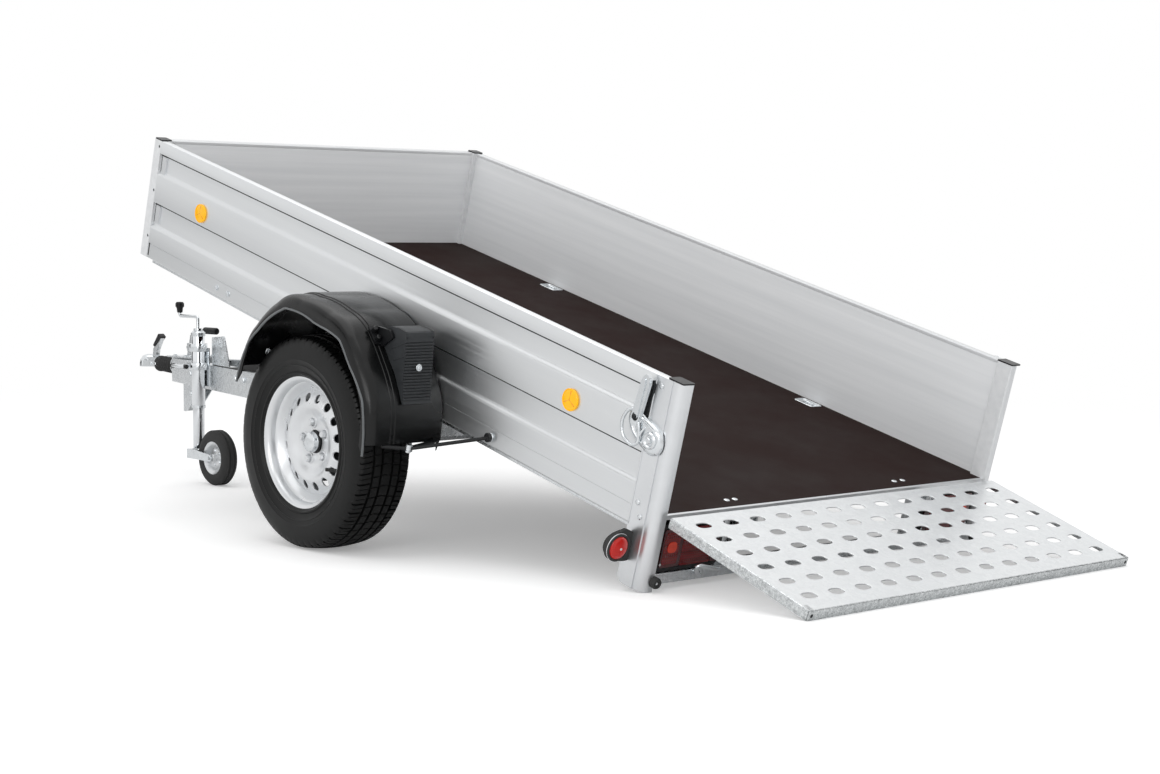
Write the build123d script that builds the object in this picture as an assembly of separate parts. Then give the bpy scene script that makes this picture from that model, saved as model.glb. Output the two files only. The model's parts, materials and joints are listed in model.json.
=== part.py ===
"""Tilting single-axle box trailer with a perforated loading ramp, standing as it parks.

Chassis frame in millimetres: +X forward to the coupling, +Y left, +Z up, ground at z = 0,
wheel axle over x = 0. The box is drawn level in its own frame (u forward from the rear
wall ends, y left, w up from the floor surface) and then swung about the tilt pivot until
the feet of the rear posts stand on the ground.
"""
from build123d import *
from math import asin, atan, atan2, cos, degrees, hypot, pi, radians, sin
import os

os.makedirs("parts", exist_ok=True)

# ---------------------------------------------------------------- driving dimensions
# Box
BOX_LENGTH = 2560.0
BOX_WIDTH = 1360.0
WALL_HEIGHT = 346.0           # above the floor surface
WALL_THICKNESS = 25.0
SKIRT_DEPTH = 49.0            # wall below the floor surface
FLOOR_THICKNESS = 15.0
PANEL_BANDS = ((57.0, 141.0), (235.0, 305.0))   # recessed bands of the wall profile
PANEL_RECESS = 9.0
PANEL_END_MARGIN = 45.0
PANEL_SKIN = 1.6              # sheet of the hollow wall profile

# Corner posts
POST_SIZE = 40.0
POST_WALL = 3.0
REAR_POST_DROP = 206.0        # foot of the rear posts below the floor surface
REAR_POST_OVERHANG = 15.0     # rear posts stand out behind the box
REAR_POST_RADIUS = 17.0
POST_FLANGE_WIDTH = 36.0
POST_FLANGE_THICKNESS = 3.0
POST_FLANGE_CORNER = 22.0      # cut across the flange's lower front corner
CAP_THICKNESS = 4.0

# Bed frame
RAIL_WIDTH = 40.0
RAIL_HEIGHT = 53.0
RAIL_WALL = 2.5
RAIL_LAMP_GAP = 4.0           # rails start this far ahead of the lamps
CROSSMEMBER_WIDTH = 50.0
CROSSMEMBER_HEIGHT = 36.0
CROSSMEMBER_COUNT = 5
CROSSMEMBER_REAR_INSET = 120.0
CROSSMEMBER_FRONT_INSET = 148.0
SILL_HEIGHT = 13.0
SILL_DEPTH = 10.0

# Tilt pivot and where the box sits over the axle when level
AXLE_SETBACK = 1212.0         # rear end of the box to the axle, level
FLOOR_HEIGHT = 522.0          # floor surface over the ground, level
PIVOT_BEHIND = 45.0           # pivot behind the axle
PIVOT_Z = 300.0
PIVOT_PIN_RADIUS = 10.0
PIVOT_PIN_HEAD = 6.0
PIVOT_EAR_THICKNESS = 8.0
PIVOT_EAR_WIDTH = 60.0
PIVOT_SIDE_GAP = 8.0
PIVOT_HEAD_GAP = 3.0
RUNNING_FIT = 0.08            # radial clearance of a turning pin

# Road wheels
TYRE_RADIUS = 308.0
TYRE_WIDTH = 188.0
TYRE_SHOULDER_DROP = 7.0      # tread edge under the crown
TYRE_SHOULDER_INSET = 20.0
TYRE_BULGE_DROP = 62.0        # widest place of the sidewall under the crown
TYRE_BEAD_INSET = 11.0        # bead inside the rim's width
TYRE_SIDEWALL = 13.0
TYRE_CROWN = 17.0
WHEEL_BOX_GAP = 38.0          # side wall to the tyre's inner side
RIM_SEAT_RADIUS = 178.0
RIM_FLANGE_RADIUS = 195.0
RIM_WIDTH = 160.0
RIM_WALL = 4.0
RIM_WELL = 22.0
RIM_HUMP = 10.0               # width of the flange's curl
RIM_SHELF = 28.0              # flange edge to the end of the bead shelf
RIM_WELL_RUN = 14.0           # slope between shelf and well
RIM_OUTER_RUN = 52.0          # flange edge to the well, outboard side
DISC_OFFSET = 30.0            # hub face outboard of the wheel centre
DISC_WALL = 5.0
DISC_BORE_RADIUS = 34.0
DISC_CROWN = 20.0             # crown of the disc over its hub face
VENT_COUNT = 16
VENT_RADIUS = 12.0
VENT_CIRCLE = 128.0
HUB_RADIUS = 70.0
HUB_CORE_RADIUS = 36.0
HUB_FLANGE = 10.0
HUB_CAP_RADIUS = 29.0
HUB_CAP_LENGTH = 27.0
WHEEL_BOLT_COUNT = 5
WHEEL_BOLT_CIRCLE = 56.0
WHEEL_BOLT_RADIUS = 6.0
WHEEL_BOLT_HEAD_RADIUS = 9.0
WHEEL_BOLT_HEAD_LENGTH = 14.0
DRUM_RADIUS = 115.0
DRUM_DEPTH = 90.0
DRUM_WALL = 8.0
DRUM_BEHIND_FACE = 12.0       # drum face behind the hub face
STUB_RADIUS = 17.5
STUB_END_GAP = 4.0            # end of the hub's bore behind the hub face
STUB_SHORT = 2.0              # stub axle stops short of the bore's end

# Axle
BEAM_SIZE = 70.0
BEAM_WALL = 7.0
BEAM_CHAMFER = 12.0
BEAM_AHEAD = 130.0            # torsion beam ahead of the wheel centre
BEAM_WHEEL_GAP = 180.0        # beam's end inboard of the wheel's middle
SWING_ARM_WIDTH = 30.0
SWING_ARM_EYE = 28.0          # radius of the arm's eye at the stub axle
SWING_ARM_BOSS = 36.0         # radius of the arm's boss on the beam
SWING_ARM_TAPER = 6.0
BACKPLATE_THICKNESS = 4.0
BACKPLATE_GAP = 6.0
BACKPLATE_LIP = 2.0

# V drawbar, in plan from its front end back to the tail behind the axle
ARM_HEIGHT = 90.0
ARM_FLANGE = 40.0
ARM_WALL = 4.0
ARM_TOP_Z = 430.0
ARM_FRONT_X = 2120.0
ARM_FRONT_Y = 44.0
ARM_BEND_X = 300.0
ARM_REAR_Y = 554.0
ARM_TAIL = 95.0               # arms run on behind the axle
TIE_AHEAD = 760.0             # front cross tube ahead of the axle
TIE_TAIL_INSET = 22.0
TIE_WIDTH = 40.0
TIE_HEIGHT = 50.0
TIE_WALL = 3.0
TIE_END_GAP = 1.0
REST_GAP = 5.0                # bed over its rubber rests when level
REST_LENGTH = 130.0
REST_WIDTH = 28.0
STOP_GAP = 48.0               # stop brackets ahead of the level bed
STOP_LENGTH = 220.0           # along the arm
STOP_HEIGHT = 112.0
STOP_FALL = 10.0
STOP_LEAN = 66.0              # rear edge leans forward by this
STOP_FOOT = 30.0
STOP_CORNER = 6.0

# Overrun device and coupling, from the arms' front end forwards
COUPLING_Z = 395.0
HOUSING_LENGTH = 180.0        # housing behind the arms' front end
HOUSING_HALF_WIDTH = 40.0
HOUSING_HEIGHT = 80.0
HOUSING_WALL = 5.0
HOUSING_NOSE = 8.0
HOUSING_PLATE_HALF_WIDTH = 62.0
HOUSING_PLATE_INSET = 10.0
GUIDE_RADIUS = 32.0
GUIDE_LENGTH = 15.0           # arms' front end to the bellows
GUIDE_LAP = 12.0              # guide tube inside the bellows
BELLOWS_LENGTH = 142.0
BELLOWS_RADIUS = 38.0
BELLOWS_FOLDS = 6
BELLOWS_SKIN = 5.0
BELLOWS_FIT = 0.2
SHANK_RADIUS = 24.0
SHANK_END_GAP = 2.0
HEAD_LENGTH = 88.0            # bellows to the ball's centre
HEAD_HALF_WIDTH = 30.0
HEAD_BELOW = 22.0
HEAD_ABOVE = 26.0
COUPLING_NOSE = 38.0
BALL_RADIUS = 25.0
BALL_CLEARANCE = 0.2
SOCKET_DEPTH = 34.0
SOCKET_ROOF = 12.0
# Coupling lever: outline behind the nose and over the coupling's body
LEVER_OUTLINE = ((-26, 0), (-2, 0), (-6, 36), (-54, 92), (-66, 80), (-32, 32))
LEVER_HALF_WIDTH = 9.0
# Handbrake: outlines ahead of the housing's rear end and over its top plate
RATCHET_OUTLINE = ((12, 0), (136, 0), (122, 46), (90, 74), (50, 64))
RATCHET_HALF_WIDTH = 4.0
HANDBRAKE_OUTLINE = ((112, 24), (94, 84), (-10, 104), (-16, 92), (76, 68), (92, 20))
HANDBRAKE_WIDTH = 10.0
HANDBRAKE_GRIP = (-90.0, -4.0, 101.0)           # rear end, front end, height
HANDBRAKE_GRIP_RADIUS = 13.0
SMALL_ROUND = 4.0
SKID_REAR = 220.0             # skid plate's rear and front ends behind the arms' front end
SKID_FRONT = 60.0
SKID_DROP = 128.0
SKID_POINT = 20.0
SKID_HALF_WIDTH = 30.0
SKID_WALL = 4.0
BRAKE_ROD_RADIUS = 5.0
BRAKE_ROD_BEND = 30.0
BRAKE_ROD_BELOW = 16.0        # rod under the arms
BRAKE_ROD_START = 20.0        # rod under the housing's middle
BRAKE_ROD_RUNS = (40.0, 130.0)
BRAKE_YOKE_HALF = 60.0
BRAKE_YOKE_WALL = 8.0
BRAKE_YOKE_RISE = 12.0
BRAKE_YOKE_FALL = 20.0

# Jockey wheel on the left arm
JOCKEY_SETBACK = 465.0        # tube behind the arms' front end
JOCKEY_STANDOFF = 37.7        # tube centre outboard of the arm's face
JOCKEY_TUBE_RADIUS = 24.0
JOCKEY_TUBE_WALL = 2.5
JOCKEY_TUBE_ABOVE = 118.0     # tube over the top of the arm
JOCKEY_TUBE_BELOW = 68.0      # tube under the arm
JOCKEY_TUBE_ROOF = 8.0
JOCKEY_LEG_CLEARANCE = 0.6
JOCKEY_LEG_LAP = 90.0
JOCKEY_WHEEL_RADIUS = 100.0
JOCKEY_WHEEL_WIDTH = 54.0
JOCKEY_RIM_RADIUS = 58.0
JOCKEY_RIM_WALL = 6.0
JOCKEY_HUB_RADIUS = 17.0
JOCKEY_TYRE_ROUND = 16.0
JOCKEY_TRAIL = 127.0
JOCKEY_AXLE_RADIUS = 6.0
JOCKEY_AXLE_PROUD = 6.0
FORK_PLATE = 4.0
FORK_GAP = 6.0
FORK_TOP_PLATE = 5.0
FORK_TOP_GAP = 24.0           # fork's top over the wheel
FORK_FRONT = 24.0
FORK_CHEEK = 34.0
SWIVEL_RADIUS = 8.0
SWIVEL_WASHER_RADIUS = 14.0
SWIVEL_WASHER = 11.0
CLAMP_HALF_LENGTH = 34.0
CLAMP_COLLAR = 9.0
CLAMP_RISE = 62.0
CLAMP_FOOT = 12.0
CLAMP_RINGS = ((-18.0, 8.0), (50.0, 78.0))      # from the arm's top
CLAMP_TAB = (12.0, 62.0, 9.0)
CLAMP_SCREW_RADIUS = 6.0
CLAMP_SCREW = (52.0, 48.0, 5.0)                 # ahead, outwards and under the arm's top
CLAMP_HANDLE = (10.0, 94.0)
CRANK_REACH = 125.0
CRANK_RISE = 58.0
CRANK_RADIUS = 6.0
CRANK_BEND = 10.0
CRANK_GRIP_RADIUS = 14.0
CRANK_GRIP_LENGTH = 40.0
CRANK_HUB_RADIUS = 16.0

# Loading ramp
RAMP_SIDE_INSET = 28.0        # ramp's edge inside the box's outer face
RAMP_LENGTH = 495.0
RAMP_SKIRT = 27.0
RAMP_PLATE = 3.0
RAMP_EDGE_BEHIND = 35.6       # ramp edge behind the box end
RAMP_EDGE_UP = 3.8            # ramp edge over the floor surface
RAMP_PIN_INSET = 12.0
RAMP_PIN_DEPTH = 14.0
RAMP_PIN_RADIUS = 5.0
RAMP_HOLE_COLUMNS = 13
RAMP_HOLE_ROWS = 6
RAMP_SIDE_BORDER = 18.25      # plain border beside the pierced field
RAMP_HOLE_PITCH_ALONG = 75.2
RAMP_HOLE_FIRST_ALONG = 52.9
RAMP_HOLE_WIDTH = 44.0
RAMP_HOLE_LENGTH = 27.0
RAMP_HINGE_LAMP_GAP = 31.0    # middle of a hinge inboard of the lamp
RAMP_LUG_HALF = 9.0
RAMP_LUG_SIDE_GAP = 5.0       # hinge lug to the bracket's plates
BRACKET_PLATE = 6.0
BRACKET_EYE_RADIUS = 8.0
BRACKET_FOOT = 70.0           # bracket's lower end under the floor surface
BRACKET_TOP_GAP = 2.0
BRACKET_NECK = 4.0            # bracket's neck ahead of the pin, clear of the folded ramp
BRACKET_ARM_DROP = 19.0       # bracket's arm under the pin, clear of the folded ramp
BRACKET_ARM_DEPTH = 8.0

# Mudguards, as (degrees, gap over the tyre) about the wheel with the bed level
GUARD_WIDTH = 257.0
GUARD_WALL = 5.0
GUARD_ROUND = 30.0
GUARD_CORNER_RADIUS = 45.0
GUARD_FOOT = 60.0
GUARD_CORNERS = ((163.2, 70.0), (148.4, 100.5), (135.5, 104.3), (115.2, 118.8), (106.0, 117.4),
                 (77.9, 110.4), (68.6, 110.9), (38.9, 72.2), (20.9, 34.5))
GUARD_LIP_CORNERS = ((167.9, 43.9), (158.0, 54.5), (144.0, 71.4), (125.9, 63.7), (114.8, 78.6),
                     (98.1, 53.6), (72.3, 67.7), (44.5, 34.3), (36.0, 30.7), (13.9, 1.0))
STAY_RADIUS = 5.0
STAY_BEND = 20.0
STAY_BOSS_RADIUS = 9.0
STAY_BOSS_LENGTH = 8.0
STAY_BOLT_BEHIND = 561.0      # stay's bolt behind the axle
STAY_BOLT_DROP = 24.0         # and under the floor surface
STAY_REACH = (382.0, 350.0)   # bend and end behind the axle
STAY_OUT = (6.0, 130.0, 200.0)
STAY_DROP = 113.0

# Wheel chocks on the rear slope of the mudguards
# wedge from its toe round to its crest, along and out from the middle of the guard's slope
CHOCK_OUTLINE = ((-165, -12), (-160, -19), (-74, 0), (50, 0), (55, 17), (41, 61), (-5, 106))
CHOCK_HALF_WIDTH = 48.0
CHOCK_ROUND = 3.0
CHOCK_FIRST_RIB = 22.0
CHOCK_RIBS = 7
CHOCK_RIB_PITCH = 20.0
CHOCK_GROOVE = 8.0
CHOCK_GROOVE_DEPTH = 7.0
CHOCK_PLACE = 0.4             # share of the mudguard's width
CHOCK_SEAT_GAP = 0.3

# Rear lights
LIGHT_BAR_DROP = 164.0        # top of the bar under the floor surface
LIGHT_BAR_HEIGHT = 30.0
LIGHT_BAR_DEPTH = 40.0
LIGHT_BAR_WALL = 3.0
LIGHT_BAR_STRAP = 4.0
LAMP_WIDTH = 236.0
LAMP_HEIGHT = 134.0
LAMP_DEPTH = 52.0
LAMP_ROUND = 14.0
LAMP_POST_GAP = 3.0
LAMP_INSET = 2.0
OUTLINE_LAMP_RADIUS = 30.0
OUTLINE_LAMP_RIM = 5.0
OUTLINE_LAMP_OUT = 50.0       # outboard of the box
OUTLINE_LAMP_DROP = 100.0
OUTLINE_LAMP_AHEAD = 48.0     # lamp's rim ahead of the box end
OUTLINE_LAMP_DEPTH = 34.0
OUTLINE_LENS_PROUD = 12.0
OUTLINE_RIM_PROUD = 4.0
STALK_FRONT = 30.0
STALK_REAR = 6.0
STALK_BELOW = 32.0
STALK_ABOVE = 24.0
REFLECTOR_RADIUS = 30.0
REFLECTOR_THICKNESS = 7.0
REFLECTOR_UP = 180.0
REFLECTOR_REAR_INSET = 368.0
REFLECTOR_FRONT_INSET = 336.0

# Small pieces of the box
RING_REAR_INSET = 680.0       # lashing rings from the box ends
RING_FRONT_INSET = 610.0
RING_WALL_GAP = 8.0
RING_PAN_LENGTH = 82.0
RING_PAN_WIDTH = 52.0
RING_PAN_WALL = 4.0
RING_PAN_ROUND = 12.0
RING_PAN_FIT = 0.3
RING_RADIUS = 16.0
RING_WIRE = 3.5
RING_LUG = 6.0
BUFFER_RADIUS = 13.0
BUFFER_LENGTH = 18.0
BUFFER_DROP = 12.0
BUFFER_OVERLAP = 6.0
HOOK_POST_GAP = 124.0         # hook inboard of the post
HOOK_RADIUS = 6.0
HOOK_BEND = 12.0
HOOK_OUT = 26.0
HOOK_TIP = 44.0
HOOK_RISE = 22.0
HOOK_FOOT = 4.0
HOOK_FOOT_HALF = 14.0
HOOK_FOOT_HEIGHT = 24.0
# Over-centre latch on the rear post, in u and w
LATCH_BASE = ((14, 160), (40, 150), (74, 176), (112, 196), (128, 232), (100, 246), (60, 214), (22, 206))
LATCH_LEVER = ((92, 214), (112, 220), (96, 330), (84, 342), (72, 334))
LATCH_BASE_THICKNESS = 12.0
LATCH_LEVER_THICKNESS = 12.0
LATCH_BASE_ROUND = 6.0
LATCH_CAM = (40.0, 186.0)
LATCH_CAM_RADIUS = 20.0
LATCH_CAM_THICKNESS = 18.0

# ---------------------------------------------------------------- derived dimensions
HALF_WIDTH = BOX_WIDTH / 2
WALL_INNER_Y = HALF_WIDTH - WALL_THICKNESS
PIVOT_X = -PIVOT_BEHIND
PIVOT_U = AXLE_SETBACK - PIVOT_BEHIND
PIVOT_W = PIVOT_Z - FLOOR_HEIGHT
POST_INNER_Y = HALF_WIDTH - POST_SIZE
REAR_POST_FRONT = POST_SIZE
WHEEL_Y = HALF_WIDTH + WHEEL_BOX_GAP + TYRE_WIDTH / 2
BEAM_HALF_LENGTH = WHEEL_Y - BEAM_WHEEL_GAP
RAMP_WIDTH = BOX_WIDTH - 2 * RAMP_SIDE_INSET
RAMP_HOLE_PITCH_ACROSS = (RAMP_WIDTH - 2 * RAMP_SIDE_BORDER) / RAMP_HOLE_COLUMNS
RAMP_HINGE_Y = POST_INNER_Y - LAMP_POST_GAP - LAMP_WIDTH - RAMP_HINGE_LAMP_GAP
HOOK_Y = POST_INNER_Y - HOOK_POST_GAP
FRONT_POST_REAR = BOX_LENGTH - POST_SIZE
CROSS_BOTTOM = -FLOOR_THICKNESS - CROSSMEMBER_HEIGHT
FRONT_CROSS_U = BOX_LENGTH - CROSSMEMBER_FRONT_INSET
RAIL_START = LAMP_DEPTH + RAIL_LAMP_GAP
LIGHT_BAR_TOP = -LIGHT_BAR_DROP
REFLECTOR_PLACES = (REFLECTOR_REAR_INSET, BOX_LENGTH - REFLECTOR_FRONT_INSET)
RING_PLACES = (RING_REAR_INSET, BOX_LENGTH - RING_FRONT_INSET)
ARM_REAR_X = -ARM_TAIL
ARM_BOTTOM_Z = ARM_TOP_Z - ARM_HEIGHT
ARM_SLOPE = (ARM_REAR_Y - ARM_FRONT_Y) / (ARM_FRONT_X - ARM_BEND_X)
BEAM_Z = ARM_BOTTOM_Z - BEAM_SIZE / 2
EAR_Y = ARM_REAR_Y + PIVOT_EAR_THICKNESS + PIVOT_SIDE_GAP
HUB_FACE_Y = WHEEL_Y + DISC_OFFSET
DRUM_FACE_Y = HUB_FACE_Y - DRUM_BEHIND_FACE
DRUM_BACK_Y = DRUM_FACE_Y - DRUM_DEPTH
RIM_WELL_RADIUS = RIM_SEAT_RADIUS - RIM_WELL
HOUSING_REAR_X = ARM_FRONT_X - HOUSING_LENGTH
HOUSING_FRONT_X = ARM_FRONT_X + GUIDE_LENGTH
HOUSING_TOP_Z = COUPLING_Z + HOUSING_HEIGHT / 2
HOUSING_BOTTOM_Z = COUPLING_Z - HOUSING_HEIGHT / 2
BELLOWS_FRONT_X = HOUSING_FRONT_X + BELLOWS_LENGTH
BALL_X = BELLOWS_FRONT_X + HEAD_LENGTH
CUP_TOP_Z = COUPLING_Z + BALL_RADIUS + SOCKET_ROOF
REST_X = FRONT_CROSS_U - AXLE_SETBACK
STOP_X = BOX_LENGTH - AXLE_SETBACK + STOP_GAP
JOCKEY_X = ARM_FRONT_X - JOCKEY_SETBACK
JOCKEY_Y = ARM_REAR_Y - ARM_SLOPE * (JOCKEY_X - ARM_BEND_X) + JOCKEY_STANDOFF
JOCKEY_TUBE_TOP = ARM_TOP_Z + JOCKEY_TUBE_ABOVE
JOCKEY_TUBE_BOTTOM = ARM_BOTTOM_Z - JOCKEY_TUBE_BELOW
JOCKEY_FORK_TOP = JOCKEY_WHEEL_RADIUS + FORK_TOP_GAP
JOCKEY_WHEEL_X = JOCKEY_X - JOCKEY_TRAIL
RAMP_PIN_U = -RAMP_EDGE_BEHIND - RAMP_PIN_INSET
RAMP_PIN_W = RAMP_EDGE_UP - RAMP_PIN_DEPTH
BRACKET_INNER = RAMP_LUG_HALF + RAMP_LUG_SIDE_GAP
BRACKET_HALF = BRACKET_INNER + BRACKET_PLATE
WHEEL_W = TYRE_RADIUS - FLOOR_HEIGHT


def about_wheel(corners):
    """Outline in u and w from (degrees, gap over the tyre) pairs about the wheel's centre."""
    points = []
    for angle, gap in corners:
        reach = TYRE_RADIUS + gap
        points.append((AXLE_SETBACK + reach * cos(radians(angle)), WHEEL_W + reach * sin(radians(angle))))
    return points


GUARD_OUTLINE = about_wheel(GUARD_CORNERS)
GUARD_LIP = about_wheel(GUARD_LIP_CORNERS)

# The bed tips back until the feet of its rear posts reach the ground.
FOOT_U = -REAR_POST_OVERHANG - PIVOT_U
FOOT_W = -REAR_POST_DROP - PIVOT_W
TILT = degrees(atan2(FOOT_W, -FOOT_U) + asin(PIVOT_Z / hypot(FOOT_U, FOOT_W)))
TIPPED = Pos(PIVOT_X, 0, PIVOT_Z) * Rot(0, -TILT, 0) * Pos(-PIVOT_U, 0, -PIVOT_W)

# The ramp lies with the lower edge of its free end on the ground.
PIN_OVER_GROUND = (TIPPED * Pos(RAMP_PIN_U, 0, RAMP_PIN_W)).position
RAMP_REACH = RAMP_LENGTH - RAMP_PIN_INSET
RAMP_DROP = RAMP_SKIRT - RAMP_PIN_DEPTH
RAMP_FALL = degrees(asin(PIN_OVER_GROUND.Z / hypot(RAMP_REACH, RAMP_DROP)) - atan2(RAMP_DROP, RAMP_REACH))
LOWERED = Pos(PIN_OVER_GROUND.X, 0, PIN_OVER_GROUND.Z) * Rot(0, -RAMP_FALL, 0)

# The model's origin is on the ground, half way along the whole trailer.
FRONT_END = BALL_X + COUPLING_NOSE
REAR_END = (LOWERED * Pos(-RAMP_REACH, 0, RAMP_PIN_DEPTH)).position.X
HOME = Pos(-(FRONT_END + REAR_END) / 2, 0, 0)
BED = HOME * TIPPED
RAMP = HOME * LOWERED


# ---------------------------------------------------------------- helpers
def bar(x0, x1, y0, y1, z0, z1):
    """Box between two corners."""
    return Pos((x0 + x1) / 2, (y0 + y1) / 2, (z0 + z1) / 2) * Box(abs(x1 - x0), abs(y1 - y0), abs(z1 - z0))


def across(radius, x, z, y0, y1):
    """Cylinder along Y between y0 and y1."""
    return Pos(x, (y0 + y1) / 2, z) * Rot(90, 0, 0) * Cylinder(radius, abs(y1 - y0))


def along(radius, y, z, x0, x1):
    """Cylinder along X between x0 and x1."""
    return Pos((x0 + x1) / 2, y, z) * Rot(0, 90, 0) * Cylinder(radius, abs(x1 - x0))


def upright(radius, x, y, z0, z1):
    """Cylinder along Z between z0 and z1."""
    return Pos(x, y, (z0 + z1) / 2) * Cylinder(radius, abs(z1 - z0))


def side_plate(points, y0, y1, corner=0.0):
    """Plate with an outline in X and Z, between y0 and y1."""
    outline = make_face(Polyline(*points, close=True))
    if corner:
        outline = fillet(outline.vertices(), corner)
    return Pos(0, max(y0, y1), 0) * extrude(Plane.XZ * outline, abs(y1 - y0))


def plan_plate(points, z0, z1):
    """Plate with an outline in X and Y, between z0 and z1."""
    return Pos(0, 0, z0) * extrude(make_face(Polyline(*points, close=True)), z1 - z0)


def rod(points, radius, bend):
    """Round bar along a bent line."""
    path = FilletPolyline(*points, radius=bend)
    return sweep(Plane(path @ 0, z_dir=path % 0) * Circle(radius), path=path)


def turned(points):
    """Solid turned about the Y axis from an outline of (radius, y) points."""
    return revolve(make_face(Polyline(*points, close=True)), Axis.Y)


def shifted(points, x, z):
    """Outline moved by x and z."""
    return [(px + x, pz + z) for px, pz in points]


def mirrored(shape):
    """The same piece on the right-hand side."""
    return mirror(shape, Plane.XZ)


def both(shape):
    """Left and right copies as one compound."""
    return Compound(children=[*shape.solids(), *mirrored(shape).solids()])


def group(shapes):
    """Several separate solids as one compound."""
    return Compound(children=[solid for shape in shapes for solid in shape.solids()])


def save(name, shape):
    """Write one sub-part."""
    solids = shape.solids()
    shape = solids[0] if len(solids) == 1 else Compound(children=list(solids))
    export_step(shape, f"parts/{name}.step")


# ---------------------------------------------------------------- box
def wall_panel(length):
    """Hollow-profile wall seen level: outer face at y = 0, two recessed bands."""
    panel = bar(0, length, -WALL_THICKNESS, 0, -SKIRT_DEPTH, WALL_HEIGHT)
    levels = [-SKIRT_DEPTH] + [level for band in PANEL_BANDS for level in band] + [WALL_HEIGHT]
    for low, high in zip(levels, levels[1:]):
        face = 0.0
        if (low, high) in PANEL_BANDS:
            face = -PANEL_RECESS
            panel -= bar(PANEL_END_MARGIN, length - PANEL_END_MARGIN, face, 1, low, high)
        panel -= bar(-1, length + 1, PANEL_SKIN - WALL_THICKNESS, face - PANEL_SKIN,
                     low + PANEL_SKIN, high - PANEL_SKIN)
    return panel


def side_wall():
    """Left side wall between the posts."""
    return Pos(REAR_POST_FRONT, HALF_WIDTH, 0) * wall_panel(FRONT_POST_REAR - REAR_POST_FRONT)


def front_wall():
    """Front wall between the front posts."""
    length = 2 * POST_INNER_Y
    return Pos(BOX_LENGTH, length / 2, 0) * Rot(0, 0, -90) * wall_panel(length)


def hollow_post(u0, u1, bottom, round_edge):
    """Square post tube at the left side, its outward rear edge rounded."""
    outer = bar(u0, u1, POST_INNER_Y, HALF_WIDTH, bottom, WALL_HEIGHT)
    inner = bar(u0 + POST_WALL, u1 - POST_WALL, POST_INNER_Y + POST_WALL, HALF_WIDTH - POST_WALL,
                bottom + POST_WALL, WALL_HEIGHT + 1)
    if round_edge:
        outer = fillet(outer.edges().filter_by(Axis.Z).group_by(Axis.X)[0], REAR_POST_RADIUS)
        inner = fillet(inner.edges().filter_by(Axis.Z).group_by(Axis.X)[0], REAR_POST_RADIUS - POST_WALL)
    return outer - inner


def front_post():
    """Front corner post."""
    return hollow_post(FRONT_POST_REAR, BOX_LENGTH, -SKIRT_DEPTH, False)


def rear_post():
    """Rear corner post with its foot and the flange that clasps the wall end."""
    post = hollow_post(-REAR_POST_OVERHANG, REAR_POST_FRONT, -REAR_POST_DROP, True)
    rear = REAR_POST_FRONT - POST_SIZE / 2
    front = REAR_POST_FRONT + POST_FLANGE_WIDTH
    outline = ((rear, -REAR_POST_DROP), (front - POST_FLANGE_CORNER, -REAR_POST_DROP),
               (front, POST_FLANGE_CORNER - REAR_POST_DROP), (front, WALL_HEIGHT), (rear, WALL_HEIGHT))
    return post + side_plate(outline, HALF_WIDTH, HALF_WIDTH + POST_FLANGE_THICKNESS)


def post_caps():
    """Plastic caps in the open tops of the four posts."""
    caps = []
    for u0, u1 in ((-REAR_POST_OVERHANG, REAR_POST_FRONT), (FRONT_POST_REAR, BOX_LENGTH)):
        cap = bar(u0, u1, POST_INNER_Y, HALF_WIDTH, WALL_HEIGHT, WALL_HEIGHT + CAP_THICKNESS)
        cap = fillet(cap.edges().filter_by(Axis.Z), POST_WALL)
        caps += [cap, mirrored(cap)]
    return group(caps)


def ring_well(u, gap, z0, z1):
    """Rounded block at a lashing ring's place by the left wall, a gap larger all round."""
    y1 = WALL_INNER_Y - RING_WALL_GAP
    block = bar(u - RING_PAN_LENGTH / 2 - gap, u + RING_PAN_LENGTH / 2 + gap,
                y1 - RING_PAN_WIDTH - gap, y1 + gap, z0, z1)
    return fillet(block.edges().filter_by(Axis.Z), RING_PAN_ROUND + gap)


def floor_panel():
    """Plywood floor, notched round the posts and pierced for the lashing rings."""
    floor = bar(0, BOX_LENGTH - WALL_THICKNESS, -WALL_INNER_Y, WALL_INNER_Y, -FLOOR_THICKNESS, 0)
    for side in (-1, 1):
        for u0, u1 in ((-1, REAR_POST_FRONT), (FRONT_POST_REAR, BOX_LENGTH)):
            floor -= bar(u0, u1, side * POST_INNER_Y, side * HALF_WIDTH, -FLOOR_THICKNESS - 1, 1)
    for u in RING_PLACES:
        well = ring_well(u, RING_PAN_FIT, -FLOOR_THICKNESS - 1, 1)
        floor -= well
        floor -= mirrored(well)
    return floor


def lashing_rings():
    """Hinged rings in pans let into the floor, two a side."""
    pieces = []
    pan_y = WALL_INNER_Y - RING_WALL_GAP - RING_PAN_WIDTH / 2
    bottom = RING_PAN_WALL - FLOOR_THICKNESS
    ring_w = -RING_WIRE - 1
    for u in RING_PLACES:
        pan = ring_well(u, 0, -FLOOR_THICKNESS, 0) - ring_well(u, -RING_PAN_WALL, bottom, 1)
        ring = Pos(u, pan_y, ring_w) * Torus(RING_RADIUS, RING_WIRE)
        lug = bar(u - RING_LUG, u + RING_LUG, pan_y + RING_RADIUS - RING_WIRE,
                  pan_y + RING_PAN_WIDTH / 2 - RING_PAN_WALL, bottom, -1)
        piece = pan + (lug + ring)
        pieces += [piece, mirrored(piece)]
    return group(pieces)


def cross_places():
    """Centres of the crossmembers along the bed, one of them over the tilt pivot."""
    pitch = (FRONT_CROSS_U - CROSSMEMBER_REAR_INSET) / (CROSSMEMBER_COUNT - 1)
    places = [CROSSMEMBER_REAR_INSET + i * pitch for i in range(CROSSMEMBER_COUNT)]
    nearest = min(range(CROSSMEMBER_COUNT), key=lambda i: abs(places[i] - PIVOT_U))
    places[nearest] = PIVOT_U
    return places


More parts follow.
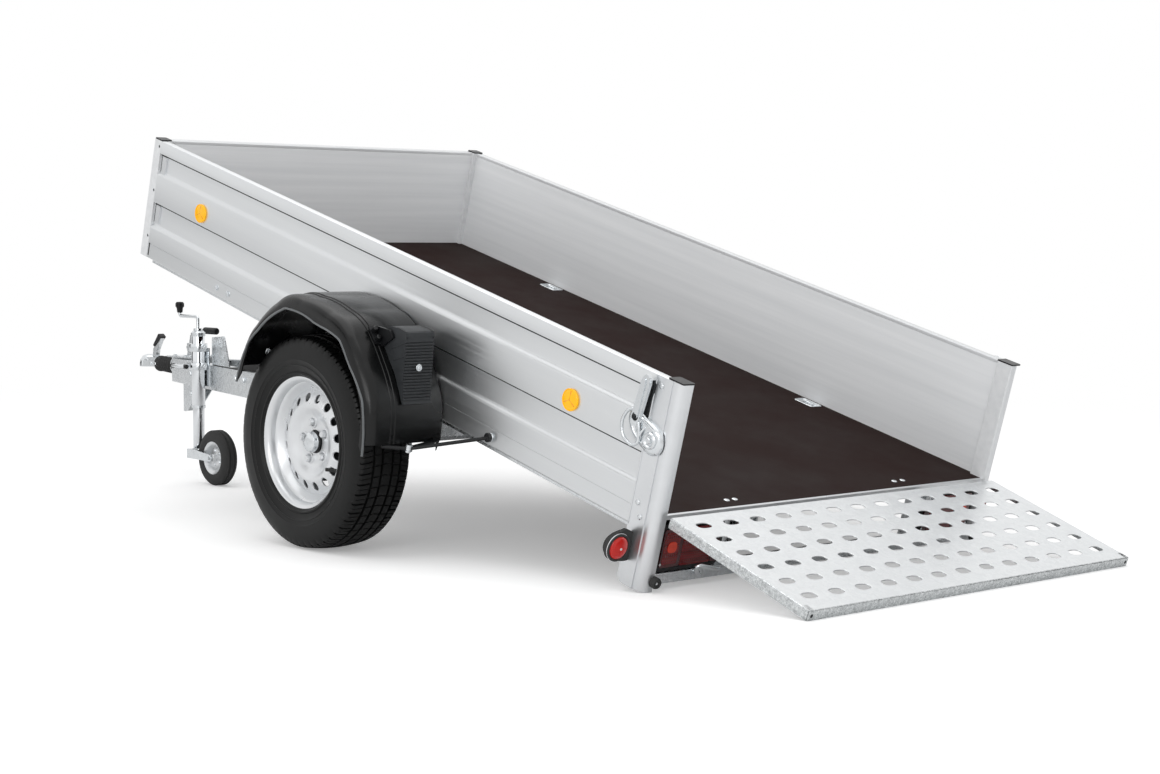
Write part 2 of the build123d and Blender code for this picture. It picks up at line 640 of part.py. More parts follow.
def bed_rails():
    """Channel rails along both sides of the bed, under the floor."""
    top = -FLOOR_THICKNESS
    rail = bar(RAIL_START, FRONT_POST_REAR, WALL_INNER_Y - RAIL_WIDTH, WALL_INNER_Y, top - RAIL_HEIGHT, top)
    rail -= bar(RAIL_START - 1, FRONT_POST_REAR + 1, WALL_INNER_Y - RAIL_WIDTH - 1, WALL_INNER_Y - RAIL_WALL,
                top - RAIL_HEIGHT + RAIL_WALL, top - RAIL_WALL)
    return both(rail)


def crossmembers():
    """Channels across the bed under the floor, between the side rails."""
    top = -FLOOR_THICKNESS
    reach = WALL_INNER_Y - RAIL_WIDTH
    half = CROSSMEMBER_WIDTH / 2
    members = []
    for place in cross_places():
        member = bar(place - half, place + half, -reach, reach, CROSS_BOTTOM, top)
        member -= bar(place - half + RAIL_WALL, place + half - RAIL_WALL, -reach - 1, reach + 1,
                      CROSS_BOTTOM + RAIL_WALL, top + 1)
        members.append(member)
    return group(members)


def tilt_ears():
    """Plates that hang from the middle crossmember to the tilt pivot pins."""
    half = PIVOT_EAR_WIDTH / 2
    outer = EAR_Y + PIVOT_EAR_THICKNESS
    ear = bar(PIVOT_U - half, PIVOT_U + half, EAR_Y, outer, PIVOT_W, CROSS_BOTTOM)
    ear += across(half, PIVOT_U, PIVOT_W, EAR_Y, outer)
    ear -= across(PIVOT_PIN_RADIUS + RUNNING_FIT, PIVOT_U, PIVOT_W, EAR_Y - 1, outer + 1)
    return both(ear)


def rear_sill():
    """Trim rail along the rear edge of the floor."""
    return bar(-SILL_DEPTH, 0, -POST_INNER_Y, POST_INNER_Y, -SILL_HEIGHT, 0)


# ---------------------------------------------------------------- rear lights and ramp hinge
def light_bar():
    """Angle bar between the feet of the rear posts, with two straps up to the bed frame."""
    bottom = LIGHT_BAR_TOP - LIGHT_BAR_HEIGHT
    light = bar(0, LIGHT_BAR_WALL, -POST_INNER_Y, POST_INNER_Y, bottom, LIGHT_BAR_TOP)
    light += bar(0, LIGHT_BAR_DEPTH, -POST_INNER_Y, POST_INNER_Y, LIGHT_BAR_TOP - LIGHT_BAR_WALL,
                 LIGHT_BAR_TOP)
    half = LIGHT_BAR_STRAP / 2
    for strap_y in (-RAMP_HINGE_Y, RAMP_HINGE_Y):
        light += bar(0, LIGHT_BAR_DEPTH, strap_y - half, strap_y + half, LIGHT_BAR_TOP, -FLOOR_THICKNESS)
    return light


def ramp_brackets():
    """Swan-necked plates behind the sill that carry the ramp's hinge pins."""
    top = -FLOOR_THICKNESS - BRACKET_TOP_GAP
    arm = RAMP_PIN_W - BRACKET_ARM_DROP
    outline = ((0, arm), (RAMP_PIN_U + BRACKET_NECK, arm), (RAMP_PIN_U + BRACKET_NECK, RAMP_PIN_W),
               (RAMP_PIN_U - BRACKET_EYE_RADIUS, RAMP_PIN_W),
               (RAMP_PIN_U - BRACKET_EYE_RADIUS, arm - BRACKET_ARM_DEPTH), (0, -BRACKET_FOOT))
    bracket = bar(-BRACKET_PLATE, 0, RAMP_HINGE_Y - BRACKET_HALF, RAMP_HINGE_Y + BRACKET_HALF,
                  -BRACKET_FOOT, top)
    for side in (-1, 1):
        y0 = RAMP_HINGE_Y + side * BRACKET_INNER
        y1 = RAMP_HINGE_Y + side * BRACKET_HALF
        bracket += side_plate(outline, y0, y1)
        bracket += across(BRACKET_EYE_RADIUS, RAMP_PIN_U, RAMP_PIN_W, y0, y1)
    bracket += across(RAMP_PIN_RADIUS, RAMP_PIN_U, RAMP_PIN_W, RAMP_HINGE_Y - BRACKET_HALF,
                      RAMP_HINGE_Y + BRACKET_HALF)
    return both(bracket)


def lamp_cluster():
    """Rear lamp block on the light bar, left side."""
    y1 = POST_INNER_Y - LAMP_POST_GAP
    block = bar(LAMP_INSET, LAMP_INSET + LAMP_DEPTH, y1 - LAMP_WIDTH, y1, LIGHT_BAR_TOP,
                LIGHT_BAR_TOP + LAMP_HEIGHT)
    return fillet(block.edges().filter_by(Axis.X), LAMP_ROUND)


def outline_lamp():
    """Round marker lamp on a stalk outboard of the rear post, left side."""
    y = HALF_WIDTH + OUTLINE_LAMP_OUT
    w = -OUTLINE_LAMP_DROP
    u = OUTLINE_LAMP_AHEAD
    stalk = bar(u + STALK_REAR, u + STALK_FRONT, HALF_WIDTH + POST_FLANGE_THICKNESS, y, w - STALK_BELOW,
                w + STALK_ABOVE)
    head = along(OUTLINE_LAMP_RADIUS + OUTLINE_LAMP_RIM, y, w, u - OUTLINE_RIM_PROUD, u + OUTLINE_LAMP_DEPTH)
    lens = along(OUTLINE_LAMP_RADIUS, y, w, u - OUTLINE_LENS_PROUD, u - OUTLINE_RIM_PROUD)
    return stalk + head + lens


def side_reflectors():
    """Round reflectors on both side walls."""
    discs = [across(REFLECTOR_RADIUS, u, REFLECTOR_UP, HALF_WIDTH, HALF_WIDTH + REFLECTOR_THICKNESS)
             for u in REFLECTOR_PLACES]
    return group(discs + [mirrored(disc) for disc in discs])


def post_latch():
    """Over-centre latch on the rear post: base, cam and drop lever, left side."""
    y0 = HALF_WIDTH + POST_FLANGE_THICKNESS
    y1 = y0 + LATCH_BASE_THICKNESS
    latch = side_plate(LATCH_BASE, y0, y1, LATCH_BASE_ROUND)
    latch += across(LATCH_CAM_RADIUS, *LATCH_CAM, y1, y1 + LATCH_CAM_THICKNESS)
    latch += side_plate(LATCH_LEVER, y1, y1 + LATCH_LEVER_THICKNESS, SMALL_ROUND)
    return latch


def feet_buffers():
    """Rubber buffers on the rear faces of the rear posts, near their feet."""
    return both(along(BUFFER_RADIUS, POST_INNER_Y + BUFFER_OVERLAP, LIGHT_BAR_TOP - BUFFER_DROP,
                      -REAR_POST_OVERHANG - BUFFER_LENGTH, -REAR_POST_OVERHANG))


def ramp_hooks():
    """Bent hooks on the light bar that hold the ramp's edge."""
    low = LIGHT_BAR_TOP - LIGHT_BAR_HEIGHT / 2
    high = LIGHT_BAR_TOP + HOOK_RISE
    hook = rod([(-HOOK_FOOT, HOOK_Y, low), (-HOOK_OUT, HOOK_Y, low), (-HOOK_OUT, HOOK_Y, high),
                (-HOOK_TIP, HOOK_Y, high)], HOOK_RADIUS, HOOK_BEND)
    foot = bar(-HOOK_FOOT, 0, HOOK_Y - HOOK_FOOT_HALF, HOOK_Y + HOOK_FOOT_HALF,
               low - HOOK_FOOT_HEIGHT / 2, low + HOOK_FOOT_HEIGHT / 2)
    return both(hook + foot)


# ---------------------------------------------------------------- mudguards
def guard_body(outline, y0, y1, rounding, corner):
    """Solid under the mudguard outline, its outer edge rounded and its two feet left sharp."""
    foot_w = max(outline[0][1], outline[-1][1])
    face = make_face(Polyline(*outline, close=True))
    face = fillet([v for v in face.vertices() if v.Y > foot_w + rounding], corner)
    body = Pos(0, y1, 0) * extrude(Plane.XZ * face, y1 - y0)
    base_w = min(outline[0][1], outline[-1][1])
    outer_edges = body.faces().sort_by(Axis.Y)[-1].edges()
    return fillet([edge for edge in outer_edges if edge.center().Z > base_w + rounding / 2], rounding)


def inset(outline, distance):
    """Outline moved inwards by a distance, its open foot lengthened downwards."""
    moved = []
    last = len(outline) - 1
    for i, (x, z) in enumerate(outline):
        before = outline[max(i - 1, 0)]
        after = outline[min(i + 1, last)]
        leaving = atan2(after[1] - z, after[0] - x) if i < last else None
        coming = atan2(z - before[1], x - before[0]) if i else leaving
        leaving = coming if leaving is None else leaving
        middle = (coming + leaving) / 2
        size = distance / cos((leaving - coming) / 2)
        moved.append((x + size * sin(middle), z - size * cos(middle)))
    return [(moved[0][0], moved[0][1] - GUARD_FOOT), *moved[1:-1], (moved[-1][0], moved[-1][1] - GUARD_FOOT)]


def mudguard():
    """Faceted plastic mudguard with a rolled outer lip, left side."""
    inner_y = HALF_WIDTH
    outer_y = inner_y + GUARD_WIDTH
    shell = guard_body(GUARD_OUTLINE, inner_y, outer_y, GUARD_ROUND, GUARD_CORNER_RADIUS)
    hollow = guard_body(inset(GUARD_OUTLINE, GUARD_WALL), inner_y + GUARD_WALL, outer_y - GUARD_WALL,
                        GUARD_ROUND - GUARD_WALL, GUARD_CORNER_RADIUS - GUARD_WALL)
    guard = shell - hollow
    guard -= side_plate(GUARD_LIP, outer_y - GUARD_ROUND - 1, outer_y + 1)
    return guard - side_plate(GUARD_LIP, inner_y - 1, inner_y + GUARD_WALL + 1)


def guard_stay():
    """Rod from the wall to the rear foot of the mudguard, left side."""
    y = HALF_WIDTH
    bolt_u = AXLE_SETBACK - STAY_BOLT_BEHIND
    bend, end = STAY_REACH
    start_out, bend_out, end_out = STAY_OUT
    stay = rod([(bolt_u, y + start_out, -STAY_BOLT_DROP), (AXLE_SETBACK - bend, y + bend_out, -STAY_DROP),
                (AXLE_SETBACK - end, y + end_out, -STAY_DROP)], STAY_RADIUS, STAY_BEND)
    return stay + across(STAY_BOSS_RADIUS, bolt_u, -STAY_BOLT_DROP, y, y + STAY_BOSS_LENGTH)


def wheel_chock():
    """Wedge-shaped wheel chock, stowed with its ribbed face outwards on the mudguard's slope, left side."""
    low, high = GUARD_OUTLINE[2], GUARD_OUTLINE[3]
    slope = degrees(atan2(high[1] - low[1], high[0] - low[0]))
    body = side_plate(CHOCK_OUTLINE, -CHOCK_HALF_WIDTH, CHOCK_HALF_WIDTH, CHOCK_ROUND)
    toe, crest = CHOCK_OUTLINE[0], CHOCK_OUTLINE[-1]
    lean = degrees(atan2(crest[1] - toe[1], crest[0] - toe[0]))
    for i in range(CHOCK_RIBS):
        start = CHOCK_FIRST_RIB + i * CHOCK_RIB_PITCH
        groove = bar(start, start + CHOCK_GROOVE, -CHOCK_HALF_WIDTH - 1, CHOCK_HALF_WIDTH + 1,
                     -CHOCK_GROOVE_DEPTH, 2 * CHOCK_GROOVE_DEPTH)
        body -= Pos(toe[0], 0, toe[1]) * Rot(0, -lean, 0) * groove
    middle_y = HALF_WIDTH + GUARD_WIDTH * CHOCK_PLACE
    return (Pos((low[0] + high[0]) / 2, middle_y, (low[1] + high[1]) / 2) * Rot(0, -slope, 0)
            * Pos(0, 0, CHOCK_SEAT_GAP) * body)


# ---------------------------------------------------------------- ramp
def ramp_panel():
    """Perforated steel plate with turned-down edges, drawn from its hinge pin rearwards (-X)."""
    half = RAMP_WIDTH / 2
    top = RAMP_PIN_DEPTH
    x1 = RAMP_PIN_INSET
    x0 = x1 - RAMP_LENGTH
    bottom = top - RAMP_SKIRT
    panel = bar(x0, x1, -half, half, top - RAMP_PLATE, top)
    for y0, y1 in ((-half, -half + RAMP_PLATE), (half - RAMP_PLATE, half)):
        panel += bar(x0, x1, y0, y1, bottom, top)
    panel += bar(x0, x0 + RAMP_PLATE, -half, half, bottom, top)
    for y in (-RAMP_HINGE_Y, RAMP_HINGE_Y):
        lug = bar(-RAMP_LUG_HALF, RAMP_LUG_HALF, y - RAMP_LUG_HALF, y + RAMP_LUG_HALF, 0, top)
        lug += across(RAMP_LUG_HALF, 0, 0, y - RAMP_LUG_HALF, y + RAMP_LUG_HALF)
        bore = across(RAMP_PIN_RADIUS + RUNNING_FIT, 0, 0, y - RAMP_LUG_HALF - 1, y + RAMP_LUG_HALF + 1)
        panel += lug - bore
    hole = RectangleRounded(RAMP_HOLE_LENGTH, RAMP_HOLE_WIDTH, RAMP_HOLE_LENGTH / 2 - 1)
    first_y = -(RAMP_HOLE_COLUMNS - 1) / 2 * RAMP_HOLE_PITCH_ACROSS
    places = [Pos(x1 - RAMP_HOLE_FIRST_ALONG - i * RAMP_HOLE_PITCH_ALONG, first_y + j * RAMP_HOLE_PITCH_ACROSS)
              for i in range(RAMP_HOLE_ROWS) for j in range(RAMP_HOLE_COLUMNS)]
    holes = Sketch() + [place * hole for place in places]
    return panel - Pos(0, 0, top - RAMP_PLATE - 1) * extrude(holes, RAMP_PLATE + 2)


# ---------------------------------------------------------------- drawbar and axle
def arm_y(x, inset_by=0.0):
    """Outer face of the left drawbar arm at a place along X."""
    return ARM_REAR_Y - ARM_SLOPE * max(x - ARM_BEND_X, 0) - inset_by


def arm_band(depth):
    """Plan outline of the left arm, from its outer face inwards."""
    corners = (ARM_REAR_X, ARM_BEND_X, ARM_FRONT_X)
    outer = [(x, arm_y(x)) for x in corners]
    inner = [(x, arm_y(x, depth)) for x in reversed(corners)]
    return outer + inner


def drawbar_arm():
    """Left arm: a channel that opens inwards, bent parallel over the axle, with its pivot pin."""
    arm = plan_plate(arm_band(ARM_WALL), ARM_BOTTOM_Z, ARM_TOP_Z)
    arm += plan_plate(arm_band(ARM_FLANGE), ARM_BOTTOM_Z, ARM_BOTTOM_Z + ARM_WALL)
    arm += plan_plate(arm_band(ARM_FLANGE), ARM_TOP_Z - ARM_WALL, ARM_TOP_Z)
    arm -= bar(HOUSING_REAR_X - 1, ARM_FRONT_X + 1, -HOUSING_HALF_WIDTH, HOUSING_HALF_WIDTH, 0, 2 * ARM_TOP_Z)
    foot = PIVOT_Z - PIVOT_EAR_WIDTH / 2
    gusset = ((ARM_REAR_X, ARM_TOP_Z), (PIVOT_X + PIVOT_EAR_WIDTH, ARM_TOP_Z),
              (PIVOT_X + PIVOT_EAR_WIDTH / 2, foot), (PIVOT_X - PIVOT_EAR_WIDTH / 2, foot))
    arm += side_plate(gusset, ARM_REAR_Y, ARM_REAR_Y + PIVOT_EAR_THICKNESS)
    head_y = EAR_Y + PIVOT_EAR_THICKNESS + PIVOT_HEAD_GAP
    arm += across(PIVOT_PIN_RADIUS, PIVOT_X, PIVOT_Z, ARM_REAR_Y, head_y)
    arm += across(PIVOT_PIN_RADIUS + PIVOT_PIN_HEAD, PIVOT_X, PIVOT_Z, head_y, head_y + PIVOT_PIN_HEAD)
    return arm


def chassis_ties():
    """Cross tubes between the drawbar arms."""
    ties = []
    half = TIE_WIDTH / 2
    z0 = ARM_BOTTOM_Z + ARM_WALL
    for x in (TIE_AHEAD, ARM_REAR_X + TIE_TAIL_INSET):
        reach = arm_y(x + half, ARM_WALL) - TIE_END_GAP
        tie = bar(x - half, x + half, -reach, reach, z0, z0 + TIE_HEIGHT)
        tie -= bar(x - half + TIE_WALL, x + half - TIE_WALL, -reach - 1, reach + 1, z0 + TIE_WALL,
                   z0 + TIE_HEIGHT - TIE_WALL)
        ties.append(tie)
    return group(ties)


def axle_beam():
    """Torsion axle beam under the arms."""
    half = BEAM_SIZE / 2
    beam = bar(BEAM_AHEAD - half, BEAM_AHEAD + half, -BEAM_HALF_LENGTH, BEAM_HALF_LENGTH, BEAM_Z - half,
               BEAM_Z + half)
    beam = chamfer(beam.edges().filter_by(Axis.Y), BEAM_CHAMFER)
    bore = half - BEAM_WALL
    return beam - bar(BEAM_AHEAD - bore, BEAM_AHEAD + bore, -BEAM_HALF_LENGTH - 1, BEAM_HALF_LENGTH + 1,
                      BEAM_Z - bore, BEAM_Z + bore)


def swing_arm():
    """Trailing arm with stub axle and brake backplate, left side."""
    y0 = BEAM_HALF_LENGTH
    y1 = y0 + SWING_ARM_WIDTH
    arm = across(SWING_ARM_BOSS, BEAM_AHEAD, BEAM_Z, y0, y1)
    arm += across(SWING_ARM_EYE, 0, TYRE_RADIUS, y0, y1)
    eye = SWING_ARM_EYE - SWING_ARM_TAPER / 2
    boss = SWING_ARM_BOSS - SWING_ARM_TAPER
    arm += side_plate(((0, TYRE_RADIUS - eye), (BEAM_AHEAD, BEAM_Z - boss), (BEAM_AHEAD, BEAM_Z + boss),
                       (0, TYRE_RADIUS + eye)), y0, y1)
    plate_y = DRUM_BACK_Y - BACKPLATE_GAP
    arm += across(HUB_CORE_RADIUS, 0, TYRE_RADIUS, y1, plate_y)
    arm += across(DRUM_RADIUS + BACKPLATE_LIP, 0, TYRE_RADIUS, plate_y - BACKPLATE_THICKNESS, plate_y)
    return arm + across(STUB_RADIUS, 0, TYRE_RADIUS, y1, HUB_FACE_Y - STUB_END_GAP - STUB_SHORT)


# ---------------------------------------------------------------- road wheel
def rim_outer():
    """Outline of the rim's tyre side, from its inner to its outer flange."""
    half = RIM_WIDTH / 2
    seat = RIM_SEAT_RADIUS
    well = RIM_WELL_RADIUS
    return [(RIM_FLANGE_RADIUS, -half), (RIM_FLANGE_RADIUS, -half + RIM_WALL), (seat, -half + RIM_HUMP),
            (seat, -half + RIM_SHELF), (well, -half + RIM_SHELF + RIM_WELL_RUN), (well, half - RIM_OUTER_RUN),
            (seat, half - RIM_OUTER_RUN + RIM_WELL_RUN + RIM_WALL), (seat, half - RIM_HUMP),
            (RIM_FLANGE_RADIUS, half - RIM_WALL), (RIM_FLANGE_RADIUS, half)]


def tyre():
    """Hollow road tyre about the wheel centre, cut to the rim's outline, left side."""
    half = TYRE_WIDTH / 2
    bead = RIM_WIDTH / 2 - TYRE_BEAD_INSET
    shoulder = (half - TYRE_SHOULDER_INSET, TYRE_RADIUS - TYRE_SHOULDER_DROP)
    bulge = TYRE_RADIUS - TYRE_BULGE_DROP
    foot = RIM_SEAT_RADIUS + 1
    crown = ThreePointArc((-shoulder[0], shoulder[1]), (0, TYRE_RADIUS), shoulder)
    outboard = ThreePointArc(shoulder, (half, bulge), (bead, foot))
    inboard = ThreePointArc((-bead, foot), (-half, bulge), (-shoulder[0], shoulder[1]))
    section = make_face([crown, outboard, Line((bead, foot), (-bead, foot)), inboard])
    inner = half - TYRE_SIDEWALL
    crown_inner = (inner - TYRE_SHOULDER_INSET + 1, TYRE_RADIUS - TYRE_CROWN)
    mouth = bead - TYRE_BEAD_INSET
    section -= make_face(Polyline((-mouth, 0), (mouth, 0), (inner, bulge), crown_inner,
                                  (-crown_inner[0], crown_inner[1]), (-inner, bulge), close=True))
    ring = Rot(0, 0, 90) * revolve(section, Axis.X)
    seat = [(0, -TYRE_WIDTH), (RIM_FLANGE_RADIUS, -TYRE_WIDTH), *rim_outer(), (RIM_FLANGE_RADIUS, TYRE_WIDTH),
            (0, TYRE_WIDTH)]
    return Pos(0, WHEEL_Y, TYRE_RADIUS) * (ring - turned(seat))


def rim():
    """Steel rim with a pierced, crowned disc, left side."""
    half = RIM_WIDTH / 2
    wall = RIM_WALL
    seat = RIM_SEAT_RADIUS - wall
    well = RIM_WELL_RADIUS - wall
    edge = RIM_HUMP - wall
    barrel = turned(rim_outer() + [(seat, half - edge), (seat, half - RIM_OUTER_RUN + RIM_WELL_RUN + edge),
                                   (well, half - RIM_OUTER_RUN), (well, -half + RIM_SHELF + RIM_WELL_RUN + 2),
                                   (seat, -half + RIM_SHELF + 2), (seat, -half + edge)])
    face = DISC_OFFSET
    crown = face + DISC_CROWN
    inner_crown = VENT_CIRCLE - VENT_RADIUS - DISC_CROWN
    outer_crown = VENT_CIRCLE - VENT_RADIUS + 2
    disc = turned([(DISC_BORE_RADIUS, face), (DISC_BORE_RADIUS, face + DISC_WALL),
                   (HUB_RADIUS + wall, face + DISC_WALL), (inner_crown, crown - 2), (outer_crown, crown),
                   (well - 2 * wall, face + 2), (well + 1, face - 2), (well + 1, face - 2 * wall),
                   (well - HUB_FLANGE, face - wall), (outer_crown, crown - DISC_WALL - 1),
                   (inner_crown + 2, crown - 2 * wall), (HUB_RADIUS + 2 * wall, face)])
    wheel = barrel + disc
    for i in range(VENT_COUNT):
        wheel -= Rot(0, 360 / VENT_COUNT * i, 0) * across(VENT_RADIUS, VENT_CIRCLE, 0, 0, RIM_WIDTH)
    for x, z in bolt_places():
        wheel -= across(WHEEL_BOLT_RADIUS, x, z, 0, RIM_WIDTH)
    return Pos(0, WHEEL_Y, TYRE_RADIUS) * wheel


def bolt_places():
    """Wheel bolt centres about the wheel's axis."""
    angles = [2 * pi * i / WHEEL_BOLT_COUNT for i in range(WHEEL_BOLT_COUNT)]
    return [(WHEEL_BOLT_CIRCLE * sin(angle), WHEEL_BOLT_CIRCLE * cos(angle)) for angle in angles]


def hub():
    """Brake drum, hub, wheel bolts and grease cap, left side."""
    face = HUB_FACE_Y
    inner_face = DRUM_FACE_Y - HUB_FLANGE
    drum = across(DRUM_RADIUS, 0, TYRE_RADIUS, DRUM_BACK_Y, DRUM_FACE_Y)
    drum -= across(DRUM_RADIUS - DRUM_WALL, 0, TYRE_RADIUS, DRUM_BACK_Y - 1, inner_face)
    drum += across(HUB_RADIUS, 0, TYRE_RADIUS, inner_face, face)
    drum += across(HUB_CORE_RADIUS, 0, TYRE_RADIUS, DRUM_BACK_Y + BACKPLATE_THICKNESS, face)
    drum -= across(STUB_RADIUS + RUNNING_FIT, 0, TYRE_RADIUS, DRUM_BACK_Y - 1, face - STUB_END_GAP)
    drum += across(HUB_CAP_RADIUS, 0, TYRE_RADIUS, face, face + HUB_CAP_LENGTH)
    outside = face + DISC_WALL
    for x, z in bolt_places():
        drum += across(WHEEL_BOLT_HEAD_RADIUS, x, TYRE_RADIUS + z, outside, outside + WHEEL_BOLT_HEAD_LENGTH)
        drum += across(WHEEL_BOLT_RADIUS, x, TYRE_RADIUS + z, face - 1, outside + 1)
    return drum


# ---------------------------------------------------------------- coupling and overrun device
def overrun_housing():
    """Overrun housing between the arms, with its head plate and guide tube."""
    wall = HOUSING_WALL
    nose = ARM_FRONT_X + HOUSING_NOSE
    housing = bar(HOUSING_REAR_X, nose, -HOUSING_HALF_WIDTH, HOUSING_HALF_WIDTH, HOUSING_BOTTOM_Z,
                  HOUSING_TOP_Z)
    housing -= bar(HOUSING_REAR_X + wall, ARM_FRONT_X, -HOUSING_HALF_WIDTH + wall, HOUSING_HALF_WIDTH - wall,
                   HOUSING_BOTTOM_Z + wall, HOUSING_TOP_Z - wall)
    housing += along(GUIDE_RADIUS, 0, COUPLING_Z, ARM_FRONT_X, HOUSING_FRONT_X + GUIDE_LAP)
    return housing + bar(HOUSING_REAR_X + HOUSING_PLATE_INSET, nose, -HOUSING_PLATE_HALF_WIDTH,
                         HOUSING_PLATE_HALF_WIDTH, HOUSING_TOP_Z, HOUSING_TOP_Z + wall)


def coupling_head():
    """Ball coupling: shank, body and cup with its socket opening downwards."""
    mouth = CUP_TOP_Z - SOCKET_ROOF - SOCKET_DEPTH
    head = upright(COUPLING_NOSE, BALL_X, 0, mouth, CUP_TOP_Z)
    head = fillet(head.edges().group_by(Axis.Z)[-1], 2 * HOUSING_WALL)
    body = bar(BELLOWS_FRONT_X, BALL_X, -HEAD_HALF_WIDTH, HEAD_HALF_WIDTH, COUPLING_Z - HEAD_BELOW,
               COUPLING_Z + HEAD_ABOVE)
    head += fillet(body.edges().filter_by(Axis.X), 2 * SMALL_ROUND)
    head += along(SHANK_RADIUS, 0, COUPLING_Z, HOUSING_FRONT_X + GUIDE_LAP + SHANK_END_GAP, BELLOWS_FRONT_X)
    head -= upright(BALL_RADIUS + BALL_CLEARANCE, BALL_X, 0, mouth - 1, CUP_TOP_Z - SOCKET_ROOF)
    return head - bar(BALL_X - 2 * COUPLING_NOSE, BALL_X + 2 * COUPLING_NOSE, -2 * COUPLING_NOSE,
                      2 * COUPLING_NOSE, 0, mouth)


def coupling_lever():
    """Release lever over the coupling, pointing up and back."""
    outline = shifted(LEVER_OUTLINE, BALL_X - COUPLING_NOSE, COUPLING_Z + HEAD_ABOVE)
    lever = side_plate(outline, -LEVER_HALF_WIDTH, LEVER_HALF_WIDTH)
    return fillet(lever.edges().filter_by(Axis.Y), SMALL_ROUND)


def bellows():
    """Rubber bellows over the coupling shank."""
    pitch = BELLOWS_LENGTH / BELLOWS_FOLDS
    sleeve_radius = GUIDE_RADIUS + BELLOWS_FIT
    outline = [(HOUSING_FRONT_X, sleeve_radius + 1)]
    for i in range(BELLOWS_FOLDS):
        outline += [(HOUSING_FRONT_X + (i + 0.5) * pitch, BELLOWS_RADIUS),
                    (HOUSING_FRONT_X + (i + 1) * pitch, SHANK_RADIUS + BELLOWS_SKIN)]
    sleeve_end = HOUSING_FRONT_X + GUIDE_LAP + BELLOWS_FIT
    outline += [(BELLOWS_FRONT_X, SHANK_RADIUS), (sleeve_end, SHANK_RADIUS), (sleeve_end, sleeve_radius),
                (HOUSING_FRONT_X, sleeve_radius)]
    return Pos(0, 0, COUPLING_Z) * revolve(make_face(Polyline(*outline, close=True)), Axis.X)


def handbrake():
    """Handbrake lever on its ratchet plate, at rest, with its grip."""
    top = HOUSING_TOP_Z + HOUSING_WALL
    plate = side_plate(shifted(RATCHET_OUTLINE, HOUSING_REAR_X, top), -RATCHET_HALF_WIDTH, RATCHET_HALF_WIDTH,
                       SMALL_ROUND - 1)
    lever = side_plate(shifted(HANDBRAKE_OUTLINE, HOUSING_REAR_X, top), RATCHET_HALF_WIDTH,
                       RATCHET_HALF_WIDTH + HANDBRAKE_WIDTH, SMALL_ROUND)
    rear, front, rise = HANDBRAKE_GRIP
    grip = along(HANDBRAKE_GRIP_RADIUS, RATCHET_HALF_WIDTH + HANDBRAKE_WIDTH / 2, top + rise,
                 HOUSING_REAR_X + rear, HOUSING_REAR_X + front)
    return plate + lever, fillet(grip.edges(), SMALL_ROUND) - lever


def skid_plate():
    """Bent triangular plate that hangs under the overrun housing."""
    top = HOUSING_BOTTOM_Z
    front = ARM_FRONT_X - SKID_FRONT
    outline = ((front, top), (ARM_FRONT_X - SKID_REAR, top), (front - SKID_POINT, top - SKID_DROP),
               (front, top - SKID_DROP))
    side = side_plate(outline, SKID_HALF_WIDTH - SKID_WALL, SKID_HALF_WIDTH)
    web = bar(front - SKID_WALL, front, -SKID_HALF_WIDTH, SKID_HALF_WIDTH, top - SKID_DROP, top)
    return side + web + mirrored(side)


def brake_rod():
    """Brake rod under the drawbar, from the overrun housing back to its yoke on the axle beam."""
    low = ARM_BOTTOM_Z - BRAKE_ROD_BELOW
    high = COUPLING_Z - BRAKE_ROD_START
    rear = BEAM_AHEAD + BEAM_SIZE / 2
    level_run, slope_run = BRAKE_ROD_RUNS
    pull = rod([(HOUSING_REAR_X, 0, high), (HOUSING_REAR_X - level_run, 0, high),
                (HOUSING_REAR_X - slope_run, 0, low), (rear + BRAKE_YOKE_WALL / 2, 0, low)],
               BRAKE_ROD_RADIUS, BRAKE_ROD_BEND)
    return pull + bar(rear, rear + BRAKE_YOKE_WALL, -BRAKE_YOKE_HALF, BRAKE_YOKE_HALF,
                      BEAM_Z - BRAKE_YOKE_FALL, low + BRAKE_YOKE_RISE)


def stop_brackets():
    """Upright sheet brackets along the arms ahead of the level bed."""
    outline = ((0, ARM_TOP_Z), (STOP_LENGTH, ARM_TOP_Z), (STOP_LENGTH, ARM_TOP_Z + STOP_HEIGHT - STOP_FALL),
               (STOP_LEAN, ARM_TOP_Z + STOP_HEIGHT))
    plate = side_plate(outline, -ARM_WALL, 0, STOP_CORNER)
    foot = bar(0, STOP_LENGTH, -STOP_FOOT, 0, ARM_TOP_Z, ARM_TOP_Z + ARM_WALL)
    turn = Rot(0, 0, -degrees(atan(ARM_SLOPE)))
    return both(Pos(STOP_X, arm_y(STOP_X, ARM_WALL), 0) * turn * (plate + foot))


def rest_pads():
    """Rubber blocks on the arms that the level bed lies on, under its front crossmember."""
    top = FLOOR_HEIGHT + CROSS_BOTTOM - REST_GAP
    half = REST_LENGTH / 2
    y = arm_y(REST_X + half, ARM_WALL)
    return both(bar(REST_X - half, REST_X + half, y - REST_WIDTH, y, ARM_TOP_Z, top))


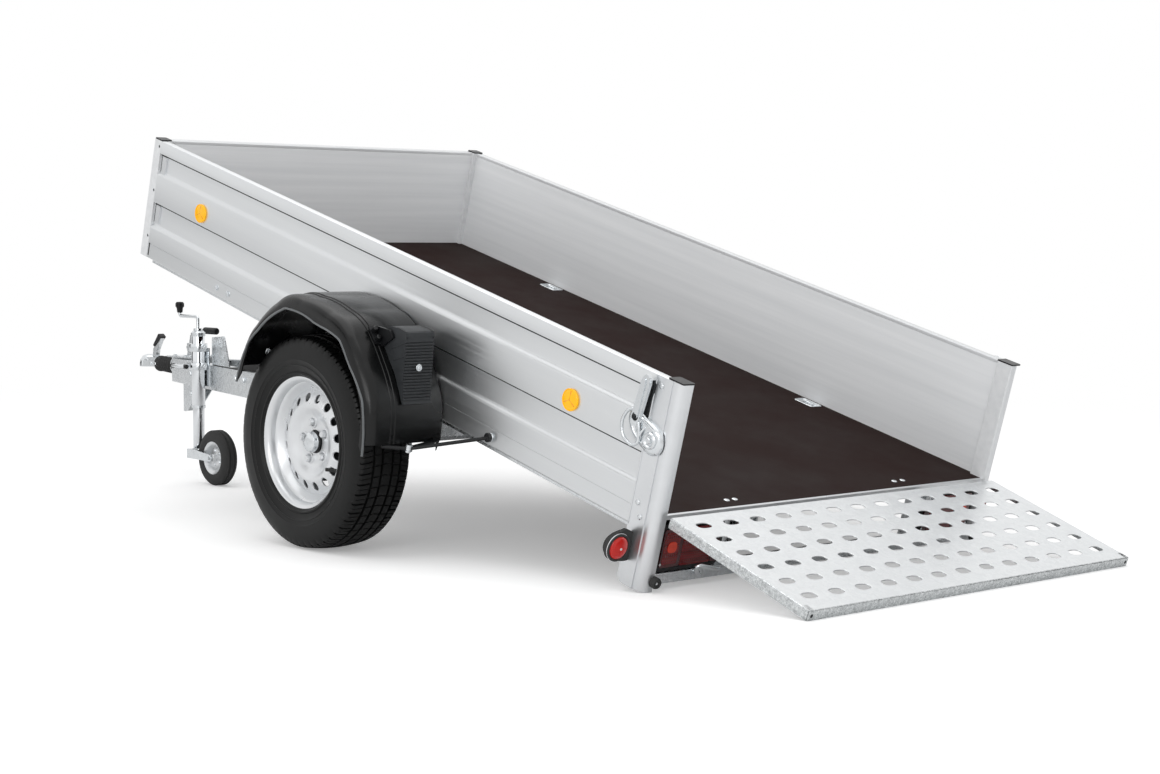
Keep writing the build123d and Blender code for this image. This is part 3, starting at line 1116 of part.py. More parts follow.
# ---------------------------------------------------------------- jockey wheel
def jockey_clamp():
    """Clamp that holds the jockey leg's outer tube on the left arm, with its T-handle."""
    x, y = JOCKEY_X, JOCKEY_Y
    rear, front = x - CLAMP_HALF_LENGTH, x + CLAMP_HALF_LENGTH
    foot = ARM_BOTTOM_Z + CLAMP_FOOT
    clamp = bar(rear, front, arm_y(rear), y - JOCKEY_TUBE_RADIUS, foot, ARM_TOP_Z + CLAMP_RISE)
    clamp += plan_plate(((rear, arm_y(rear)), (front, arm_y(front)), (front, arm_y(rear))), foot, ARM_TOP_Z)
    tab_rear, tab_front, tab_half = CLAMP_TAB
    for low, high in CLAMP_RINGS:
        clamp += upright(JOCKEY_TUBE_RADIUS + CLAMP_COLLAR, x, y, ARM_TOP_Z + low, ARM_TOP_Z + high)
        clamp += bar(x + tab_rear, x + tab_front, y - tab_half, y + tab_half, ARM_TOP_Z + low,
                     ARM_TOP_Z + high)
    clamp -= upright(JOCKEY_TUBE_RADIUS, x, y, 0, JOCKEY_TUBE_TOP)
    clamp -= plan_plate(arm_band(ARM_FLANGE), ARM_BOTTOM_Z, ARM_TOP_Z)
    ahead, out, drop = CLAMP_SCREW
    screw_z = ARM_TOP_Z - drop
    handle_rear, handle_front = CLAMP_HANDLE
    clamp += across(CLAMP_SCREW_RADIUS, x + ahead, screw_z, y, y + out)
    return clamp + along(CLAMP_SCREW_RADIUS, y + out + CLAMP_SCREW_RADIUS / 2, screw_z, x + handle_rear,
                         x + handle_front)


def jockey_outer_tube():
    """Outer tube of the jockey leg, closed at its top, open below."""
    tube = upright(JOCKEY_TUBE_RADIUS, JOCKEY_X, JOCKEY_Y, JOCKEY_TUBE_BOTTOM, JOCKEY_TUBE_TOP)
    return tube - upright(JOCKEY_TUBE_RADIUS - JOCKEY_TUBE_WALL, JOCKEY_X, JOCKEY_Y, JOCKEY_TUBE_BOTTOM - 1,
                          JOCKEY_TUBE_TOP - JOCKEY_TUBE_ROOF)


def jockey_crank():
    """Crank on top of the jockey leg, with its grip."""
    x, y, z = JOCKEY_X, JOCKEY_Y, JOCKEY_TUBE_TOP
    tip = x + CRANK_REACH
    high = z + CRANK_RISE
    crank = upright(CRANK_HUB_RADIUS, x, y, z, z + CRANK_HUB_RADIUS)
    crank += rod([(x, y, z + CRANK_RADIUS), (x, y, high), (tip, y, high), (tip, y, high + CRANK_HUB_RADIUS)],
                 CRANK_RADIUS, CRANK_BEND)
    grip_z = high + 2 * CRANK_RADIUS
    grip = upright(CRANK_GRIP_RADIUS, tip, y, grip_z, grip_z + CRANK_GRIP_LENGTH)
    return crank, fillet(grip.edges(), SMALL_ROUND) - crank


def jockey_leg():
    """Inner tube of the jockey leg, with its swivel pin and the washer that holds the fork."""
    x, y = JOCKEY_X, JOCKEY_Y
    radius = JOCKEY_TUBE_RADIUS - JOCKEY_TUBE_WALL - JOCKEY_LEG_CLEARANCE
    under = JOCKEY_FORK_TOP - FORK_TOP_PLATE - 1
    leg = upright(radius, x, y, JOCKEY_FORK_TOP + 1, JOCKEY_TUBE_BOTTOM + JOCKEY_LEG_LAP)
    leg += upright(SWIVEL_RADIUS, x, y, under - SWIVEL_WASHER, JOCKEY_FORK_TOP + 2)
    return leg + upright(SWIVEL_WASHER_RADIUS, x, y, under - SWIVEL_WASHER, under)


def jockey_fork():
    """Swivelling fork that trails behind the leg and holds the wheel axle."""
    x, y, z = JOCKEY_WHEEL_X, JOCKEY_Y, JOCKEY_WHEEL_RADIUS
    top = JOCKEY_FORK_TOP
    inner = JOCKEY_WHEEL_WIDTH / 2 + FORK_GAP
    outer = inner + FORK_PLATE
    front = JOCKEY_X + FORK_FRONT
    eye = 2 * JOCKEY_AXLE_RADIUS
    outline = ((front, top), (front, top - FORK_CHEEK), (x - eye / 2, z - eye), (x - eye, z),
               (x - eye / 2, z + eye), (JOCKEY_X - FORK_FRONT, top))
    fork = side_plate(outline, y + inner, y + outer)
    fork += side_plate(outline, y - outer, y - inner)
    fork += bar(JOCKEY_X, front, y - outer, y + outer, top - FORK_TOP_PLATE, top)
    fork += upright(JOCKEY_TUBE_RADIUS - JOCKEY_TUBE_WALL, JOCKEY_X, y, top - FORK_TOP_PLATE, top)
    fork -= upright(SWIVEL_RADIUS + RUNNING_FIT, JOCKEY_X, y, top - 2 * FORK_TOP_PLATE, top + 1)
    proud = JOCKEY_AXLE_PROUD
    return fork + across(JOCKEY_AXLE_RADIUS, x, z, y - outer - proud, y + outer + proud)


def jockey_wheel():
    """Solid rubber tyre and its steel centre."""
    half = JOCKEY_WHEEL_WIDTH / 2
    hollow = JOCKEY_RIM_RADIUS - JOCKEY_RIM_WALL
    web = JOCKEY_RIM_WALL
    tyre_ring = across(JOCKEY_WHEEL_RADIUS, 0, 0, -half, half)
    tyre_ring = fillet(tyre_ring.edges(), JOCKEY_TYRE_ROUND)
    tyre_ring -= across(JOCKEY_RIM_RADIUS, 0, 0, -half - 1, half + 1)
    centre = across(JOCKEY_RIM_RADIUS, 0, 0, web - 1 - half, half - web + 1)
    centre -= across(hollow, 0, 0, -half, -web)
    centre -= across(hollow, 0, 0, web, half)
    centre += across(JOCKEY_HUB_RADIUS, 0, 0, -half - 2, half + 2)
    centre -= across(JOCKEY_AXLE_RADIUS + RUNNING_FIT, 0, 0, -2 * half, 2 * half)
    place = Pos(JOCKEY_WHEEL_X, JOCKEY_Y, JOCKEY_WHEEL_RADIUS)
    return place * tyre_ring, place * centre


# ---------------------------------------------------------------- build
def pair(name, place, shape):
    """Write the left piece and its mirror image."""
    save(f"{name}_left", place * shape)
    save(f"{name}_right", place * mirrored(shape))


def build_bed():
    """Write the pieces of the tilted box and the ramp behind it."""
    pair("side_wall", BED, side_wall())
    save("front_wall", BED * front_wall())
    save("front_posts", BED * both(front_post()))
    pair("rear_post", BED, rear_post())
    save("post_caps", BED * post_caps())
    save("floor_panel", BED * floor_panel())
    save("lashing_rings", BED * lashing_rings())
    save("bed_rails", BED * bed_rails())
    save("crossmembers", BED * crossmembers())
    save("tilt_ears", BED * tilt_ears())
    save("rear_sill", BED * rear_sill())
    save("light_bar", BED * light_bar())
    save("ramp_brackets", BED * ramp_brackets())
    pair("lamp_cluster", BED, lamp_cluster())
    pair("outline_lamp", BED, outline_lamp())
    save("side_reflectors", BED * side_reflectors())
    pair("post_latch", BED, post_latch())
    save("feet_buffers", BED * feet_buffers())
    save("ramp_hooks", BED * ramp_hooks())
    pair("mudguard", BED, mudguard())
    save("guard_stays", BED * both(guard_stay()))
    save("wheel_chocks", BED * both(wheel_chock()))
    save("ramp_panel", RAMP * ramp_panel())


def build_chassis():
    """Write the pieces of the chassis with its road wheels and jockey wheel."""
    pair("drawbar_arm", HOME, drawbar_arm())
    save("chassis_ties", HOME * chassis_ties())
    save("axle_beam", HOME * axle_beam())
    pair("swing_arm", HOME, swing_arm())
    pair("tyre", HOME, tyre())
    pair("rim", HOME, rim())
    pair("hub", HOME, hub())
    save("overrun_housing", HOME * overrun_housing())
    save("coupling_head", HOME * coupling_head())
    save("coupling_lever", HOME * coupling_lever())
    save("bellows", HOME * bellows())
    lever, grip = handbrake()
    save("handbrake_lever", HOME * lever)
    save("handbrake_grip", HOME * grip)
    save("skid_plate", HOME * skid_plate())
    save("brake_rod", HOME * brake_rod())
    save("stop_brackets", HOME * stop_brackets())
    save("rest_pads", HOME * rest_pads())
    save("jockey_clamp", HOME * jockey_clamp())
    save("jockey_outer_tube", HOME * jockey_outer_tube())
    crank, crank_grip = jockey_crank()
    save("jockey_crank", HOME * crank)
    save("jockey_crank_grip", HOME * crank_grip)
    save("jockey_leg", HOME * jockey_leg())
    save("jockey_fork", HOME * jockey_fork())
    jockey_tyre, jockey_rim = jockey_wheel()
    save("jockey_tyre", HOME * jockey_tyre)
    save("jockey_rim", HOME * jockey_rim)


build_bed()
build_chassis()
print(f"tilt {TILT:.3f} deg, ramp fall {RAMP_FALL:.3f} deg")
print(f"axle at x {HOME.position.X:.3f}; ramp pin {RAMP.position.X:.3f}, {RAMP.position.Z:.3f}")
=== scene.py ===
"""Dresses a tilting single-axle box trailer: its finishes, fine shapes, fasteners and studio.

Every length is in metres. The bed is drawn level in its own frame (u forward from the rear
end of the box, y left, w up from the floor surface), the ramp from its hinge pin, and the
chassis from the ground under the wheel axle.
"""
import json
import logging
import math
from dataclasses import dataclass
from enum import Enum
from typing import Any, Callable, Iterable, Sequence

import bmesh
import bpy
from mathutils import Matrix, Vector


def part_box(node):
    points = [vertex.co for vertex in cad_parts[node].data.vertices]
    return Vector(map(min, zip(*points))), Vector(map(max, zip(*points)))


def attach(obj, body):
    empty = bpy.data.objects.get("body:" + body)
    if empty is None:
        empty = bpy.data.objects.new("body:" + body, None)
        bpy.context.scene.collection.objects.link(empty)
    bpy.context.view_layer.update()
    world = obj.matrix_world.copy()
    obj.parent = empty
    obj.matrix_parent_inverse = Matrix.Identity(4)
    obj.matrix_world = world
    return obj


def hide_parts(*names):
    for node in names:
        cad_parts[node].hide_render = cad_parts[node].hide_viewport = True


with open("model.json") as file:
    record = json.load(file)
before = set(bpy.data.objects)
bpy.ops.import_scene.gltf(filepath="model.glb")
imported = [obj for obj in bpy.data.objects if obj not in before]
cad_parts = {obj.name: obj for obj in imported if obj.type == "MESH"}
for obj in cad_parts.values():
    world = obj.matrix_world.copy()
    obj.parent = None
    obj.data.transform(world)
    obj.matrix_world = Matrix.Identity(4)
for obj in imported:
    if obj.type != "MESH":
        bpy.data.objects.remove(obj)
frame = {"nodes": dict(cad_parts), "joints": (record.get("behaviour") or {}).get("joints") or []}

LOG = logging.getLogger("trailer")
MM = 0.001

Pair = tuple[float, float]
Triple = tuple[float, float, float]
Points = Sequence[Sequence[float]]
Tree = bpy.types.NodeTree
Node = bpy.types.Node
Socket = bpy.types.NodeSocket

RAMP_REACH = 0.483      # from the ramp's pin to its far edge
RAMP_DROP = 0.013       # from the pin down to the edge that rests on the ground
SAME_PLACE = 1e-6       # points nearer than this are one point
CAD_WELD = 1e-5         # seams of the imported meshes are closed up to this
CAD_BEVEL = 0.8 * MM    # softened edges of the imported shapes
BEVEL_ANGLE = 40        # edges sharper than this, in degrees, are softened
COAT_ROUGHNESS = 0.08   # gloss of every clear coat


# ---- places
class Axis(Enum):
    """Direction along which a section is drawn out, or about which it is turned."""

    X = 0
    Y = 1
    Z = 2


class Body(Enum):
    """Moving bodies of the trailer that pieces ride on."""

    CHASSIS = "chassis"
    BED = "bed"
    RAMP = "ramp"
    WHEEL_LEFT = "wheel_left"
    WHEEL_RIGHT = "wheel_right"
    JOCKEY_ROLLER = "jockey_roller"


def spread(axis: Axis, along: float, first: float, second: float) -> Vector:
    """Return a point from its place along an axis and its two coordinates across it.

    Args:
        axis: Axis that the first number runs along.
        along: Place along that axis.
        first: Coordinate on the first of the other two axes, in x, y, z order.
        second: Coordinate on the second of them.

    Returns:
        The point.
    """
    coordinates = [first, second]
    coordinates.insert(axis.value, along)
    return Vector(coordinates)


def joint(name: str) -> dict[str, Any]:
    """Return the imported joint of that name."""
    return next(found for found in frame["joints"] if found["name"] == name)


@dataclass(frozen=True)
class Layout:
    """Places of the tilted bed, the lowered ramp and the chassis in the model's frame."""

    bed: Matrix
    ramp: Matrix
    chassis: Matrix
    tilt: float

    @classmethod
    def from_frame(cls) -> "Layout":
        """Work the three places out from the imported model's boxes and joints.

        Returns:
            The layout.
        """
        tilt = math.radians(joint("bed_tilt")["range_deg"][1])
        low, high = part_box("floor_panel")
        run, rise = high.x - low.x, high.z - low.z
        cosine, sine = math.cos(tilt), math.sin(tilt)
        floor_thickness = (rise * cosine - run * sine) / math.cos(2 * tilt)
        rear_floor = Vector((low.x, 0, low.z + floor_thickness * cosine))
        pin = Vector(joint("ramp_fold")["pos_m"])
        fall = math.asin(pin.z / math.hypot(RAMP_REACH, RAMP_DROP)) - math.atan2(RAMP_DROP, RAMP_REACH)
        hub_low, hub_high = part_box("hub_left")
        axle_x = (hub_low.x + hub_high.x) / 2
        return cls(
            bed=Matrix.Translation(rear_floor) @ Matrix.Rotation(-tilt, 4, "Y"),
            ramp=Matrix.Translation(pin) @ Matrix.Rotation(-fall, 4, "Y"),
            chassis=Matrix.Translation((axle_x, 0, 0)),
            tilt=tilt,
        )

    def of(self, body: Body) -> Matrix:
        """Return the place of the frame that a body's pieces are drawn in."""
        return {Body.BED: self.bed, Body.RAMP: self.ramp}.get(body, self.chassis)


# ---- outlines
def arc(centre: Pair, radius: float, start: float, end: float, steps: int) -> list[Pair]:
    """Return points on an arc.

    Args:
        centre: Centre of the arc.
        radius: Its radius.
        start: Angle of its first point, in degrees.
        end: Angle of its last point, in degrees.
        steps: Number of spans.

    Returns:
        The points, both ends included.
    """
    angles = [math.radians(start + (end - start) * i / steps) for i in range(steps + 1)]
    return [(centre[0] + radius * math.cos(a), centre[1] + radius * math.sin(a)) for a in angles]


def rounded(corners: Points, radius: float, closed: bool = True,
            steps: int = 4) -> list[tuple[float, ...]]:
    """Round the corners of an outline or a path with curves that touch both sides.

    Args:
        corners: Corner points, of two or three coordinates.
        radius: How far from each corner its curve starts, limited by the sides' lengths.
        closed: Whether the last corner joins the first.
        steps: Spans of each curve.

    Returns:
        The rounded outline.
    """
    points = [Vector(corner) for corner in corners]
    count = len(points)
    result: list[tuple[float, ...]] = []
    for i, corner in enumerate(points):
        if not closed and i in (0, count - 1):
            result.append(tuple(corner))
            continue
        before, after = points[i - 1], points[(i + 1) % count]
        reach = min(radius, 0.49 * (before - corner).length, 0.49 * (after - corner).length)
        start = corner + (before - corner).normalized() * reach
        end = corner + (after - corner).normalized() * reach
        for step in range(steps + 1):
            share = step / steps
            blend = start.lerp(corner, share).lerp(corner.lerp(end, share), share)
            result.append(tuple(blend))
    return result


def rectangle(low: Pair, high: Pair, radius: float = 0.0) -> list[tuple[float, ...]]:
    """Return a rectangle between two corners.

    Args:
        low: Its lowest corner.
        high: Its highest corner.
        radius: Rounding of its corners.

    Returns:
        The outline.
    """
    corners = [low, (high[0], low[1]), high, (low[0], high[1])]
    return rounded(corners, radius) if radius else corners


def circle(centre: Pair, radius: float, steps: int = 24) -> list[Pair]:
    """Return a circle's points."""
    return arc(centre, radius, 0, 360 * (1 - 1 / steps), steps - 1)


# ---- meshes
class Shape:
    """A mesh built up from sections in one frame, each part with its own finish."""

    def __init__(self) -> None:
        """Start an empty mesh."""
        self.mesh = bmesh.new()
        self.finishes: list["Finish"] = []

    def _dress(self, faces: Iterable[bmesh.types.BMFace], finish: "Finish") -> None:
        """Give faces a finish.

        Args:
            faces: Faces of this mesh.
            finish: Finish that they get.
        """
        if finish not in self.finishes:
            self.finishes.append(finish)
        index = self.finishes.index(finish)
        for face in faces:
            face.material_index = index

    def prism(self, outline: Points, axis: Axis, low: float, high: float,
              finish: "Finish") -> None:
        """Draw a closed outline out along an axis.

        Args:
            outline: Points across the axis, in x, y, z order.
            axis: Direction of the draw.
            low: Its first end.
            high: Its last end.
            finish: Finish of the faces.
        """
        ends = [[self.mesh.verts.new(spread(axis, at, *point)) for point in outline] for at in (low, high)]
        count = len(outline)
        faces = [self.mesh.faces.new((ends[0][i], ends[0][(i + 1) % count], ends[1][(i + 1) % count], ends[1][i]))
                 for i in range(count)]
        faces += [self.mesh.faces.new(ends[0]), self.mesh.faces.new(ends[1])]
        self._dress(faces, finish)

    def block(self, low: Triple, high: Triple, finish: "Finish", radius: float = 0.0,
              axis: Axis = Axis.Z) -> None:
        """Add a block between two corners.

        Args:
            low: Its lowest corner.
            high: Its highest corner.
            finish: Finish of the faces.
            radius: Rounding of the edges that run along the axis.
            axis: Axis that those edges follow.
        """
        across = [i for i in range(3) if i != axis.value]
        outline = rectangle((low[across[0]], low[across[1]]), (high[across[0]], high[across[1]]), radius)
        self.prism(outline, axis, low[axis.value], high[axis.value], finish)

    def lathe(self, profile: Sequence[Pair], axis: Axis, centre: Sequence[float], finish: "Finish",
              steps: int = 32, closed: bool = False, turn: float = 0.0) -> None:
        """Turn a profile about an axis.

        Args:
            profile: Points of (radius, place along the axis from the centre).
            axis: Axis of the turn.
            centre: Point that the axis passes through.
            finish: Finish of the faces.
            steps: Number of faces round the turn.
            closed: Whether the profile's last point joins its first.
            turn: Angle of the first point, in radians.
        """
        rings = []
        for radius, along in profile:
            if radius < 1e-7:
                rings.append([self.mesh.verts.new(spread(axis, along, 0, 0) + Vector(centre))])
                continue
            ring = []
            for i in range(steps):
                angle = turn + 2 * math.pi * i / steps
                point = spread(axis, along, radius * math.cos(angle), radius * math.sin(angle))
                ring.append(self.mesh.verts.new(point + Vector(centre)))
            rings.append(ring)
        faces = []
        for first, second in zip(rings, rings[1:] + (rings[:1] if closed else [])):
            for i in range(steps):
                corners = [first[i % len(first)], first[(i + 1) % steps % len(first)],
                           second[(i + 1) % steps % len(second)], second[i % len(second)]]
                unique = list(dict.fromkeys(corners))
                if len(unique) > 2:
                    faces.append(self.mesh.faces.new(unique))
        self._dress(faces, finish)

    def disc(self, radius: float, axis: Axis, centre: Sequence[float], low: float, high: float,
             finish: "Finish", edge: float = 0.001, steps: int = 32) -> None:
        """Add a round bar or disc.

        Args:
            radius: Its radius.
            axis: Axis that it lies along.
            centre: Point that the axis passes through.
            low: Its first end, from the centre.
            high: Its last end.
            finish: Finish of the faces.
            edge: Width of the softened edges.
            steps: Number of faces round it.
        """
        side = math.copysign(edge, high - low)
        profile = [(0, low), (radius - edge, low), (radius, low + side), (radius, high - side),
                   (radius - edge, high), (0, high)]
        self.lathe(profile, axis, centre, finish, steps)

    def ring(self, outer: float, inner: float, axis: Axis, centre: Sequence[float], low: float, high: float,
             finish: "Finish", edge: float = 0.001, steps: int = 32) -> None:
        """Add a ring or tube.

        Args:
            outer: Its outer radius.
            inner: Its inner radius.
            axis: Axis that it lies along.
            centre: Point that the axis passes through.
            low: Its first end, from the centre.
            high: Its last end.
            finish: Finish of the faces.
            edge: Width of the softened edges.
            steps: Number of faces round it.
        """
        side = math.copysign(edge, high - low)
        profile = [(inner, low + side), (inner + edge, low), (outer - edge, low), (outer, low + side),
                   (outer, high - side), (outer - edge, high), (inner + edge, high), (inner, high - side)]
        self.lathe(profile, axis, centre, finish, steps, closed=True)

    def rod(self, corners: Points, radius: float, finish: "Finish", bend: float = 0.0,
            sides: int = 12, flat: float = 1.0, loop: bool = False) -> None:
        """Sweep a round or flattened bar along a bent path.

        Args:
            corners: Corners of the path.
            radius: Radius of the bar.
            finish: Finish of the faces.
            bend: How far from each corner its bend starts.
            sides: Faces round the bar.
            flat: Thickness of the bar over its width, 1 for a round one.
            loop: Whether the path closes on itself.
        """
        path = [Vector(p) for p in (rounded(corners, bend, loop, 6) if bend else corners)]
        path = [point for i, point in enumerate(path) if i == 0 or (point - path[i - 1]).length > SAME_PLACE]
        if loop and (path[0] - path[-1]).length < SAME_PLACE:
            path.pop()
        count = len(path)
        first = path[1] - path[0]
        side = first.orthogonal().normalized()
        if abs(first.normalized().z) < 0.9:
            side = first.cross(Vector((0, 0, 1))).normalized()
        rings = []
        for i, point in enumerate(path):
            ahead = path[(i + 1) % count] if loop or i + 1 < count else point
            behind = path[i - 1] if loop or i else point
            tangent = (ahead - behind).normalized()
            side = (side - tangent * side.dot(tangent)).normalized()
            lift = tangent.cross(side)
            ring = []
            for k in range(sides):
                angle = 2 * math.pi * k / sides
                offset = side * radius * math.cos(angle) + lift * radius * flat * math.sin(angle)
                ring.append(self.mesh.verts.new(point + offset))
            rings.append(ring)
        faces = []
        for one, two in zip(rings, rings[1:] + (rings[:1] if loop else [])):
            faces += [self.mesh.faces.new((one[k], one[(k + 1) % sides], two[(k + 1) % sides], two[k]))
                      for k in range(sides)]
        if not loop:
            faces += [self.mesh.faces.new(rings[0]), self.mesh.faces.new(rings[-1])]
        self._dress(faces, finish)

    def grid(self, rows: Sequence[Points], finish: "Finish", close_rows: bool = False,
             close_columns: bool = False) -> None:
        """Join rows of points into a sheet.

        Args:
            rows: Rows of points, all of one length.
            finish: Finish of the faces.
            close_rows: Whether each row's last point joins its first.
            close_columns: Whether the last row joins the first.
        """
        made = [[self.mesh.verts.new(point) for point in row] for row in rows]
        width = len(made[0])
        faces = []
        for one, two in zip(made, made[1:] + (made[:1] if close_columns else [])):
            for k in range(width if close_rows else width - 1):
                faces.append(self.mesh.faces.new((one[k], one[(k + 1) % width], two[(k + 1) % width], two[k])))
        self._dress(faces, finish)

    def bolt(self, centre: Triple, axis: Axis, side: int, radius: float, finish: "Finish",
             washer: bool = True) -> None:
        """Add a hexagon bolt head on its washer.

        Args:
            centre: Centre of the seat that the washer lies on.
            axis: Axis of the bolt.
            side: 1 or -1, the way that the head faces.
            radius: Corner radius of the head.
            finish: Finish of the bolt.
            washer: Whether a washer lies under the head.
        """
        seat = 0.12 * radius if washer else 0.0
        if washer:
            self.disc(1.45 * radius, axis, centre, 0, side * seat * 2, finish, edge=0.08 * radius, steps=20)
        top = side * (seat + 0.8 * radius)
        rim = [(0, 0), (radius, 0), (radius, top - side * 0.16 * radius), (0.84 * radius, top), (0, top)]
        self.lathe(rim, axis, centre, finish, steps=6, turn=0.3)

    def dome(self, centre: Triple, axis: Axis, side: int, radius: float, finish: "Finish",
             rise: float = 0.45) -> None:
        """Add a domed rivet or coach bolt head.

        Args:
            centre: Centre of its seat.
            axis: Axis of the rivet.
            side: 1 or -1, the way that it faces.
            radius: Radius of the head.
            finish: Finish of the head.
            rise: Height of the dome as a share of its radius.
        """
        profile = [(0.0, 0.0)]
        for i in range(6):
            angle = math.radians(18 * i)
            profile.append((radius * math.cos(angle), side * rise * radius * (0.15 + 0.85 * math.sin(angle))))
        self.lathe(profile[:-1] + [(0.0, side * rise * radius)], axis, centre, finish, steps=20)

    def cap(self, points: Iterable[Sequence[float]], finish: "Finish") -> None:
        """Add one face over a ring of points."""
        self._dress([self.mesh.faces.new([self.mesh.verts.new(point) for point in points])], finish)

    def mirrored(self) -> "Shape":
        """Return the same shape on the right-hand side.

        Returns:
            The mirrored copy.
        """
        other = Shape()
        other.absorb(self, Matrix.Scale(-1, 4, (0, 1, 0)))
        return other

    def absorb(self, other: "Shape", place: Matrix | None = None) -> None:
        """Add a copy of another shape.

        Args:
            other: Shape to copy.
            place: Matrix that moves the copy, none to leave it where it is.
        """
        copied: dict[bmesh.types.BMVert, bmesh.types.BMVert] = {}
        for vertex in other.mesh.verts:
            copied[vertex] = self.mesh.verts.new(place @ vertex.co if place else vertex.co)
        for face in other.mesh.faces:
            made = self.mesh.faces.new([copied[vertex] for vertex in face.verts])
            self._dress([made], other.finishes[face.material_index])

    def seat_pair(self, name: str, node: str, slot: str, bevel: float, smooth_angle: float = 38.0) -> None:
        """Seat this left-hand shape on the bed, and its mirror image on the right.

        Args:
            name: Name of both pieces, without the side.
            node: CAD node that each replaces, without the side.
            slot: Material slot of the record.
            bevel: Width of the softened edges.
            smooth_angle: Edges sharper than this, in degrees, stay sharp.
        """
        right = self.mirrored()
        for side, shape in (("left", self), ("right", right)):
            shape.seat(f"{name}_{side}", Body.BED, bevel=bevel, stands_for=[f"{node}_{side}"], slot=slot,
                       smooth_angle=smooth_angle)

    def seat(self, name: str, body: Body, place: Matrix | None = None, bevel: float = 0.0006,
             stands_for: Sequence[str] = (), slot: str = "", smooth_angle: float = 38.0) -> None:
        """Turn the shape into a piece in the model's frame that rides on a body.

        Args:
            name: Name of the piece.
            body: Body that it rides on.
            place: Matrix from the shape's own frame to the model's, by default the body's.
            bevel: Width of the softened edges.
            stands_for: CAD nodes that the piece replaces.
            slot: Material slot of the record; not used.
            smooth_angle: Edges sharper than this, in degrees, stay sharp.
        """
        bmesh.ops.remove_doubles(self.mesh, verts=self.mesh.verts, dist=SAME_PLACE)
        bmesh.ops.recalc_face_normals(self.mesh, faces=self.mesh.faces)
        bmesh.ops.transform(self.mesh, matrix=place or LAYOUT.of(body), verts=self.mesh.verts)
        data = bpy.data.meshes.new(name)
        self.mesh.to_mesh(data)
        self.mesh.free()
        for finish in self.finishes:
            data.materials.append(finish.material())
        piece = bpy.data.objects.new(name, data)
        bpy.context.scene.collection.objects.link(piece)
        data.shade_smooth()
        data.set_sharp_from_angle(angle=math.radians(smooth_angle))
        if bevel:
            soften(piece, bevel)
        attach(piece, body.value)
        if stands_for:
            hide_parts(*stands_for)
        LOG.info("%s: %d faces on %s", name, len(data.polygons), body.value)


def soften(piece: bpy.types.Object, width: float) -> None:
    """Round the hard edges of a piece with a small bevel.

    Args:
        piece: Object whose edges are rounded.
        width: Width of the bevel.
    """
    bevel = piece.modifiers.new("edges", "BEVEL")
    bevel.width = width
    bevel.segments = 2
    bevel.limit_method = "ANGLE"
    bevel.angle_limit = math.radians(BEVEL_ANGLE)
    bevel.harden_normals = True


# ---- finishes
def linear(colour: str) -> tuple[float, float, float, float]:
    """Turn an sRGB hex value into a linear colour.

    Args:
        colour: Hex value with its hash sign.

    Returns:
        Red, green, blue and an alpha of 1.
    """
    channels = [int(colour[i:i + 2], 16) / 255 for i in (1, 3, 5)]
    return (*[c / 12.92 if c <= 0.04045 else ((c + 0.055) / 1.055) ** 2.4 for c in channels], 1.0)


def add_node(tree: Tree, kind: str, settings: dict[str, Any] | None = None,
             inputs: dict[str | int, Any] | None = None) -> Node:
    """Add a node with its settings and links.

    Args:
        tree: Node tree to add it to.
        kind: Type of the node.
        settings: Properties of the node.
        inputs: Values of its sockets, or the sockets that are linked to them.

    Returns:
        The new node.
    """
    node = tree.nodes.new(kind)
    for key, value in (settings or {}).items():
        setattr(node, key, value)
    for key, value in (inputs or {}).items():
        if isinstance(value, Socket):
            tree.links.new(value, node.inputs[key])
        else:
            node.inputs[key].default_value = value
    return node


class Mix(Enum):
    """Sockets of the mix node when it mixes colours."""

    FACTOR = 0
    FIRST = 6
    SECOND = 7
    RESULT = 2


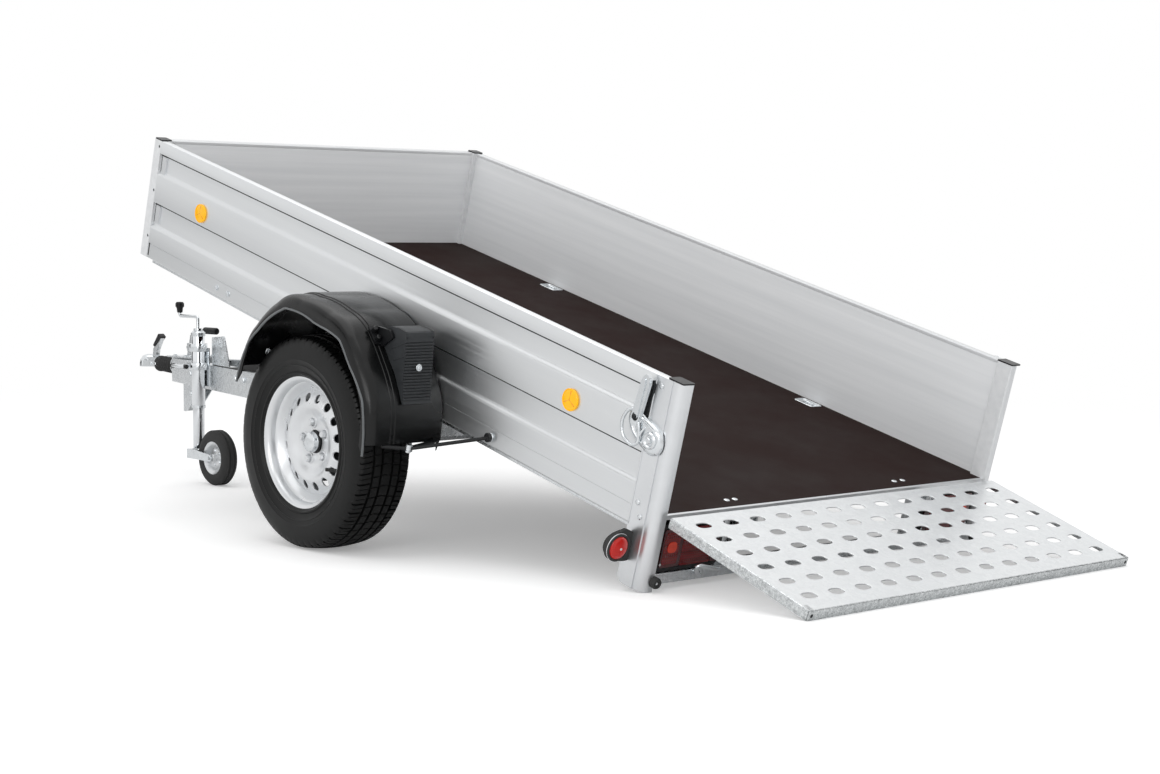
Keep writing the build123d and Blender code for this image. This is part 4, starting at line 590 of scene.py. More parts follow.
@dataclass(frozen=True)
class Finish:
    """A real surface: its base values and the pattern that its making leaves."""

    name: str
    colour: str
    second: str
    roughness: float
    metallic: float = 0.0
    grain: float = 1.0 * MM
    relief: float = 0.02 * MM
    patch: float = 120 * MM
    spread: float = 0.05
    coat: float = 0.0
    specular: float = 0.5
    tilt: float = 0.0

    def material(self) -> bpy.types.Material:
        """Return the material, building it the first time.

        Returns:
            The material.
        """
        made = bpy.data.materials.get(self.name)
        if made:
            return made
        made = bpy.data.materials.new(self.name)
        made.use_nodes = True
        made.diffuse_color = linear(self.colour)
        tree = made.node_tree
        shader = tree.nodes["Principled BSDF"]
        shader.inputs["Metallic"].default_value = self.metallic
        shader.inputs["Coat Weight"].default_value = self.coat
        shader.inputs["Coat Roughness"].default_value = COAT_ROUGHNESS
        shader.inputs["Specular IOR Level"].default_value = self.specular
        place = add_node(tree, "ShaderNodeTexCoord").outputs["Object"]
        self.pattern(tree, shader, place)
        return made

    def pattern(self, tree: Tree, shader: Node, place: Socket) -> None:
        """Link the colour, roughness and relief that the surface shows.

        Args:
            tree: Node tree of the material.
            shader: Its surface shader.
            place: Coordinates in metres on the piece.
        """
        patches = add_node(tree, "ShaderNodeTexNoise", None,
                           {"Vector": place, "Scale": 1 / self.patch, "Detail": 4.0, "Roughness": 0.55})
        grain = add_node(tree, "ShaderNodeTexNoise", None,
                         {"Vector": place, "Scale": 1 / self.grain, "Detail": 2.0, "Roughness": 0.6})
        self.link(tree, shader, patches.outputs["Fac"], patches.outputs["Fac"], grain.outputs["Fac"])

    def link(self, tree: Tree, shader: Node, tone: Socket,
             gloss: Socket, height: Socket) -> None:
        """Link a tone, a gloss and a height pattern to the shader.

        Args:
            tree: Node tree of the material.
            shader: Its surface shader.
            tone: Pattern from 0 to 1 between the two colours.
            gloss: Pattern from 0 to 1 across the spread of the roughness.
            height: Pattern of the relief.
        """
        mixed = add_node(tree, "ShaderNodeMix", {"data_type": "RGBA"},
                         {Mix.FACTOR.value: tone, Mix.FIRST.value: linear(self.colour),
                          Mix.SECOND.value: linear(self.second)})
        rough = add_node(tree, "ShaderNodeMapRange", None,
                         {"Value": gloss, "From Min": 0.3, "From Max": 0.7,
                          "To Min": self.roughness - self.spread, "To Max": self.roughness + self.spread})
        bump = add_node(tree, "ShaderNodeBump", None, {"Height": height, "Distance": self.relief, "Strength": 1.0})
        tree.links.new(mixed.outputs[Mix.RESULT.value], shader.inputs["Base Color"])
        tree.links.new(rough.outputs["Result"], shader.inputs["Roughness"])
        tree.links.new(bump.outputs["Normal"], shader.inputs["Normal"])


@dataclass(frozen=True)
class DrawnMetal(Finish):
    """Extruded or drawn metal: fine lines run along the way that it was drawn."""

    run: float = 400 * MM
    turn: float = 0.0

    def pattern(self, tree: Tree, shader: Node, place: Socket) -> None:
        """Stretch two noises along the draw, one for lines and one for soft bands.

        Args:
            tree: Node tree of the material.
            shader: Its surface shader.
            place: Coordinates in metres on the piece.
        """
        turned = add_node(tree, "ShaderNodeMapping", None, {"Vector": place, "Rotation": (0, self.tilt, self.turn)})
        lines = add_node(tree, "ShaderNodeMapping", None,
                         {"Vector": turned.outputs["Vector"],
                          "Scale": (1 / self.run, 1 / self.grain, 1 / self.grain)})
        bands = add_node(tree, "ShaderNodeMapping", None,
                         {"Vector": turned.outputs["Vector"],
                          "Scale": (0.5 / self.run, 1 / self.patch, 1 / self.patch)})
        fine = add_node(tree, "ShaderNodeTexNoise", None,
                        {"Vector": lines.outputs["Vector"], "Scale": 1.0, "Detail": 3.0})
        soft = add_node(tree, "ShaderNodeTexNoise", None,
                        {"Vector": bands.outputs["Vector"], "Scale": 1.0, "Detail": 3.0})
        self.link(tree, shader, soft.outputs["Fac"], fine.outputs["Fac"], fine.outputs["Fac"])


@dataclass(frozen=True)
class SpangledZinc(Finish):
    """Hot-dip galvanised steel: each zinc crystal has its own tone and gloss."""

    contrast: float = 0.5

    def pattern(self, tree: Tree, shader: Node, place: Socket) -> None:
        """Give each crystal a tone, frosted by finer crystals, with faint raised borders.

        Args:
            tree: Node tree of the material.
            shader: Its surface shader.
            place: Coordinates in metres on the piece.
        """
        warp = add_node(tree, "ShaderNodeTexNoise", None,
                        {"Vector": place, "Scale": 0.6 / self.patch, "Detail": 2.0})
        bent = add_node(tree, "ShaderNodeMix", {"data_type": "VECTOR"},
                        {0: 0.04 * self.patch / MM / 10, 4: place, 5: warp.outputs["Color"]})
        crystals = add_node(tree, "ShaderNodeTexVoronoi", None,
                            {"Vector": bent.outputs[1], "Scale": 1 / self.patch})
        frost = add_node(tree, "ShaderNodeTexVoronoi", None, {"Vector": place, "Scale": 1 / self.grain})
        tone = add_node(tree, "ShaderNodeMix", {"data_type": "RGBA"},
                        {Mix.FACTOR.value: 0.35, Mix.FIRST.value: crystals.outputs["Color"],
                         Mix.SECOND.value: frost.outputs["Color"]})
        grey = add_node(tree, "ShaderNodeSeparateColor", None, {"Color": tone.outputs[Mix.RESULT.value]})
        shades = add_node(tree, "ShaderNodeMapRange", None,
                          {"Value": grey.outputs["Red"], "To Max": self.contrast})
        self.link(tree, shader, shades.outputs["Result"], grey.outputs["Green"], grey.outputs["Red"])


@dataclass(frozen=True)
class Lens(Finish):
    """Moulded lamp lens: clear colour over rows of small optics that catch the light, and a painted glow of its own
    colour.
    """

    painted_glow: float = 0.0
    clear: float = 0.25

    def pattern(self, tree: Tree, shader: Node, place: Socket) -> None:
        """Lay small pillow optics under the gloss, let some light through and paint a glow of the lens's colour.

        Args:
            tree: Node tree of the material.
            shader: Its surface shader.
            place: Coordinates in metres on the piece.
        """
        optics = add_node(tree, "ShaderNodeTexVoronoi", None,
                          {"Vector": place, "Scale": 1 / self.grain, "Randomness": 0.0})
        shader.inputs["Transmission Weight"].default_value = self.clear
        shader.inputs["Emission Color"].default_value = linear(self.colour)
        # Painted light: the emission makes the unlit lens glow in its own colour.
        shader.inputs["Emission Strength"].default_value = self.painted_glow
        self.link(tree, shader, optics.outputs["Distance"], optics.outputs["Distance"], optics.outputs["Distance"])


LAYOUT = Layout.from_frame()

# Anodised extruded aluminium: a pale satin with fine lines along each panel. The die's real lines are
# well under a millimetre apart, and are drawn coarser here, as in all drawn metal below, so that they show.
WALL_ALUMINIUM = DrawnMetal("extruded_aluminium_wall", "#E4E6E7", "#D8DADC", 0.36, 1.0, grain=2.4 * MM,
                            relief=0.03 * MM, patch=60 * MM, spread=0.05, tilt=LAYOUT.tilt)
# The inner face is dull mill finish with long fine lines from the die. It is drawn paler and nearly non-metallic,
# painted light, so that the shade inside the box and the dark plywood's reflection don't darken it.
LIT_INNER_ALUMINIUM = DrawnMetal("painted_light_mill_aluminium", "#F0F1F2", "#D8DADC", 0.55, 0.08, grain=3.2 * MM,
                             relief=0.05 * MM, patch=22 * MM, spread=0.06, tilt=LAYOUT.tilt, specular=0.2)
# The same paler painted-light copy, its lines across the bed, for the front wall's inner face, the front posts and
# the rear posts' inner faces.
LIT_INNER_FRONT_ALUMINIUM = DrawnMetal("painted_light_mill_aluminium_front", "#F0F1F2", "#D8DADC", 0.55, 0.08,
                                   grain=3.2 * MM, relief=0.05 * MM, patch=22 * MM, spread=0.06,
                                   turn=math.pi / 2, specular=0.2)
# Painted shade: dark bands under each recess's lip, where the groove's shade falls, and in the strip by the front
# post; they read as dark lines.
GROOVE_SHADE = Finish("painted_groove_shade", "#26282A", "#1C1E20", 0.6, 0.1, grain=4 * MM, relief=0.02 * MM,
                      patch=40 * MM, specular=0.2)
# The front wall is the same profile, drawn across the bed.
FRONT_ALUMINIUM = DrawnMetal("extruded_aluminium_front", "#E4E6E7", "#D8DADC", 0.36, 1.0, grain=2.4 * MM,
                             relief=0.03 * MM, patch=60 * MM, spread=0.05, turn=math.pi / 2)
# The posts are the same metal, drawn upright, so their lines run down them.
POST_ALUMINIUM = Finish("extruded_aluminium_post", "#E4E6E8", "#D6D8DA", 0.38, 1.0, grain=3 * MM,
                        relief=0.02 * MM, patch=90 * MM, spread=0.04)
# Film-faced birch plywood: a dark brown resin film, nearly even, with faint wear.
PLYWOOD = Finish("film_faced_plywood", "#1C0F0C", "#261512", 0.58, grain=1.6 * MM, relief=0.05 * MM,
                 patch=220 * MM, spread=0.07, specular=0.06)
# Hot-dip galvanised steel of the chassis: grey zinc with crystals about 12 mm across.
GALVANISED = SpangledZinc("hot_dip_galvanised_steel", "#E2E5E7", "#AEB1B4", 0.32, 1.0, grain=2.5 * MM,
                          relief=0.015 * MM, patch=11 * MM, spread=0.1, contrast=0.35)
# Galvanised ramp plate: brighter and flatter on top, the crystals hardly show.
RAMP_ZINC = SpangledZinc("galvanised_ramp_plate", "#E9EBEC", "#CDD0D2", 0.42, 1.0, grain=2.5 * MM,
                         relief=0.01 * MM, patch=12 * MM, spread=0.06, contrast=0.4)
# The cut and dipped edges of the ramp keep a coarse, dark and light zinc mottle.
EDGE_ZINC = SpangledZinc("galvanised_ramp_edge", "#E8EBEC", "#85898B", 0.36, 1.0, grain=2.0 * MM,
                         relief=0.04 * MM, patch=4.5 * MM, spread=0.1, contrast=0.8)
# Bright zinc plate on bolts, hooks and rings: a hard, clear shine.
BRIGHT_ZINC = Finish("bright_zinc_plate", "#E6E9EB", "#D0D4D7", 0.22, 1.0, grain=2 * MM, relief=0.01 * MM,
                     patch=15 * MM, spread=0.05)
# Chrome-bright drawn tube of the jockey leg.
BRIGHT_TUBE = Finish("bright_drawn_tube", "#EAECEE", "#DEE1E4", 0.08, 1.0, grain=6 * MM, relief=0.004 * MM,
                     patch=60 * MM, spread=0.03)
# Polypropylene mudguard, thermoformed: black satin with a leathery grain, drawn coarser than the real
# one, which is about half a millimetre, so that it shows.
GUARD_PLASTIC = Finish("thermoformed_polypropylene", "#070808", "#0C0D0E", 0.26, grain=1.4 * MM,
                       relief=0.03 * MM, patch=180 * MM, spread=0.05, specular=0.32)
# Painted highlight: the rolled lip of the same sheet is drawn paler, so it draws a thin light line round the arch
# where the lip catches the light.
GUARD_LIP_HIGHLIGHT = Finish("painted_highlight_polypropylene_lip", "#55585A", "#6C6F71", 0.35, grain=1.4 * MM, relief=0.02 * MM,
                   patch=60 * MM, spread=0.05)
# Injection-moulded polyamide of caps, grips and lamp bodies: near black, finely eroded.
BLACK_PLASTIC = Finish("moulded_polyamide", "#0E0F11", "#141517", 0.36, grain=0.8 * MM, relief=0.02 * MM,
                       patch=60 * MM, spread=0.05, specular=0.35)
# Structural foam plastic of the wheel chocks: dark grey and dull.
CHOCK_PLASTIC = Finish("moulded_chock_polypropylene", "#2B2D2F", "#3A3C3E", 0.42, grain=1.0 * MM,
                       relief=0.05 * MM, patch=40 * MM, spread=0.06, specular=0.25)
# Natural rubber of bellows, buffers and pads.
RUBBER = Finish("black_rubber", "#0E0F10", "#151617", 0.5, grain=1.2 * MM, relief=0.04 * MM, patch=50 * MM,
                spread=0.06, specular=0.25)
# Tyre compound: dull black, a little paler where it was touched.
TYRE_RUBBER = Finish("road_tyre_rubber", "#060606", "#0E0F0F", 0.40, grain=1.2 * MM, relief=0.05 * MM,
                     patch=90 * MM, spread=0.07, specular=0.26)
# Silver wheel enamel over steel: fine metal flake under a thin clear coat.
WHEEL_SILVER = Finish("silver_wheel_enamel", "#E4E6E8", "#D9DBDD", 0.30, 0.6, grain=0.9 * MM,
                      relief=0.01 * MM, patch=70 * MM, spread=0.04, coat=0.35)
# Grey cast iron of the brake drum.
DRUM_IRON = Finish("painted_cast_iron", "#4A4C4F", "#3A3C3E", 0.6, 0.4, grain=2 * MM, relief=0.1 * MM,
                   patch=30 * MM, spread=0.08)
# Red acrylic of the round marker lamps: a clear, bright red, with a faint painted glow.
RED_LENS = Lens("red_acrylic_lens", "#D81E12", "#B8140E", 0.14, grain=5 * MM, relief=0.15 * MM, spread=0.03,
                coat=0.3, painted_glow=0.10, specular=0.3)
# The same acrylic over a dark housing, ribbed inside: it looks deep red.
TAIL_LENS = Lens("ribbed_red_acrylic_lens", "#8E1012", "#4A0608", 0.12, grain=7 * MM, relief=0.5 * MM,
                 spread=0.03, coat=0.5, specular=0.3)
# The outer thirds of the lamp have almost no light behind them: they look nearly black.
DARK_LENS = Lens("dark_red_acrylic_lens", "#5A0B10", "#360609", 0.14, grain=7 * MM, relief=0.5 * MM,
                 spread=0.03, coat=0.6)
# Orange acrylic over the flasher's bulb: the one bright spot of the rear lamp, helped by a faint painted glow.
FLASH_LENS = Lens("orange_acrylic_lens", "#E8401A", "#B8240F", 0.12, grain=6 * MM, relief=0.4 * MM,
                  spread=0.03, coat=0.6, painted_glow=0.08)
# Amber acrylic over corner-cube prisms: strong yellow, with a painted glow for the light that the prisms throw back.
AMBER_LENS = Lens("amber_prism_lens", "#FFD200", "#FFB400", 0.20, grain=4 * MM, relief=0.3 * MM, spread=0.03,
                  coat=0.2, painted_glow=0.16, specular=0.3)
# Dark steel of a few bolt heads, rivets and discs. The same finish paints shade: the slot in each wall's skirt and
# the latch lever's shadow on the post.
DARK_STEEL_AND_SHADE = Finish("dark_steel_and_painted_shade", "#2A2C2E", "#1E2022", 0.5, 0.6, grain=2 * MM, relief=0.02 * MM)


# ---- box
@dataclass(frozen=True)
class Walls:
    """Hollow aluminium profiles of the box: recessed bands outside, a near flat face inside."""

    length: float = 2.560
    half_width: float = 0.680
    height: float = 0.346
    thickness: float = 0.025
    skirt: float = 0.049
    post: float = 0.040
    bands: tuple[Pair, ...] = ((0.057, 0.141), (0.235, 0.305))
    recess: float = 0.009
    cove: float = 0.017
    lip: float = 0.003
    groove_height: float = 0.0062
    flange_front: float = 0.078
    slot_u: float = 2.512
    strip_height: float = 0.060

    def profile(self) -> list[Pair]:
        """Return the closed section as (distance out from the outer face, height).

        Returns:
            Points across the draw.
        """
        edge = 0.003
        seam = 0.0012
        points = [(-edge, -self.skirt), (0.0, edge - self.skirt), (0.0, 0.0), (-seam, seam / 2), (0.0, seam)]
        for low, high in self.bands:
            for step in range(9):
                share = step / 8
                points.append((-self.recess * (1 - math.cos(math.pi * share)) / 2, low + self.cove * (share - 0.2)))
            overhang = high + self.lip
            points += [(-self.recess, overhang), (-self.lip, overhang), (-self.lip, high), (0.0, high)]
        groove = self.height - 0.012
        points += [(0.0, self.height - edge), (-edge / 3, self.height - edge / 3), (-edge, self.height),
                   (edge - self.thickness, self.height), (-self.thickness, self.height - edge),
                   (-self.thickness, groove + seam), (seam / 2 - self.thickness, groove),
                   (-self.thickness, groove - seam), (-self.thickness, -self.skirt)]
        return points

    def grooves(self) -> list[Pair]:
        """Return the heights of the bands of painted shade under the upper edge of each recess."""
        return [(high - self.groove_height, high + self.lip) for _, high in self.bands]

    def _line_inside(self, wall: Shape, across: Axis, outer: float, finish: Finish) -> None:
        """Give a wall's inner face its own finish: the paler painted-light copy of the metal.

        Args:
            wall: Shape of the wall.
            across: Axis through its thickness.
            outer: Place of its outer face.
            finish: Finish of the inner face.
        """
        inner = outer - self.thickness / 2
        wall.mesh.normal_update()
        wall._dress([face for face in wall.mesh.faces if face.calc_center_median()[across.value] < inner
                     and abs(face.normal[across.value]) > 0.5], finish)

    def build(self) -> None:
        """Build the two side walls and the front wall."""
        left = Shape()
        section = [(self.half_width + out, height) for out, height in self.profile()]
        left.prism(section, Axis.X, self.post, self.length - self.post, WALL_ALUMINIUM)
        self._line_inside(left, Axis.Y, self.half_width, LIT_INNER_ALUMINIUM)
        # Painted shade: a dark band on the recess face under each lip, where the groove's shade falls.
        for low, high in self.grooves():
            left.block((self.flange_front, self.half_width - self.recess - 0.001, low),
                       (self.length - self.post, self.half_width - self.recess + 0.0012, high), GROOVE_SHADE,
                       axis=Axis.X)
            # By the front post each recess gets a dark strip of painted shade, with a pale plate beside it.
            left.block((self.slot_u - 0.004, self.half_width - self.recess - 0.001, low - self.strip_height),
                       (self.slot_u + 0.004, self.half_width - self.recess + 0.001, low), GROOVE_SHADE)
            left.block((self.slot_u - 0.032, self.half_width - self.recess - 0.001, low - self.strip_height),
                       (self.slot_u - 0.006, self.half_width - 0.004, low), POST_ALUMINIUM)
        left.seat_pair("wall", "side_wall", "wall_aluminium", bevel=0)
        front = Shape()
        reach = self.half_width - self.post
        section = [(self.length + out, height) for out, height in self.profile()]
        front.prism(section, Axis.Y, -reach, reach, FRONT_ALUMINIUM)
        self._line_inside(front, Axis.X, self.length, LIT_INNER_FRONT_ALUMINIUM)
        front.seat("wall_front", Body.BED, bevel=0, stands_for=["front_wall"], slot="wall_aluminium")


@dataclass(frozen=True)
class RearPosts:
    """Rear corner posts: a round-cornered tube and the flange that clasps the wall's end."""

    half_width: float = 0.680
    size: float = 0.040
    overhang: float = 0.015
    height: float = 0.346
    foot: float = -0.206
    round_edge: float = 0.026
    flange_rear: float = 0.020
    flange_front: float = 0.078
    flange_corner: float = 0.022
    flange_thickness: float = 0.003
    bolt_radius: float = 0.0052
    bolts: tuple[Pair, ...] = ((0.054, 0.322), (0.056, 0.015), (0.039, -0.019))

    def build(self) -> None:
        """Build both posts with their bolts."""
        post = Shape()
        rear, front, inner, outer = -self.overhang, self.size, self.half_width - self.size, self.half_width
        turn = (rear + self.round_edge, outer - self.round_edge)
        soft = 0.003
        section = [(rear, inner + soft), (rear + soft, inner), (front - soft, inner), (front, inner + soft),
                   (front, outer - soft), (front - soft, outer)]
        section += arc(turn, self.round_edge, 90, 180, 8)
        post.prism(section, Axis.Z, self.foot, self.height, POST_ALUMINIUM)
        # The post's inner faces take the paler painted-light copy of the metal.
        post._dress([face for face in post.mesh.faces if face.calc_center_median().y < inner + soft],
                    LIT_INNER_FRONT_ALUMINIUM)
        front_edge = self.flange_front
        plate = [(self.flange_rear, self.foot)]
        corner = self.flange_corner
        plate += arc((front_edge - corner, self.foot + corner), corner, 270, 360, 6)
        plate += [(front_edge, self.height), (self.flange_rear, self.height)]
        post.prism(plate, Axis.Y, outer - 0.001, outer + self.flange_thickness, POST_ALUMINIUM)
        fold = rounded([(self.flange_front - 0.004, outer), (self.flange_front, outer),
                        (self.flange_front, outer + 0.005), (self.flange_front - 0.004, outer + 0.005)], 0.0015)
        post.prism(fold, Axis.Z, -0.049, self.height - 0.012, POST_ALUMINIUM)
        seat = outer + self.flange_thickness
        for u, w in self.bolts:
            post.dome((u, seat, w), Axis.Y, 1, self.bolt_radius * 1.5, BRIGHT_ZINC)
        post.seat_pair("post_rear", "rear_post", "post_aluminium", bevel=0.0008)


@dataclass(frozen=True)
class BoxFasteners:
    """Rivets, slots and bolts of the box, and the rings let into its floor."""

    half_width: float = 0.680
    length: float = 2.560
    rivet_inset: float = 0.032
    rivet_heights: tuple[float, ...] = (0.326, 0.179, 0.024)
    rivet_radius: float = 0.0045
    slot_u: float = 2.511
    slot_heights: Pair = (-0.040, 0.003)
    skirt_bolts: tuple[float, ...] = (2.076, 2.008)
    floor_bolts: tuple[float, ...] = (0.376, 0.346, -0.299, -0.335)
    floor_bolt_u: float = 0.040
    ring_places: tuple[float, ...] = (0.680, 1.950)
    pan_length: float = 0.082
    pan_width: float = 0.052
    wall_inner: float = 0.655
    pan_gap: float = 0.008

    def build(self) -> None:
        """Build the fasteners of the walls, those of the floor and the lashing rings."""
        walls = Shape()
        u = self.length - self.rivet_inset
        for w in self.rivet_heights:
            walls.ring(0.0062, self.rivet_radius, Axis.Y, (u, self.half_width, w), -0.001, 0.0012, POST_ALUMINIUM)
            walls.dome((u, self.half_width, w), Axis.Y, 1, self.rivet_radius, DARK_STEEL_AND_SHADE, rise=0.3)
        low, high = self.slot_heights
        # The slot in each skirt is a dark patch flush with the wall: painted shade for the opening.
        slot = rounded([(self.slot_u - 0.003, low), (self.slot_u + 0.003, low), (self.slot_u + 0.003, high),
                        (self.slot_u - 0.003, high)], 0.0028)
        walls.prism(slot, Axis.Y, self.half_width - 0.001, self.half_width + 0.0003, DARK_STEEL_AND_SHADE)
        for u in self.skirt_bolts:
            walls.bolt((u, self.half_width, -0.024), Axis.Y, 1, 0.0075, BRIGHT_ZINC)
        walls.absorb(walls.mirrored())
        walls.seat("wall_fasteners", Body.BED, bevel=0, slot="bright_zinc")
        floor = Shape()
        for y in self.floor_bolts:
            floor.dome((self.floor_bolt_u, y, 0.0), Axis.Z, 1, 0.0085, BRIGHT_ZINC, rise=0.4)
        floor.seat("floor_bolts", Body.BED, bevel=0, slot="bright_zinc")
        self._rings()

    def _rings(self) -> None:
        """Build the pressed pans with their hinged rings."""
        rings = Shape()
        half_length, half_width = self.pan_length / 2, self.pan_width / 2
        pan_y = self.wall_inner - self.pan_gap - half_width
        depth, wall = 0.0148, 0.004
        for u in self.ring_places:
            rows = []
            for grow, w in ((0.0, -depth), (0.0, 0.0002), (-0.0008, 0.0012), (-0.003, 0.0012), (-wall, -0.001),
                            (-wall - 0.003, 0.002 - depth + wall), (-wall - 0.006, -depth + wall)):
                outline = rectangle((u - half_length - grow, pan_y - half_width - grow),
                                    (u + half_length + grow, pan_y + half_width + grow), 0.013)
                rows.append([(a, b, w) for a, b in outline])
            rings.grid(rows, BRIGHT_ZINC, close_rows=True)
            rings.cap(rows[-1], BRIGHT_ZINC)
            rings.cap(rows[0], BRIGHT_ZINC)
            for side in (-1, 1):
                rings.bolt((u + side * 0.028, pan_y, wall - depth), Axis.Z, 1, 0.0055, BRIGHT_ZINC, washer=False)
            hinge_y = pan_y + half_width - wall - 0.006
            rings.rod([(u - 0.019, hinge_y, -0.004), (u - 0.021, pan_y - 0.006, -0.003),
                       (u - 0.008, pan_y - 0.019, -0.003), (u + 0.008, pan_y - 0.019, -0.003),
                       (u + 0.021, pan_y - 0.006, -0.003), (u + 0.019, hinge_y, -0.004)], 0.0033, BRIGHT_ZINC,
                      bend=0.012, loop=True)
            rings.rod([(u - 0.024, hinge_y, -0.005), (u + 0.024, hinge_y, -0.005)], 0.0026, BRIGHT_ZINC)
            rings.block((u - 0.007, hinge_y - 0.006, wall - depth), (u + 0.007, hinge_y + 0.005, -0.001), BRIGHT_ZINC,
                        0.003, Axis.X)
        rings.absorb(rings.mirrored())
        rings.seat("floor_rings", Body.BED, bevel=0, stands_for=["lashing_rings"], slot="bright_zinc")


# ---- rear end
@dataclass(frozen=True)
class PostLatch:
    """Over-centre latch on a rear post: shell casting, cam bolt, drop lever and wire bail."""

    seat: float = 0.683
    base: tuple[Pair, ...] = ((0.006, 0.176), (0.016, 0.152), (0.044, 0.142), (0.084, 0.158), (0.118, 0.180),
                              (0.140, 0.206), (0.140, 0.240), (0.118, 0.252), (0.086, 0.236), (0.050, 0.226),
                              (0.016, 0.210))
    lever: tuple[Pair, ...] = ((0.088, 0.214), (0.118, 0.220), (0.104, 0.326), (0.094, 0.343), (0.080, 0.340),
                               (0.074, 0.326))
    cam: Pair = (0.042, 0.184)
    heart: Pair = (0.070, 0.196)
    lever_thickness: float = 0.010

    def shape(self) -> Shape:
        """Build the left latch.

        Returns:
            The shape in the bed's frame.
        """
        made = Shape()
        base = rounded(self.base, 0.012)
        rows = []
        for scale, out in ((1.0, 0.0), (1.0, 0.004), (0.96, 0.009), (0.84, 0.014), (0.70, 0.0155), (0.60, 0.0125),
                           (0.30, 0.0125)):
            rows.append([(self.heart[0] + (u - self.heart[0]) * scale, self.seat + out,
                          self.heart[1] + (w - self.heart[1]) * scale) for u, w in base])
        made.grid(rows, BRIGHT_ZINC, close_rows=True)
        made.cap(rows[-1], BRIGHT_ZINC)
        u, w = self.cam
        made.ring(0.022, 0.013, Axis.Y, (u, self.seat, w), 0.008, 0.022, BRIGHT_ZINC, edge=0.003)
        made.disc(0.0135, Axis.Y, (u, self.seat, w), 0.006, 0.017, DARK_STEEL_AND_SHADE)
        made.bolt((u, self.seat + 0.017, w), Axis.Y, 1, 0.009, BRIGHT_ZINC)
        for rib_u, rib_w in ((0.066, 0.168), (0.084, 0.180), (0.100, 0.196)):
            made.rod([(rib_u, self.seat + 0.010, rib_w - 0.008), (rib_u - 0.006, self.seat + 0.018, rib_w + 0.010),
                      (rib_u - 0.012, self.seat + 0.012, rib_w + 0.028)], 0.0035, BRIGHT_ZINC, bend=0.006)
        made.disc(0.014, Axis.Y, (0.102, self.seat, 0.228), 0.010, 0.024, BRIGHT_ZINC, edge=0.003)
        made.bolt((0.102, self.seat + 0.024, 0.228), Axis.Y, 1, 0.007, DARK_STEEL_AND_SHADE)
        lever = rounded(self.lever, 0.009)
        start = self.seat + 0.014
        made.prism(lever, Axis.Y, start, start + self.lever_thickness, BRIGHT_ZINC)
        rib = [((a - 0.095) * 0.42 + 0.095, (b - 0.278) * 0.84 + 0.278) for a, b in lever]
        face = start + self.lever_thickness
        made.prism(rib, Axis.Y, face - 0.002, face + 0.003, BRIGHT_ZINC)
        # Painted shadow: a dark sheet of the lever's shape, set behind it and rearwards, stands for the lever's
        # shadow on the post.
        slot = [(0.095 + (a - 0.095) * 0.5 - 0.012, 0.278 + (b - 0.278) * 0.8) for a, b in lever]
        made.prism(slot, Axis.Y, self.seat, self.seat + 0.006, DARK_STEEL_AND_SHADE)
        bail = self.seat + 0.018
        made.rod([(0.108, bail, 0.246), (0.134, bail, 0.238), (0.152, bail, 0.204), (0.140, bail, 0.166),
                  (0.104, bail, 0.150), (0.078, bail, 0.164), (0.086, bail, 0.204)], 0.0045, BRIGHT_ZINC,
                 bend=0.020, loop=True)
        return made


@dataclass(frozen=True)
class LampCluster:
    """Rear lamp: black frame round a lens in three colours, with its housing behind it."""

    low: Pair = (0.401, -0.164)
    high: Pair = (0.637, -0.030)
    rear: float = 0.002
    depth: float = 0.052
    frame_width: float = 0.015
    corner: float = 0.026
    splits: tuple[float, ...] = (0.44, 0.55)

    def shape(self) -> Shape:
        """Build the left lamp.

        Returns:
            The shape in the bed's frame.
        """
        made = Shape()
        rows = []
        for grow, u in ((-0.012, self.depth), (-0.004, self.depth), (0.0, self.depth - 0.004), (0.0, 0.010),
                        (-0.0015, 0.004), (-0.004, self.rear), (-self.frame_width + 0.002, self.rear),
                        (-self.frame_width, 0.006)):
            outline = rectangle((self.low[0] - grow, self.low[1] - grow), (self.high[0] + grow, self.high[1] + grow),
                                self.corner)
            rows.append([(u, y, w) for y, w in outline])
        made.grid(rows, BLACK_PLASTIC, close_rows=True)
        made.cap(rows[0], BLACK_PLASTIC)
        edges = [self.low[0] + self.frame_width, *self.splits, self.high[0] - self.frame_width]
        low, high = self.low[1] + self.frame_width, self.high[1] - self.frame_width
        for number, finish in enumerate((DARK_LENS, TAIL_LENS, DARK_LENS)):
            y0, y1 = edges[number] + 0.0008, edges[number + 1] - 0.0008
            made.prism(rectangle((y0, low), (y1, high), 0.006), Axis.X, self.rear - 0.003, 0.012, finish)
        y0, y1 = edges[2] + 0.012, edges[3] - 0.006
        made.prism(rectangle((y0, low + 0.006), (y1, high - 0.008), 0.010), Axis.X, self.rear - 0.0040, 0.006,
                   TAIL_LENS)
        made.prism(rectangle((y0 + 0.010, low + 0.040), (y1 - 0.012, high - 0.034), 0.014), Axis.X,
                   self.rear - 0.0060, 0.006, FLASH_LENS)
        for y in (self.low[0] + 0.016, self.high[0] - 0.018):
            made.dome((self.rear - 0.003, y, low + 0.010), Axis.X, -1, 0.004, BRIGHT_ZINC)
        return made


